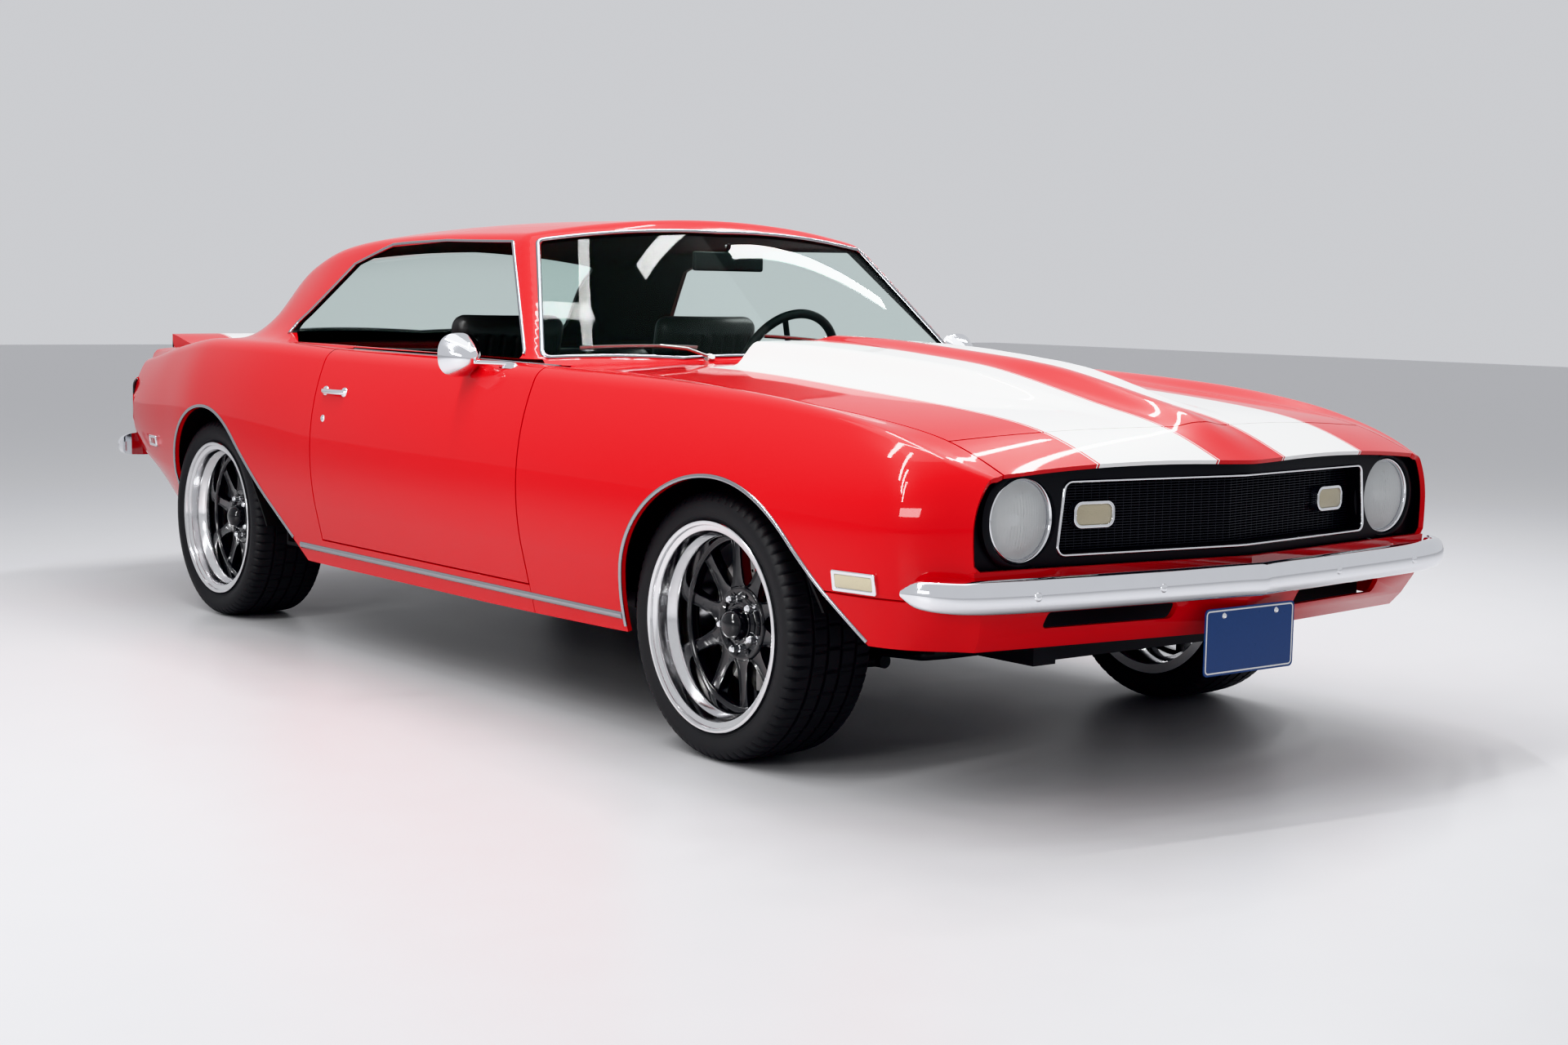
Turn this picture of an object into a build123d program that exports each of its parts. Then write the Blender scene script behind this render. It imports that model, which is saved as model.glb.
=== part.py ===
from build123d import *
import os
from math import acos, asin, atan2, cos, pi, radians, sin, sqrt

# A late-1960s two-door hardtop muscle car, in millimetres.
# +Z is up, the nose points along -Y, the car's left side is +X.
# The origin is on the floor, at mid length and mid width.

# Overall sizes
WHEELBASE = 2746.0
FRONT_OVERHANG = 932.0
REAR_OVERHANG = 1020.0
LENGTH = FRONT_OVERHANG + WHEELBASE + REAR_OVERHANG
FRONT_AXLE_Y = -LENGTH / 2 + FRONT_OVERHANG
REAR_AXLE_Y = FRONT_AXLE_Y + WHEELBASE
BODY_HALF_WIDTH = 921.0
BELT_HEIGHT = 900.0
ROOF_HEIGHT = 1300.0
SILL_HEIGHT = 252.0

# Walls and gaps
SKIN = 16.0
FLOOR_Z = 276.0
FLOOR_THICKNESS = 12.0
ROOF_SKIN = 30.0
DOOR_THICKNESS = 105.0
PANEL_GAP = 5.0
LID_GAP = 6.0
SEAT_GAP = 0.3
CREST = 2.0

# Panel lines, measured back from the front axle
NOSE_TIP = FRONT_AXLE_Y - 885.0
NOSE_LINE = FRONT_AXLE_Y - 770.0
NOSE_SLOPE = 0.132
NOSE_BLUNT = 60.0
HEADER_TIP = FRONT_AXLE_Y - 720.0
HEADER_SLOPE = 0.14
DOOR_FRONT_LINE = FRONT_AXLE_Y + 770.0
HOOD_REAR_LINE = DOOR_FRONT_LINE - 175.0
DOOR_REAR_LINE = FRONT_AXLE_Y + 1940.0
TRUNK_FRONT_LINE = REAR_AXLE_Y + 235.0
TAIL_LINE = REAR_AXLE_Y + 905.0
HOOD_HALF_WIDTH = 695.0
TRUNK_HALF_WIDTH = 640.0
DOOR_SILL_Z = 330.0
VALANCE_SEAM_Z = 455.0

DOOR_INNER_X = 745.0
DOOR_SLANT = 22.0
ROOF_SEAM_Z = BELT_HEIGHT + 12.0
COWL_END_LINE = DOOR_FRONT_LINE + 20.0
QUARTER_FRONT_LINE = DOOR_REAR_LINE - 30.0
HOOD_FLOOR_Z = 560.0
TRUNK_LIP_Z = 770.0
TAIL_BOW = 120.0
INNER_WALL_X = 440.0
NOSE_WALL_Z = (345.0, 524.0)

# Lamps and grille
LAMP_X = 617.0
LAMP_Z = 625.0
LAMP_RADIUS = 86.0
LAMP_DEPTH = 40.0
GRILLE_BARS = 15
GRILLE_LOW, GRILLE_HIGH = (519.0, 549.0), (500.0, 700.0)
SURROUND_DEPTHS = (34.0, 52.0)
BARS_DEPTH, BACKING_DEPTH, FRAME_DEPTH = 76.0, 92.0, 104.0
PARK_LAMP = (402.0, 628.0, 56.5, 30.0)

# Door mirrors
MIRROR_X, MIRROR_Z = 905.0, 912.0
MIRROR_FRONT = 1020.0
MIRROR_DEPTH, MIRROR_RIM = 72.0, 12.0
MIRROR_RADIUS, MIRROR_TIP_RADIUS = 62.0, 16.0

# Licence plate and its bolts
PLATE_SIZE = (305.0, 152.0)
PLATE_FOOT_Z = 261.0
PLATE_HOLE_SPACING = 177.8
PLATE_HOLE_RADIUS = 3.2
BRACKET_THICKNESS = 3.0
BRACKET_HOLE_Z = 430.0

# Steering and cabin
KINGPIN_X = 640.0
ARM_LENGTH = 130.0
SPINDLE_RADIUS = 19.0
WHEEL_X = 370.0
COLUMN_TILT = 22.0

# Wheels and tyres
SPOKES = 10
SPOKE_ROOT = 26.0
HUB_RADIUS = 90.0
WHEEL_RADIUS = 228.6
RIM_LIP_RADIUS = 249.0
RIM_WIDTH = 245.0
FRONT_TYRE_RADIUS = 318.0
REAR_TYRE_RADIUS = 323.0
FRONT_TYRE_WIDTH = 245.0
REAR_TYRE_WIDTH = 251.0
LIP_PLANE_X = 867.0
REAR_LIP_PLANE_X = 860.0
SPOKE_DEPTH = 95.0
SPOKE_REACH = 212.0
BORE_FIT = 0.05
DISC_RADIUS = 165.0
DISC_THICKNESS = 26.0

# Body sections. Distances are from the axle named in the first column. The other columns are
# heights on the centre line and at the lid seam, then the shoulder's place and radius, the
# widest point, the start of the tuck under and the foot of the side, with widths as insets
# from BODY_HALF_WIDTH.
BODY_SECTIONS = (
    # along, crown z, seam z, peak in, peak z, radius, wide in, wide z, low in, low z, foot in, foot z
    (FRONT_AXLE_Y - 900, 731, 684, 262, 682, 26, 222, 612, 236, 470, 284, 350),
    (FRONT_AXLE_Y - 850, 753, 704, 236, 702, 26, 196, 612, 210, 470, 252, 342),
    (FRONT_AXLE_Y - 812, 770, 719, 222, 715, 28, 176, 609, 190, 469, 234, 334),
    (FRONT_AXLE_Y - 770, 787, 736, 204, 729, 32, 148, 605, 160, 468, 205, 326),
    (FRONT_AXLE_Y - 710, 807, 760, 180, 750, 38, 88, 602, 100, 466, 145, 316),
    (FRONT_AXLE_Y - 600, 829, 792, 160, 784, 45, 40, 600, 54, 462, 104, 306),
    (FRONT_AXLE_Y - 400, 849, 820, 142, 828, 50, 17, 600, 32, 456, 80, 292),
    (FRONT_AXLE_Y - 50, 873, 849, 126, 866, 55, 5, 598, 20, 448, 70, 274),
    (FRONT_AXLE_Y + 450, 901, 881, 114, 888, 60, 0, 595, 18, 438, 64, 258),
    (FRONT_AXLE_Y + 1100, 910, 890, 110, 899, 60, 3, 590, 20, 432, 62, SILL_HEIGHT),
    (REAR_AXLE_Y - 850, 912, 892, 110, 903, 60, 3, 600, 20, 434, 62, SILL_HEIGHT),
    (REAR_AXLE_Y - 350, 914, 896, 112, 912, 64, 1, 640, 19, 440, 64, 258),
    (REAR_AXLE_Y + 50, 912, 896, 124, 910, 66, 9, 655, 34, 446, 84, 280),
    (REAR_AXLE_Y + 400, 896, 882, 154, 878, 62, 50, 648, 74, 456, 126, 330),
    (REAR_AXLE_Y + 680, 870, 856, 186, 838, 52, 92, 640, 118, 480, 180, 400),
    (REAR_AXLE_Y + 960, 842, 828, 226, 802, 42, 150, 632, 180, 540, 240, 500),
)

# The hood's raised middle: distance along, its height over the base, its half width at the top,
# and the height of the narrow ridge down its centre.
HOOD_SHAPE = (
    (FRONT_AXLE_Y - 900, 0, 110, 0),
    (FRONT_AXLE_Y - 812, 0, 112, 4),
    (FRONT_AXLE_Y - 710, 1, 118, 14),
    (FRONT_AXLE_Y - 560, 4, 140, 24),
    (FRONT_AXLE_Y - 400, 22, 168, 27),
    (FRONT_AXLE_Y - 250, 42, 196, 22),
    (FRONT_AXLE_Y - 100, 57, 218, 15),
    (FRONT_AXLE_Y + 150, 61, 244, 13),
    (FRONT_AXLE_Y + 400, 62, 266, 14),
    (FRONT_AXLE_Y + 700, 62, 288, 12),
)
HOOD_RAMP = 76.0
RIDGE_HALF_WIDTH = 90.0

# Front bumper, from the middle to one end: distance out, distance along, height, half height, depth
FRONT_BUMPER = (
    (0, FRONT_AXLE_Y - FRONT_OVERHANG, 474, 38, 30),
    (40, FRONT_AXLE_Y - 924, 474, 38, 30),
    (300, FRONT_AXLE_Y - 893, 473, 38, 30),
    (600, FRONT_AXLE_Y - 858, 473, 38, 30),
    (760, FRONT_AXLE_Y - 831, 474, 37, 30),
    (824, FRONT_AXLE_Y - 806, 475, 35, 28),
    (866, FRONT_AXLE_Y - 766, 477, 31, 24),
    (886, FRONT_AXLE_Y - 724, 479, 25, 20),
    (893, FRONT_AXLE_Y - 700, 480, 18, 14),
)
REAR_BUMPER = (
    (0, REAR_AXLE_Y + REAR_OVERHANG, 505, 42, 30),
    (40, REAR_AXLE_Y + 1019, 505, 42, 30),
    (300, REAR_AXLE_Y + 1008, 505, 42, 30),
    (600, REAR_AXLE_Y + 972, 505, 42, 30),
    (740, REAR_AXLE_Y + 941, 505, 41, 30),
    (800, REAR_AXLE_Y + 908, 506, 38, 28),
    (842, REAR_AXLE_Y + 860, 508, 32, 24),
    (862, REAR_AXLE_Y + 815, 510, 24, 18),
    (867, REAR_AXLE_Y + 792, 511, 18, 14),
)

# Roof and cabin sections: distance along, base half width, rail half width, rail z, radius, crown z.
CABIN_BASE_Z = 780.0
CABIN_SECTIONS = (
    (FRONT_AXLE_Y + 560, 834, 575, ROOF_HEIGHT - 62, 60, ROOF_HEIGHT - 8),
    (FRONT_AXLE_Y + 1200, 834, 578, ROOF_HEIGHT - 54, 60, ROOF_HEIGHT - 2),
    (FRONT_AXLE_Y + 1650, 834, 576, ROOF_HEIGHT - 52, 62, ROOF_HEIGHT),
    (REAR_AXLE_Y - 700, 832, 570, ROOF_HEIGHT - 62, 66, ROOF_HEIGHT - 8),
    (REAR_AXLE_Y - 396, 829, 562, ROOF_HEIGHT - 88, 70, ROOF_HEIGHT - 34),
    (REAR_AXLE_Y - 180, 824, 556, ROOF_HEIGHT - 142, 72, ROOF_HEIGHT - 84),
    (REAR_AXLE_Y - 44, 818, 556, ROOF_HEIGHT - 214, 72, ROOF_HEIGHT - 148),
    (REAR_AXLE_Y + 40, 811, 562, ROOF_HEIGHT - 296, 70, ROOF_HEIGHT - 222),
    (REAR_AXLE_Y + 120, 802, 572, ROOF_HEIGHT - 370, 50, ROOF_HEIGHT - 304),
    (REAR_AXLE_Y + 210, 790, 580, ROOF_HEIGHT - 430, 24, ROOF_HEIGHT - 408),
)

# Wheel openings: centre ahead of the axle, centre height, radius, leading slope in degrees
FRONT_ARCH = (52.0, 275.0, 396.0, 45.0)
REAR_ARCH = (25.0, 328.0, 360.0, 50.0)

# Windshield: a cylinder leaning back, in mm and degrees
SHIELD_RAKE = 47.4
SHIELD_RADIUS = 2416.0
SHIELD_BASE_Y = FRONT_AXLE_Y + 754.0
SHIELD_BASE_Z = 906.0
GLASS = 6.0


def block(x0, x1, y0, y1, z0, z1):
    """Return a box between two corners."""
    xs, ys, zs = sorted((x0, x1)), sorted((y0, y1)), sorted((z0, z1))
    return Solid.make_box(xs[1] - xs[0], ys[1] - ys[0], zs[1] - zs[0], Plane((xs[0], ys[0], zs[0])))


def rod(start, end, radius):
    """Return a round bar between two points."""
    a, b = Vector(*start), Vector(*end)
    return Solid.make_cylinder(radius, (b - a).length, Plane(origin=a, z_dir=(b - a).normalized()))


def bent_bar(points, radius, bend):
    """Return a round bar along straight runs joined by bends of one radius."""
    path = FilletPolyline(*points, radius=bend)
    section = Plane(origin=path @ 0, z_dir=path % 0) * Circle(radius)
    return sweep(section, path=path)


def fuse(*solids):
    """Join solids into one shape."""
    first, rest = solids[0], solids[1:]
    return first.fuse(*rest) if rest else first


def slopes(xs, ys):
    """Return a slope at each station that lets a cubic pass through the values with no overshoot."""
    steps = [(ys[i + 1] - ys[i]) / (xs[i + 1] - xs[i]) for i in range(len(xs) - 1)]
    inner = [0.0 if a * b <= 0 else 2 * a * b / (a + b) for a, b in zip(steps, steps[1:])]
    return [steps[0]] + inner + [steps[-1]]


def smooth_at(table, along):
    """Return a table's columns at one distance along, on the same smooth curves as its rows."""
    xs = [row[0] for row in table]
    i = max(k for k in range(len(xs) - 1) if k == 0 or xs[k] <= along)
    run = xs[i + 1] - xs[i]
    t = (along - xs[i]) / run
    values = []
    for column in list(zip(*table))[1:]:
        slope = slopes(xs, column)
        a = (2 * t ** 3 - 3 * t ** 2 + 1) * column[i] + (3 * t ** 2 - 2 * t ** 3) * column[i + 1]
        b = (t ** 3 - 2 * t ** 2 + t) * slope[i] + (t ** 3 - t ** 2) * slope[i + 1]
        values.append(a + run * b)
    return values


def smooth_rows(table, parts):
    """Return the table's rows with smooth rows added, so that each gap is cut into equal parts."""
    xs = [row[0] for row in table]
    rows = []
    for start, end in zip(xs, xs[1:]):
        for k in range(parts):
            along = start + (end - start) * k / parts
            rows.append((along, *smooth_at(table, along)))
    rows.append(table[-1])
    return rows


def body_loft(inset, start=-LENGTH, end=LENGTH):
    """Return the lower body between two places along, drawn a constant inset inside the skin."""
    rows = [row for row in smooth_rows(BODY_SECTIONS, 2) if start <= row[0] <= end]
    return Solid.make_loft([body_section(row, inset) for row in rows], ruled=True)


def cabin_loft(inset):
    """Return the roof and cabin as one solid, drawn a constant inset inside the skin."""
    return Solid.make_loft([cabin_section(row, inset) for row in smooth_rows(CABIN_SECTIONS, 2)], ruled=True)


def body_section(row, inset):
    """Return one closed cross-section of the lower body, drawn a constant inset inside the skin."""
    along, crown, seam, peak_in, peak_z, r, wide_in, wide_z, low_in, low_z, foot_in, foot_z = row
    peak_x = BODY_HALF_WIDTH - peak_in
    wide_x = BODY_HALF_WIDTH - wide_in - inset
    low_x = BODY_HALF_WIDTH - low_in - inset
    foot_x = BODY_HALF_WIDTH - foot_in - inset
    peak_z = peak_z - inset
    crown = crown - inset
    seam = seam - inset
    foot_z = foot_z + (inset if inset else 0.0)
    r = max(r - inset, 12.0)
    w, h = wide_x - peak_x, peak_z - r - wide_z
    if w <= r + 2.0:
        peak_x = wide_x - r - 2.0
        w = r + 2.0
    big = (w * w + h * h - r * r) / (2.0 * (w - r))
    phi = asin(h / (big - r))
    seam_x = HOOD_HALF_WIDTH if peak_x > HOOD_HALF_WIDTH + 12.0 else peak_x - 12.0
    centre = (peak_x, peak_z - r)

    def at(angle):
        return (centre[0] + r * cos(angle), centre[1] + r * sin(angle))

    half = (phi + pi / 2) / 2
    shoulder = at(phi)
    mid_side = (wide_x - big + big * cos(phi / 2), wide_z + big * sin(phi / 2))
    dx, dz = wide_x - low_x, wide_z - low_z
    low_r = (dx * dx + dz * dz) / (2.0 * dx)
    psi = asin(dz / low_r)
    mid_low = (wide_x - low_r + low_r * cos(psi / 2), wide_z - low_r * sin(psi / 2))
    top_mid = ((seam_x + peak_x) / 2, (seam + peak_z) / 2 + CREST)
    run = [(seam_x, seam), top_mid, (peak_x, peak_z), at(half), shoulder, mid_side, (wide_x, wide_z), mid_low,
           (low_x, low_z), (foot_x, foot_z)]
    return closed_section(along, run, crown)


def hood_section(row, inset):
    """Return one closed section of the hood and header: the base crown, the raised middle and its ridge."""
    along, crown, seam = row[:3]
    rise, half, ridge = smooth_at(HOOD_SHAPE, along)

    def base(x):
        return crown - (crown - seam) * (x / HOOD_HALF_WIDTH) ** 2 - inset

    def point(x, lift):
        return (x, base(x) + lift)

    foot, top, mid = half + HOOD_RAMP, half, half + HOOD_RAMP / 2
    edge = HOOD_HALF_WIDTH + 20.0
    run = [(edge, HOOD_FLOOR_Z), point(edge, 0), point((edge + foot) / 2, 0), point(foot, 0),
           point(foot - HOOD_RAMP / 4, rise * 0.15), point(mid, rise / 2), point(top + HOOD_RAMP / 4,
                                                                                 rise * 0.85),
           point(top, rise), point((top + RIDGE_HALF_WIDTH) / 2, rise), point(RIDGE_HALF_WIDTH, rise)]

    def place(p, s):
        return Vector(s * p[0], along, p[1])

    def arcs(s, points):
        return [Edge.make_three_point_arc(*[place(p, s) for p in points[i:i + 3]])
                for i in range(0, len(points) - 2, 2)]

    start, curve = run[0], run[1:]
    peak = Vector(0, along, base(0) + rise + ridge)
    ridge_arc = Edge.make_three_point_arc(place(run[-1], 1), peak, place(run[-1], -1))
    left = [Edge.make_line(place(start, 1), place(curve[0], 1))] + arcs(1, curve)
    right = arcs(-1, curve[::-1]) + [Edge.make_line(place(curve[0], -1), place(start, -1))]
    return Wire(left + [ridge_arc] + right + [Edge.make_line(place(start, -1), place(start, 1))])


def hood_loft(inset):
    """Return all that lies under the hood's and header's surface, down to a flat floor."""
    rows = [row for row in smooth_rows(BODY_SECTIONS, 2) if row[0] <= DOOR_FRONT_LINE + 20]
    return Solid.make_loft([hood_section(row, inset) for row in rows], ruled=True)


def closed_section(along, run, crown):
    """Return a closed section: arcs down the left side, a last line, then the mirror and the crown.

    The run lists arc end, arc middle, arc end and so on, and ends with the foot of a straight line.
    """
    def place(p, s):
        return Vector(s * p[0], along, p[1])

    def down(s):
        arcs = [Edge.make_three_point_arc(*[place(p, s) for p in run[i:i + 3]])
                for i in range(0, len(run) - 2, 2)]
        return arcs + [Edge.make_line(place(run[-2], s), place(run[-1], s))]

    def up(s):
        arcs = [Edge.make_three_point_arc(*[place(p, s) for p in reversed(run[i:i + 3])])
                for i in range(0, len(run) - 2, 2)]
        return [Edge.make_line(place(run[-1], s), place(run[-2], s))] + arcs[::-1]

    base = Edge.make_line(place(run[-1], 1), place(run[-1], -1))
    top = Edge.make_three_point_arc(place(run[0], -1), Vector(0, along, crown), place(run[0], 1))
    return Wire(down(1) + [base] + up(-1) + [top])


def cabin_section(row, inset):
    """Return one closed cross-section of the roof and cabin, drawn an inset inside the skin."""
    along, base_x, rail_x, rail_z, r, crown = row
    base_x, rail_x = base_x - inset, rail_x - inset * 0.55
    rail_z, crown = rail_z - inset, crown - inset
    r = max(r - inset * 0.5, 10.0)
    rise = crown - rail_z
    crown_r = (rail_x ** 2 + rise ** 2) / (2 * rise)
    delta = asin(rail_x / crown_r)
    centre = (rail_x - r * sin(delta), rail_z - r * cos(delta))
    vx, vz = base_x - centre[0], CABIN_BASE_Z - centre[1]
    phi = atan2(vz, vx) + acos(r / sqrt(vx * vx + vz * vz))

    def at(angle):
        return (centre[0] + r * cos(angle), centre[1] + r * sin(angle))

    turn = (phi + pi / 2 - delta) / 2
    run = [(rail_x, rail_z), at(turn), at(phi), (base_x, CABIN_BASE_Z)]
    return closed_section(along, run, crown)


def span(y0, y1, z0, z1, x0=-1200.0, x1=1200.0):
    """Return a box given by its range along and its range up, as wide as the car."""
    return block(x0, x1, y0, y1, z0, z1)


def arch_cutter(axle_y, arch, grow=0.0):
    """Return a prism through the whole width in the shape of a wheel opening."""
    ahead, height, radius, slope = arch
    cy = axle_y - ahead
    r = radius + grow
    a = radians(slope)
    lead = (cy - r * cos(a), height + r * sin(a))
    run = (lead[1] + 100.0) / cos(a)
    toe = (lead[0] - run * sin(a), lead[1] - run * cos(a))
    top = (cy, height + r)
    back = (cy + r, height)
    foot = (cy + r, toe[1])

    def place(p):
        return Vector(-1200.0, p[0], p[1])

    turn = (pi / 2 + a) / 2
    near_lead = (cy - r * cos(turn), height + r * sin(turn))
    near_back = (cy + r * cos(pi / 4), height + r * sin(pi / 4))
    edges = [
        Edge.make_three_point_arc(place(lead), place(near_lead), place(top)),
        Edge.make_three_point_arc(place(top), place(near_back), place(back)),
        Edge.make_line(place(back), place(foot)),
        Edge.make_line(place(foot), place(toe)),
        Edge.make_line(place(toe), place(lead)),
    ]
    return Solid.extrude(Face(Wire(edges)), Vector(2400.0, 0, 0))


def prism(points, plane, depth, corner):
    """Return a prism from a closed outline with rounded corners, centred on its plane."""
    outline = make_face(FilletPolyline(*points, radius=corner, close=True))
    return extrude(plane * outline, amount=depth / 2, both=True).solid()


def shield_plane():
    """Return the plane that lies on the windshield's centre line, with its normal outward."""
    rake = radians(SHIELD_RAKE)
    return Plane(origin=(0, SHIELD_BASE_Y, SHIELD_BASE_Z), x_dir=(1, 0, 0), z_dir=(0, -cos(rake), sin(rake)))


def shield_body(inset):
    """Return all that lies behind the windshield's surface, a given depth under it."""
    plane = shield_plane()
    radius = SHIELD_RADIUS - inset
    half = 1300.0
    sagitta = radius - sqrt(radius * radius - half * half)
    # Drawn in the plane across the glass's run: local x is lateral, local y is the outward normal.
    rake = radians(SHIELD_RAKE)
    run = Vector(0, sin(rake), cos(rake))
    base = Vector(0, SHIELD_BASE_Y, SHIELD_BASE_Z) - run * 900.0
    out = plane.z_dir

    def place(x, n):
        return base + Vector(x, 0, 0) + out * n

    front = Edge.make_three_point_arc(place(-half, -sagitta - inset), place(0, -inset),
                                      place(half, -sagitta - inset))
    corners = [place(half, -sagitta - inset), place(half, -3600), place(-half, -3600),
               place(-half, -sagitta - inset)]
    edges = [front] + [Edge.make_line(a, b) for a, b in zip(corners, corners[1:])]
    return Solid.extrude(Face(Wire(edges)), run * 2600.0)


def shield_outline(inset):
    """Return the windshield opening as a prism along the glass's normal."""
    low, high = 735.0 - inset, 578.0 - inset
    points = [(-low, 138 + inset), (-low * 0.5, 44 + inset), (0, 16 + inset), (low * 0.5, 44 + inset),
              (low, 138 + inset), (high, 545 - inset), (0, 522 - inset), (-high, 545 - inset)]
    return prism(points, shield_plane(), 900.0, 22.0)


def backlight_outline(inset):
    """Return the rear window opening as a prism square to its slope."""
    plane = Plane(origin=(0, REAR_AXLE_Y + 10, 1070), x_dir=(-1, 0, 0), z_dir=(0, 0.7071, 0.7071))
    low, high = 560.0 - inset, 492.0 - inset
    points = [(-low, -172 + inset), (0, -212 + inset), (low, -172 + inset), (high, 218 - inset),
              (0, 250 - inset),
              (-high, 218 - inset)]
    return prism(points, plane, 500.0, 45.0)


def side_window():
    """Return the side window opening as a prism through both sides."""
    plane = Plane(origin=(0, 0, 0), x_dir=(0, 1, 0), z_dir=(1, 0, 0))
    points = [
        (FRONT_AXLE_Y + 968, BELT_HEIGHT + 4),
        (FRONT_AXLE_Y + 1290, ROOF_HEIGHT - 80),
        (REAR_AXLE_Y - 1080, ROOF_HEIGHT - 77),
        (REAR_AXLE_Y - 760, ROOF_HEIGHT - 90),
        (REAR_AXLE_Y - 560, ROOF_HEIGHT - 146),
        (REAR_AXLE_Y - 345, BELT_HEIGHT + 70),
        (REAR_AXLE_Y - 345, BELT_HEIGHT + 40),
        (REAR_AXLE_Y - 420, BELT_HEIGHT + 12),
    ]
    return prism(points, plane, 2400.0, 14.0)


def lofts():
    """Make the master shapes that every body panel is cut from."""
    tail = tail_body()
    shapes = {
        "body": (body_loft(0.0) & tail) & nose_body(),
        "body_in": body_loft(SKIN),
        "hood": hood_loft(0.0),
        "hood_in": hood_loft(SKIN),
        "hood_stop": hood_loft(SKIN + SEAT_GAP),
        "stop_in": body_loft(SKIN + SEAT_GAP),
        "strip_in": body_loft(DOOR_THICKNESS + SEAT_GAP, FRONT_AXLE_Y, REAR_AXLE_Y),
        "door_in": body_loft(DOOR_THICKNESS, FRONT_AXLE_Y, REAR_AXLE_Y),
        "cabin": cabin_loft(0.0) & shield_body(0.0),
        "cabin_in": cabin_loft(ROOF_SKIN) & shield_body(ROOF_SKIN),
    }
    shapes["skin"] = shapes["body"] - shapes["body_in"]
    return shapes


def tail_body(inset=0.0):
    """Return all that lies ahead of the bowed tail face."""
    half = 1000.0
    y = TAIL_LINE - inset
    front = -LENGTH
    edges = [
        Edge.make_three_point_arc((half, y - TAIL_BOW, -200), (0, y, -200), (-half, y - TAIL_BOW, -200)),
        Edge.make_line((-half, y - TAIL_BOW, -200), (-half, front, -200)),
        Edge.make_line((-half, front, -200), (half, front, -200)),
        Edge.make_line((half, front, -200), (half, y - TAIL_BOW, -200)),
    ]
    return Solid.extrude(Face(Wire(edges)), Vector(0, 0, 2000))


def vee_prism(tip, slope, back, low, high):
    """Return an upright prism between a V-shaped front, rounded at its tip, and a flat back."""
    half, blunt = 1000.0, NOSE_BLUNT
    ends = [(half, tip + slope * half), (blunt, tip + slope * blunt)]
    nose = [(blunt, tip + slope * blunt), (0, tip + slope * blunt / 2), (-blunt, tip + slope * blunt)]
    edges = [
        Edge.make_line((*ends[0], low), (*ends[1], low)),
        Edge.make_three_point_arc(*[(*p, low) for p in nose]),
        Edge.make_line((-ends[1][0], ends[1][1], low), (-ends[0][0], ends[0][1], low)),
        Edge.make_line((-half, ends[0][1], low), (-half, back, low)),
        Edge.make_line((-half, back, low), (half, back, low)),
        Edge.make_line((half, back, low), (*ends[0], low)),
    ]
    return Solid.extrude(Face(Wire(edges)), Vector(0, 0, high - low))


def nose_body(inset=0.0):
    """Return all that lies behind the V-shaped nose, a given depth behind it."""
    return vee_prism(NOSE_TIP + inset, NOSE_SLOPE, LENGTH, -200.0, 1800.0)


def nose_band(front, back, low, high):
    """Return a folded plate that follows the nose, between two depths behind it and two heights."""
    return vee_prism(NOSE_TIP + front, NOSE_SLOPE, LENGTH, low, high) - vee_prism(
        NOSE_TIP + back, NOSE_SLOPE, LENGTH + 1.0, low - 1.0, high + 1.0)


def lid_box(y0, y1, half, gap):
    """Return the block that a lid is cut from, smaller than its opening by the gap."""
    return block(-half + gap, half - gap, y0 + gap, y1 - gap, 500.0, 1400.0)


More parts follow.
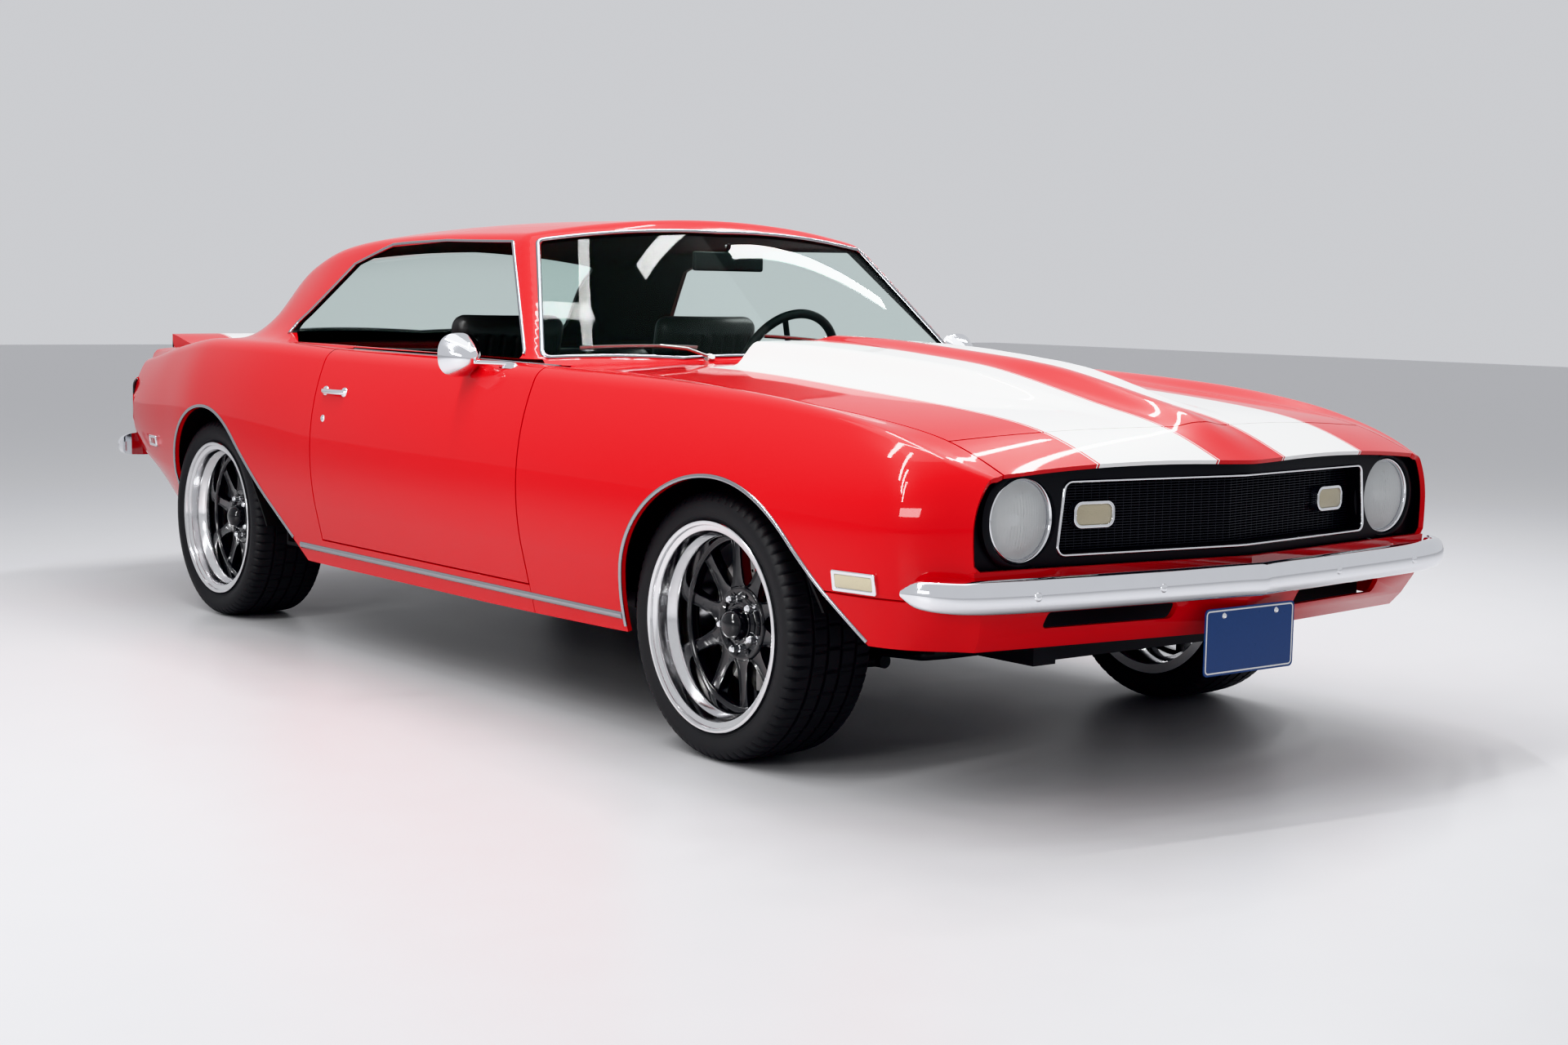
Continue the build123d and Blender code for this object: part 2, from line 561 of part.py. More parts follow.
def make_body(shapes, out):
    """Cut the shell, fenders, header, valance, hood, trunk lid and doors from the master shapes."""
    skin = shapes["skin"]
    half_gap = PANEL_GAP / 2
    front_arch = arch_cutter(FRONT_AXLE_Y, FRONT_ARCH)
    rear_arch = arch_cutter(REAR_AXLE_Y, REAR_ARCH)
    window = side_window()

    whole = shapes["body"] + shapes["cabin"]
    hollow = shapes["body_in"] + shapes["cabin_in"]
    shell = (whole - hollow) & span(HOOD_REAR_LINE, TAIL_LINE + 100, 100, 1400)
    # The front of the shell starts at the cowl, and below it at the door opening.
    shell -= block(-1200, 1200, DOOR_FRONT_LINE - 300, DOOR_FRONT_LINE, 100, 780)
    for s in (1, -1):
        shell -= block(s * (HOOD_HALF_WIDTH + 45), s * 1200, DOOR_FRONT_LINE - 300, DOOR_FRONT_LINE, 700,
                       1400)
        shell -= block(s * DOOR_INNER_X, s * 1200, DOOR_FRONT_LINE - 2, DOOR_REAR_LINE + half_gap,
                       DOOR_SILL_Z - half_gap, BELT_HEIGHT + 12)
    shell -= block(-BODY_HALF_WIDTH + 105, BODY_HALF_WIDTH - 105, DOOR_FRONT_LINE - 300, REAR_AXLE_Y + 1200,
                   100, 440)
    shell -= window
    shell -= shield_outline(0.0)
    shell -= backlight_outline(0.0)
    shell -= rear_arch
    shell -= lid_box(TRUNK_FRONT_LINE, TAIL_LINE + 200, TRUNK_HALF_WIDTH, 0.0) & span(
        TRUNK_FRONT_LINE, TAIL_LINE + 200, TRUNK_LIP_Z, 1400)
    shell -= block(-1200, 1200, REAR_AXLE_Y + 400, TAIL_LINE + 100, 100, 395)
    inner = shapes["body_in"]
    rear_jamb = DOOR_REAR_LINE + half_gap
    for s in (1, -1):
        shell += block(s * (DOOR_INNER_X - 25), s * 1200, rear_jamb, rear_jamb + 12, 300, BELT_HEIGHT) & inner
        shell += block(s * (DOOR_INNER_X - 25), s * 1200, rear_jamb - 24, rear_jamb + 12, 420,
                       860) & shapes["strip_in"]
        sill = FLOOR_Z + FLOOR_THICKNESS + SEAT_GAP
        shell += block(s * 705, s * 1200, DOOR_FRONT_LINE - 14, DOOR_FRONT_LINE - 2, sill, 890) & inner
        shell += block(s * 705, s * 1200, DOOR_FRONT_LINE - 14, DOOR_FRONT_LINE + 20, sill, 320) & inner
        shell += block(s * 500, s * 520, TRUNK_FRONT_LINE - 40, TRUNK_FRONT_LINE - 8, 800, 1000) & inner
        shell += block(s * 500, s * 520, TRUNK_FRONT_LINE - 40, TRUNK_FRONT_LINE + 30, 800,
                       1000) & shapes["stop_in"]
    tail_wall = (shapes["body"] - tail_body(SKIN)) & span(TAIL_LINE - 300, TAIL_LINE + 100, 500, TRUNK_LIP_Z)
    shell += tail_wall
    split_shell(shell, out)

    fender = skin & block(HOOD_HALF_WIDTH + half_gap, 1200, NOSE_TIP - 60, DOOR_FRONT_LINE - PANEL_GAP, 100,
                          1400)
    fender -= front_arch
    fender -= block(0, 1200, NOSE_LINE - 100, FRONT_AXLE_Y - 100, 100, VALANCE_SEAM_Z + half_gap)
    fender -= block(0, BODY_HALF_WIDTH - 105, NOSE_LINE - 100, DOOR_FRONT_LINE, 100, 440)
    fender -= block(0, HOOD_HALF_WIDTH + 47, DOOR_FRONT_LINE - 178, DOOR_FRONT_LINE, 700, 1400)
    out["fenders"] = pair(fender)

    top = (shapes["hood"] & nose_body()) - shapes["hood_in"]
    top &= block(-HOOD_HALF_WIDTH + half_gap, HOOD_HALF_WIDTH - half_gap, -LENGTH, HOOD_REAR_LINE
                 - PANEL_GAP, 600, 1400)
    out["hood"] = top & vee_prism(HEADER_TIP + half_gap, HEADER_SLOPE, LENGTH, 500.0, 1400.0)
    out["header_panel"] = top - vee_prism(HEADER_TIP - half_gap, HEADER_SLOPE, LENGTH, 500.0, 1400.0)
    lid = skin & lid_box(TRUNK_FRONT_LINE, TAIL_LINE + 200, TRUNK_HALF_WIDTH, half_gap * 2)
    lid &= span(TRUNK_FRONT_LINE, TAIL_LINE + 200, TRUNK_LIP_Z + PANEL_GAP, 1400)
    lid += spoiler()
    out["trunk_lid"] = lid

    door = shapes["body"] & block(DOOR_INNER_X + half_gap, 1200, DOOR_FRONT_LINE + half_gap,
                                  DOOR_REAR_LINE - half_gap, DOOR_SILL_Z + half_gap, BELT_HEIGHT + 8)
    door -= shapes["door_in"]
    # The rear face slants, so that its inner edge clears the jamb as the door swings.
    slant = [(BODY_HALF_WIDTH - 16, DOOR_REAR_LINE), (DOOR_INNER_X - 20, DOOR_REAR_LINE - DOOR_SLANT),
             (DOOR_INNER_X - 20, DOOR_REAR_LINE + 20), (BODY_HALF_WIDTH - 16, DOOR_REAR_LINE + 20)]
    door -= extrude(Plane.XY * make_face(Polyline(*slant, close=True)), amount=1500).solid()
    out["door_left"] = door
    out["door_right"] = mirror(door, Plane.YZ)

    low = skin & span(NOSE_TIP - 60, FRONT_AXLE_Y - 100, 100, VALANCE_SEAM_Z - half_gap)
    low -= front_arch
    low -= block(-660, 660, NOSE_TIP - 100, FRONT_AXLE_Y, 100, NOSE_WALL_Z[0])
    low -= block(-780, 780, FRONT_AXLE_Y - 620, FRONT_AXLE_Y, 100, VALANCE_SEAM_Z)
    wall = shapes["body"] & nose_band(0, SKIN, *NOSE_WALL_Z)
    wall &= shapes["body_in"] + (skin & span(NOSE_TIP - 60, NOSE_LINE + 60, 100, VALANCE_SEAM_Z - half_gap))
    for s in (1, -1):
        wall -= block(s * 215, s * 560, NOSE_TIP - 100, NOSE_LINE + 100, 398, 432)
    out["front_valance"] = low + wall


def split_shell(shell, out):
    """Part the shell where its panels meet: the roof, the cowl, the rockers, the quarters and the tail."""
    out["roof_panel"] = shell & span(-LENGTH, LENGTH, ROOF_SEAM_Z, 1400)
    low = shell & span(-LENGTH, LENGTH, 0, ROOF_SEAM_Z)
    out["cowl_panel"] = low & span(-LENGTH, COWL_END_LINE, 0, ROOF_SEAM_Z)
    out["rocker_panels"] = low & span(COWL_END_LINE, QUARTER_FRONT_LINE, 0, ROOF_SEAM_Z)
    rear = low & span(QUARTER_FRONT_LINE, LENGTH, 0, ROOF_SEAM_Z)
    middle = span(QUARTER_FRONT_LINE, LENGTH, 0, ROOF_SEAM_Z, -TRUNK_HALF_WIDTH, TRUNK_HALF_WIDTH)
    out["quarter_panels"] = rear - middle
    out["tail_panel"] = rear & middle


def pair(shape):
    """Return a piece and its mirror image on the car's other side, as one node."""
    return Compound(children=solids_of(shape) + solids_of(mirror(shape, Plane.YZ)))


def solids_of(shape):
    """Return the solids in a shape as a list."""
    return list(shape.solids())


def spoiler():
    """Return the lid's upturned trailing edge."""
    y = TAIL_LINE
    rows = ((y - 330, 862), (y - 150, 884), (y - 22, 902), (y - 4, 896), (y - 30, 838), (y - 330, 838))
    plane = Plane(origin=(0, 0, 0), x_dir=(0, 1, 0), z_dir=(1, 0, 0))
    face = make_face(Polyline(*rows, close=True))
    lip = extrude(plane * face, amount=TRUNK_HALF_WIDTH - LID_GAP, both=True).solid()
    return lip & tail_body()


def make_glass(shapes, out):
    """Make the windshield and the rear window."""
    pane = (shield_body(4.0) - shield_body(4.0 + GLASS)) & shield_outline(SEAT_GAP)
    out["windshield"] = pane

    out["rear_window"] = (cabin_loft(4.0) & backlight_outline(SEAT_GAP)) - cabin_loft(4.0 + GLASS)


def tyre(radius, width, centre_x, axle_y):
    """Return one tyre as a revolved ring, its beads behind the rim's flanges."""
    half, seat, bead = width / 2, RIM_WIDTH / 2, WHEEL_RADIUS + 2.0
    tread = half - 18.0
    wall = [(bead, seat - 17), (RIM_LIP_RADIUS + 0.5, seat - 11), (RIM_LIP_RADIUS + 6, half - 3),
            (radius - 34, half),
            (radius - 9, tread), (radius, tread - 26)]
    points = [(r, -w) for r, w in wall] + [(r, w) for r, w in reversed(wall)]
    plane = Plane(origin=(centre_x, axle_y, radius), x_dir=(0, 0, 1), z_dir=(0, -1, 0))
    face = plane * make_face(Polyline(*points, close=True))
    return revolve(face, Axis((centre_x, axle_y, radius), (1, 0, 0)), 360).solid()


def spoke(mid):
    """Return a spoke that runs up from the hub, narrows, and widens again at the rim."""
    half = [(SPOKE_ROOT, HUB_RADIUS - 4), (15, 112), (12, 150), (13, 190), (19, SPOKE_REACH)]
    outline = [(-a, r) for a, r in half] + [(a, r) for a, r in reversed(half)]
    plane = Plane(origin=(mid, 0, 0), x_dir=(0, 1, 0), z_dir=(1, 0, 0))
    return extrude(plane * make_face(Polyline(*outline, close=True)), amount=14, both=True).solid()


def wheel(s, axle_y, hub_z, lip_x, disc):
    """Return one wheel with its deep lip, spokes, hub bore and brake disc."""
    lip = s * lip_x

    def at(r, depth):
        return (r, depth)

    # Depth is measured inward from the lip plane.
    profile = [
        at(RIM_LIP_RADIUS, 0), at(RIM_LIP_RADIUS, 10), at(WHEEL_RADIUS + 1.7, 16), at(WHEEL_RADIUS + 1.7, 34),
        at(214, 52), at(214, RIM_WIDTH - 34), at(WHEEL_RADIUS + 1.7, RIM_WIDTH - 22),
        at(WHEEL_RADIUS + 1.7, RIM_WIDTH - 12), at(RIM_LIP_RADIUS - 2, RIM_WIDTH - 8), at(RIM_LIP_RADIUS - 2,
                                                                                          RIM_WIDTH),
        at(222, RIM_WIDTH), at(205, RIM_WIDTH - 34), at(205, 62), at(219, 40), at(221, 12), at(238,
                                                                                               4), at(244, 0),
    ]
    # Local y runs inward from the lip.
    plane = Plane(origin=(lip, axle_y, hub_z), x_dir=(0, 0, 1), z_dir=Vector(0, 0, 1).cross(Vector(-s, 0, 0)))
    axis = Axis((lip, axle_y, hub_z), (1, 0, 0))
    rim = revolve(plane * make_face(Polyline(*profile, close=True)), axis, 360).solid()
    hub = [at(0, SPOKE_DEPTH - 22), at(30, SPOKE_DEPTH - 18), at(36, SPOKE_DEPTH - 2),
           at(HUB_RADIUS, SPOKE_DEPTH + 4),
           at(HUB_RADIUS, SPOKE_DEPTH + 34), at(0, SPOKE_DEPTH + 34)]
    centre = revolve(plane * make_face(Polyline(*hub, close=True)), axis, 360).solid()
    solids = [rim, centre]
    mid = s * (lip_x - SPOKE_DEPTH - 16)
    for i in range(SPOKES):
        turn = 360.0 * i / SPOKES
        solids.append(spoke(mid).rotate(Axis((0, 0, 0), (1, 0, 0)), turn).moved(Location((0, axle_y, hub_z))))
    if disc:
        back = s * (lip_x - SPOKE_DEPTH - 34)
        solids.append(rod((back, axle_y, hub_z), (back - s * 40, axle_y, hub_z), 70))
        solids.append(rod((back - s * 14, axle_y, hub_z), (back - s * (14 + DISC_THICKNESS), axle_y, hub_z),
                          DISC_RADIUS))
    whole = fuse(*solids)
    bore_end = s * (lip_x - SPOKE_DEPTH - 90)
    whole -= rod((bore_end, axle_y, hub_z), (bore_end + s * 80, axle_y, hub_z), SPINDLE_RADIUS + BORE_FIT)
    return whole


def make_wheels(out):
    """Make the four wheels and tyres."""
    for s, hand in ((1, "left"), (-1, "right")):
        for axle_y, end, radius, width, lip_x in (
                (FRONT_AXLE_Y, "front", FRONT_TYRE_RADIUS, FRONT_TYRE_WIDTH, LIP_PLANE_X),
                (REAR_AXLE_Y, "rear", REAR_TYRE_RADIUS, REAR_TYRE_WIDTH, REAR_LIP_PLANE_X)):
            centre_x = s * (lip_x - RIM_WIDTH / 2)
            out["tyre_%s_%s" % (end, hand)] = tyre(radius, width, centre_x, axle_y)
            out["wheel_%s_%s" % (end, hand)] = wheel(s, axle_y, radius, lip_x, True)


def knuckle(s):
    """Return a front knuckle with its spindle, steering arm and brake caliper."""
    y, z = FRONT_AXLE_Y, FRONT_TYRE_RADIUS
    tip = s * (LIP_PLANE_X - SPOKE_DEPTH - 14)
    reach = 102.0 - SEAT_GAP
    post = rod((s * KINGPIN_X, y, z - reach), (s * KINGPIN_X, y, z + reach), 19)
    stub = rod((s * (KINGPIN_X - 8), y, z), (s * (KINGPIN_X + 44), y, z), 34)
    spindle = rod((s * KINGPIN_X, y, z), (tip, y, z), SPINDLE_RADIUS)
    arm = block(s * (KINGPIN_X - 12), s * (KINGPIN_X + 12), y, y + ARM_LENGTH, z - 66, z - 46)
    eye = rod((s * KINGPIN_X, y + ARM_LENGTH, z - 66), (s * KINGPIN_X, y + ARM_LENGTH, z - 46), 17)
    caliper = caliper_block(s, y, z)
    return fuse(post, stub, spindle, arm, eye, caliper)


def caliper_block(s, y, z):
    """Return a caliper that straddles the disc ahead of the axle, on its bracket."""
    face = LIP_PLANE_X - SPOKE_DEPTH - 34 - 14
    x0, x1 = s * (face - DISC_THICKNESS - 26), s * (face + 12)
    outer = block(x0, x1, y - 188, y - 110, z - 10, z + 105)
    outer &= rod((x0, y, z), (x1, y, z), 190)
    slot = rod((s * (face + 4), y, z), (s * (face - DISC_THICKNESS - 4), y, z), DISC_RADIUS + 6)
    bracket = block(s * (KINGPIN_X - 8), s * (face - DISC_THICKNESS - 6), y - 120, y, z - 8, z + 60)
    return (outer - slot) + (bracket & rod((s * 500, y, z), (s * 900, y, z), 180))


def make_chassis(out):
    """Make the front subframe, suspension, rear axle, springs, drive line, exhaust and tank."""
    y, z = FRONT_AXLE_Y, FRONT_TYRE_RADIUS
    rail_in, rail_out = 330.0, 400.0
    pieces = []
    for s in (1, -1):
        pieces.append(block(s * rail_in, s * rail_out, y - 599.7, y + 699.7, z - 50, z + 20))
        pieces.append(block(s * rail_in, s * rail_out, y - 95, y + 95, z + 10, z + 250))
        pieces.append(block(s * rail_in, s * 640, y + 630, y + 690, z - 50, z - 10))
    pieces.append(block(-rail_out, rail_out, y - 75, y + 75, z - 100, z - 20))
    pieces.append(block(-rail_out, rail_out, y - 560, y - 500, z - 50, z + 10))
    pieces.append(block(-rail_out, rail_out, y + 640, y + 690, z - 80, z - 45))
    out["front_subframe"] = fuse(*pieces)

    arms = []
    foot = rail_out + 17.0 + SEAT_GAP
    for s in (1, -1):
        for dz, half in ((-118, 88), (118, 88)):
            rods = [rod((s * foot, y + d * half, z + dz * 0.9), (s * (KINGPIN_X - 4), y, z + dz), 15)
                    for d in (1, -1)]
            rods.append(rod((s * KINGPIN_X, y, z + dz - 16), (s * KINGPIN_X, y, z + dz + 16), 24))
            rods.append(rod((s * foot, y - half - 25, z + dz * 0.9), (s * foot, y + half + 25, z + dz * 0.9),
                            17))
            arms.append(fuse(*rods))
    out["control_arms"] = Compound(children=arms)
    low = z - 50 - 13 - SEAT_GAP
    bar = [(-430, y - 114, 239.2), (-430, y - 262, low - 6), (-385, y - 300, low), (385, y - 300, low),
           (430, y - 262, low - 6), (430, y - 114, 239.2)]
    out["anti_roll_bar"] = bent_bar(bar, 13, 20)

    out["steering_rod"] = fuse(
        rod((-KINGPIN_X + 8, y + ARM_LENGTH, z - 79), (KINGPIN_X - 8, y + ARM_LENGTH, z - 79), 9),
        rod((-KINGPIN_X, y + ARM_LENGTH, z - 88), (-KINGPIN_X, y + ARM_LENGTH, z - 66 - SEAT_GAP), 15),
        rod((KINGPIN_X, y + ARM_LENGTH, z - 88), (KINGPIN_X, y + ARM_LENGTH, z - 66 - SEAT_GAP), 15))

    out["knuckle_left"] = knuckle(1)
    out["knuckle_right"] = knuckle(-1)

    ry, rz = REAR_AXLE_Y, REAR_TYRE_RADIUS
    tip = REAR_LIP_PLANE_X - SPOKE_DEPTH - 14
    axle = [rod((-600, ry, rz), (600, ry, rz), 38), rod((-tip, ry, rz), (tip, ry, rz), SPINDLE_RADIUS)]
    casing = Solid.make_sphere(125, Plane((0, ry, rz))) & block(-110, 110, ry - 125, ry + 100, rz - 130, rz
                                                                + 130)
    axle += [casing, rod((0, ry - 210, rz), (0, ry - 60, rz), 42)]
    out["rear_axle"] = fuse(*axle)

    springs = []
    for s in (1, -1):
        x = s * 520
        leaf = block(x - 32, x + 32, ry - 430, ry + 640, rz + 42, rz + 60)
        stack = block(x - 32, x + 32, ry - 300, ry + 330, rz + 38.3, rz + 42)
        hanger_f = block(x - 24, x + 24, ry - 437.7, ry - 400, rz + 20, 487.7)
        hanger_r = block(x - 24, x + 24, ry + 590, ry + 620, rz + 40, 487.7)
        springs.append(fuse(leaf, stack, hanger_f, hanger_r))
    out["leaf_springs"] = Compound(children=springs)

    out["engine_block"] = fuse(
        block(-270, 270, y - 190, y + 470, 330, 690),
        block(-150, 150, y + 175, y + 420, 235, 330),
        block(-170, 170, y - 120, y + 380, 690, 770),
        block(-345, 345, y + 100, y + 170, 338 + SEAT_GAP, 400),
        rod((0, y + 470, 395), (0, y + 690, 395), 120),
        rod((0, y + 690, 392), (0, y + 1180, 372), 88))
    out["driveshaft"] = rod((0, y + 1181.6, 372), (0, ry - 211.6, rz + 4), 38)
    pipes = []
    for s in (1, -1):
        run = [(s * 200, y + 430, 262), (s * 225, y + 610, 203), (s * 225, ry - 700, 203),
               (s * 300, ry - 480, 212)]
        pipes.append(bent_bar(run, 31, 90))
        pipes.append(block(s * 225, s * 400, ry - 640, ry - 360, 165, 245))
        pipes.append(block(s * 300, s * 330, ry - 520, ry - 505, 240, FLOOR_Z - SEAT_GAP))
    out["exhaust"] = Compound(children=[fuse(*pipes[:3]), fuse(*pipes[3:])])
    out["fuel_tank"] = block(-330, 330, ry + 330, ry + 690, 330, 487.7)


def make_floor(shapes, out):
    """Make the floor, tunnel, firewall, trunk floor and the wheel houses."""
    inner = shapes["body_in"]
    y1 = REAR_AXLE_Y - 450
    x = BODY_HALF_WIDTH - 105
    plate = block(-x, x, FRONT_AXLE_Y + 720, y1, FLOOR_Z, FLOOR_Z + FLOOR_THICKNESS)
    tunnel = block(-150, 150, FRONT_AXLE_Y + 720, y1 + 200, FLOOR_Z, 505) - block(
        -140, 140, FRONT_AXLE_Y + 700, y1 + 210, 100, 495)
    plate -= block(-140, 140, FRONT_AXLE_Y + 700, y1 + 210, 100, 495)
    fire = block(-690, 690, FRONT_AXLE_Y + 700, FRONT_AXLE_Y + 720, FLOOR_Z, 850)
    fire -= rod((0, FRONT_AXLE_Y + 600, 390), (0, FRONT_AXLE_Y + 800, 390), 135)
    kick = block(-x, x, y1, y1 + 12, FLOOR_Z, 500) - block(-140, 140, y1 - 20, y1 + 20, 100, 495)
    back = block(-640, 640, y1, REAR_AXLE_Y + 620, 488, 500)
    shelf = block(-640, 640, REAR_AXLE_Y - 225, REAR_AXLE_Y + 190, 838, 850)
    bulk = block(-560, 560, REAR_AXLE_Y - 225, REAR_AXLE_Y - 213, 500, 838)
    houses = []
    for s in (1, -1):
        ring = rod((s * 600, REAR_AXLE_Y, 323), (s * 900, REAR_AXLE_Y, 323), 385)
        ring -= rod((s * 610, REAR_AXLE_Y, 323), (s * 950, REAR_AXLE_Y, 323), 375)
        houses.append((ring & inner) & span(REAR_AXLE_Y - 500, REAR_AXLE_Y + 500, 330, 900))
    floor = fuse(plate, tunnel, fire, kick, back, shelf, bulk, *houses)
    for s in (1, -1):
        floor -= rod((s * 610, REAR_AXLE_Y, 323), (s * 950, REAR_AXLE_Y, 323), 375)
        floor -= rod((s * 590, REAR_AXLE_Y, 323), (s * 620, REAR_AXLE_Y, 323), 90)
    out["floor_pan"] = floor & inner

    aprons = []
    y, z = FRONT_AXLE_Y, FRONT_TYRE_RADIUS
    x0, x1 = INNER_WALL_X, INNER_WALL_X + 8
    for s in (1, -1):
        ring = rod((s * x0, y, z), (s * 910, y, z), 418)
        ring -= rod((s * x1, y, z), (s * 950, y, z), 410)
        wall = (ring & inner) & span(y - 500, y + 500, 400, 900)
        rail = block(s * x0, s * x1, y - 600, y + 695, 560, 800) - rod((s * 430, y, z), (s * 460, y, z), 414)
        rail = (rail & inner) & shapes["hood_stop"]
        apron = fuse(wall, rail) - block(s * 430, s * 470, y - 230, y + 230, 300, 560)
        aprons.append(apron)
    support = block(-700, 700, y - 640, y - 600, 290, 760) - block(-420, 420, y - 660, y - 580, 330, 730)
    roof = span(y - 700, y - 500, 600, 1000, -HOOD_HALF_WIDTH - 2.5, HOOD_HALF_WIDTH
                + 2.5) - shapes["hood_stop"]
    support = (support & inner) - roof
    radiator = block(-419.7, 419.7, y - 645, y - 600, 330.3, 729.7)
    stops = [block(s * 560, s * 590, y - 625, y - 605, 700, 900) & shapes["hood_stop"] for s in (1, -1)]
    out["inner_fenders"] = fuse(support, *stops, *aprons)
    out["radiator"] = radiator


def grille_outline(grow, front, depth):
    """Return the grille opening as a prism along the car, a given amount larger all round."""
    plane = Plane(origin=(0, front, 0), x_dir=(1, 0, 0), z_dir=(0, -1, 0))
    (low_x, low_z), (high_x, high_z) = GRILLE_LOW, GRILLE_HIGH
    points = [(-low_x - grow, low_z - grow), (-high_x - grow, high_z + grow), (high_x + grow, high_z + grow),
              (low_x + grow, low_z - grow)]
    return prism(points, plane, depth, 16.0)


def make_front(shapes, out):
    """Make the grille surround, grille, lamps and front bumper."""
    roof = span(NOSE_TIP, NOSE_LINE + 200, 600, 1000, -HOOD_HALF_WIDTH - 2.5, HOOD_HALF_WIDTH
                + 2.5) - shapes["hood_stop"]
    inner = (shapes["body_in"] - roof) & span(NOSE_TIP, NOSE_LINE + 200, NOSE_WALL_Z[1] + SEAT_GAP, 800)
    surround = nose_band(*SURROUND_DEPTHS, 500, 800) & inner
    frame = nose_band(SURROUND_DEPTHS[1] - 1, FRAME_DEPTH, 500, 800) & grille_outline(7.0, NOSE_TIP, 600)
    surround = (surround + frame) - grille_outline(0.0, NOSE_TIP, 800)
    lamp_face = NOSE_TIP + NOSE_SLOPE * LAMP_X + LAMP_DEPTH
    for s in (1, -1):
        surround -= rod((s * LAMP_X, lamp_face - 100, LAMP_Z), (s * LAMP_X, lamp_face + 100, LAMP_Z),
                        LAMP_RADIUS + 5 + SEAT_GAP)
    out["grille_surround"] = surround

    bars = []
    for i in range(GRILLE_BARS):
        z = GRILLE_LOW[1] + (GRILLE_HIGH[1] - GRILLE_LOW[1]) * (i + 0.5) / GRILLE_BARS
        bars.append(block(-600, 600, NOSE_TIP, NOSE_TIP + 300, z - 2, z + 2))
    inside = grille_outline(-SEAT_GAP, NOSE_TIP, 800)
    louvre = nose_band(BARS_DEPTH, BACKING_DEPTH, 500, 800) & Compound(children=bars)
    backing = nose_band(BACKING_DEPTH, FRAME_DEPTH - 2, 500, 800)
    out["grille"] = (backing + louvre) & inside

    lamps = []
    parks = []
    park_x, park_z, park_half, park_tall = PARK_LAMP
    for s in (1, -1):
        bowl = rod((s * LAMP_X, lamp_face + 60, LAMP_Z), (s * LAMP_X, lamp_face + 8, LAMP_Z), LAMP_RADIUS + 5)
        dome = Solid.make_sphere(260, Plane((s * LAMP_X, lamp_face + 260, LAMP_Z)))
        dome &= rod((s * LAMP_X, lamp_face - 10, LAMP_Z), (s * LAMP_X, lamp_face + 20, LAMP_Z), LAMP_RADIUS)
        lamps.append(fuse(bowl, dome))
        side = block(s * (park_x - park_half), s * (park_x + park_half), NOSE_TIP, NOSE_TIP + 300,
                     park_z - park_tall, park_z + park_tall)
        parks.append(side & nose_band(BARS_DEPTH - 18, BARS_DEPTH - SEAT_GAP, 500, 800))
    out["headlamps"] = Compound(children=lamps)
    out["park_lamps"] = Compound(children=parks)

    plate_back = NOSE_TIP + NOSE_SLOPE * NOSE_BLUNT / 2 - SEAT_GAP
    out["front_plate"] = block(-PLATE_SIZE[0] / 2, PLATE_SIZE[0] / 2, plate_back - 2.0, plate_back,
                               PLATE_FOOT_Z, PLATE_FOOT_Z + PLATE_SIZE[1])

    for name, table, way, wall in (("front_bumper", FRONT_BUMPER, -1, nose_body(-SEAT_GAP)),
                                   ("rear_bumper", REAR_BUMPER, 1, tail_body(-SEAT_GAP))):
        blade = bumper_blade(table, way)
        base = table[2][1] - way * 18.0
        brackets = [block(s * 330, s * 390, base, base - way * 170, table[2][2] - 20, table[2][2] + 20) - wall
                    for s in (1, -1)]
        out[name] = fuse(blade, *brackets)
    out["rear_bumper"] = out["rear_bumper"] + plate_bracket()


def plate_bracket():
    """Return the bracket under the rear bumper, with the two holes that a licence plate bolts to."""
    y = REAR_AXLE_Y + REAR_OVERHANG - 16.0
    ear = block(-125, 125, y - BRACKET_THICKNESS, y, BRACKET_HOLE_Z - 18, 500)
    for s in (1, -1):
        x = s * PLATE_HOLE_SPACING / 2
        ear -= rod((x, y - 20, BRACKET_HOLE_Z), (x, y + 20, BRACKET_HOLE_Z), PLATE_HOLE_RADIUS)
    return ear


def bumper_blade(table, way):
    """Return a slim blade bumper: a convex bar with tapered round ends that wrap the corners."""
    wires = []
    ends = [(x, y) for x, y, z, half, deep in table]
    for i, (x, y, z, half, deep) in enumerate(table):
        before, after = ends[max(i - 1, 0)], ends[min(i + 1, len(ends) - 1)]
        run = Vector(after[0] - before[0], after[1] - before[1], 0) if i else Vector(1, 0, 0)
        out = run.normalized().cross(Vector(0, 0, 1)) * -way

        def at(n, up):
            return Vector(x, y, z + up) + out * n

        shape = [(-deep, -half), (-deep * 0.55, -half * 0.9), (-deep * 0.22, -half * 0.64), (0, 0),
                 (-deep * 0.22, half * 0.64), (-deep * 0.55, half * 0.9), (-deep, half)]
        points = [at(n, up) for n, up in shape]
        arcs = [Edge.make_three_point_arc(*points[k:k + 3]) for k in (0, 2, 4)]
        wires.append(Wire(arcs + [Edge.make_line(points[-1], points[0])]))
    side = Solid.make_loft(wires, ruled=True)
    return side + mirror(side, Plane.YZ)


def make_rear(out):
    """Make the tail lamps and side markers."""
    lamps = []
    for s in (1, -1):
        lamps.append(block(s * 400, s * 690, TAIL_LINE - 60, TAIL_LINE + 12, 610, 715) & tail_body(-9.0))
    body = tail_body(0.0)
    out["tail_lamps"] = Compound(children=[lamp - body for lamp in lamps])


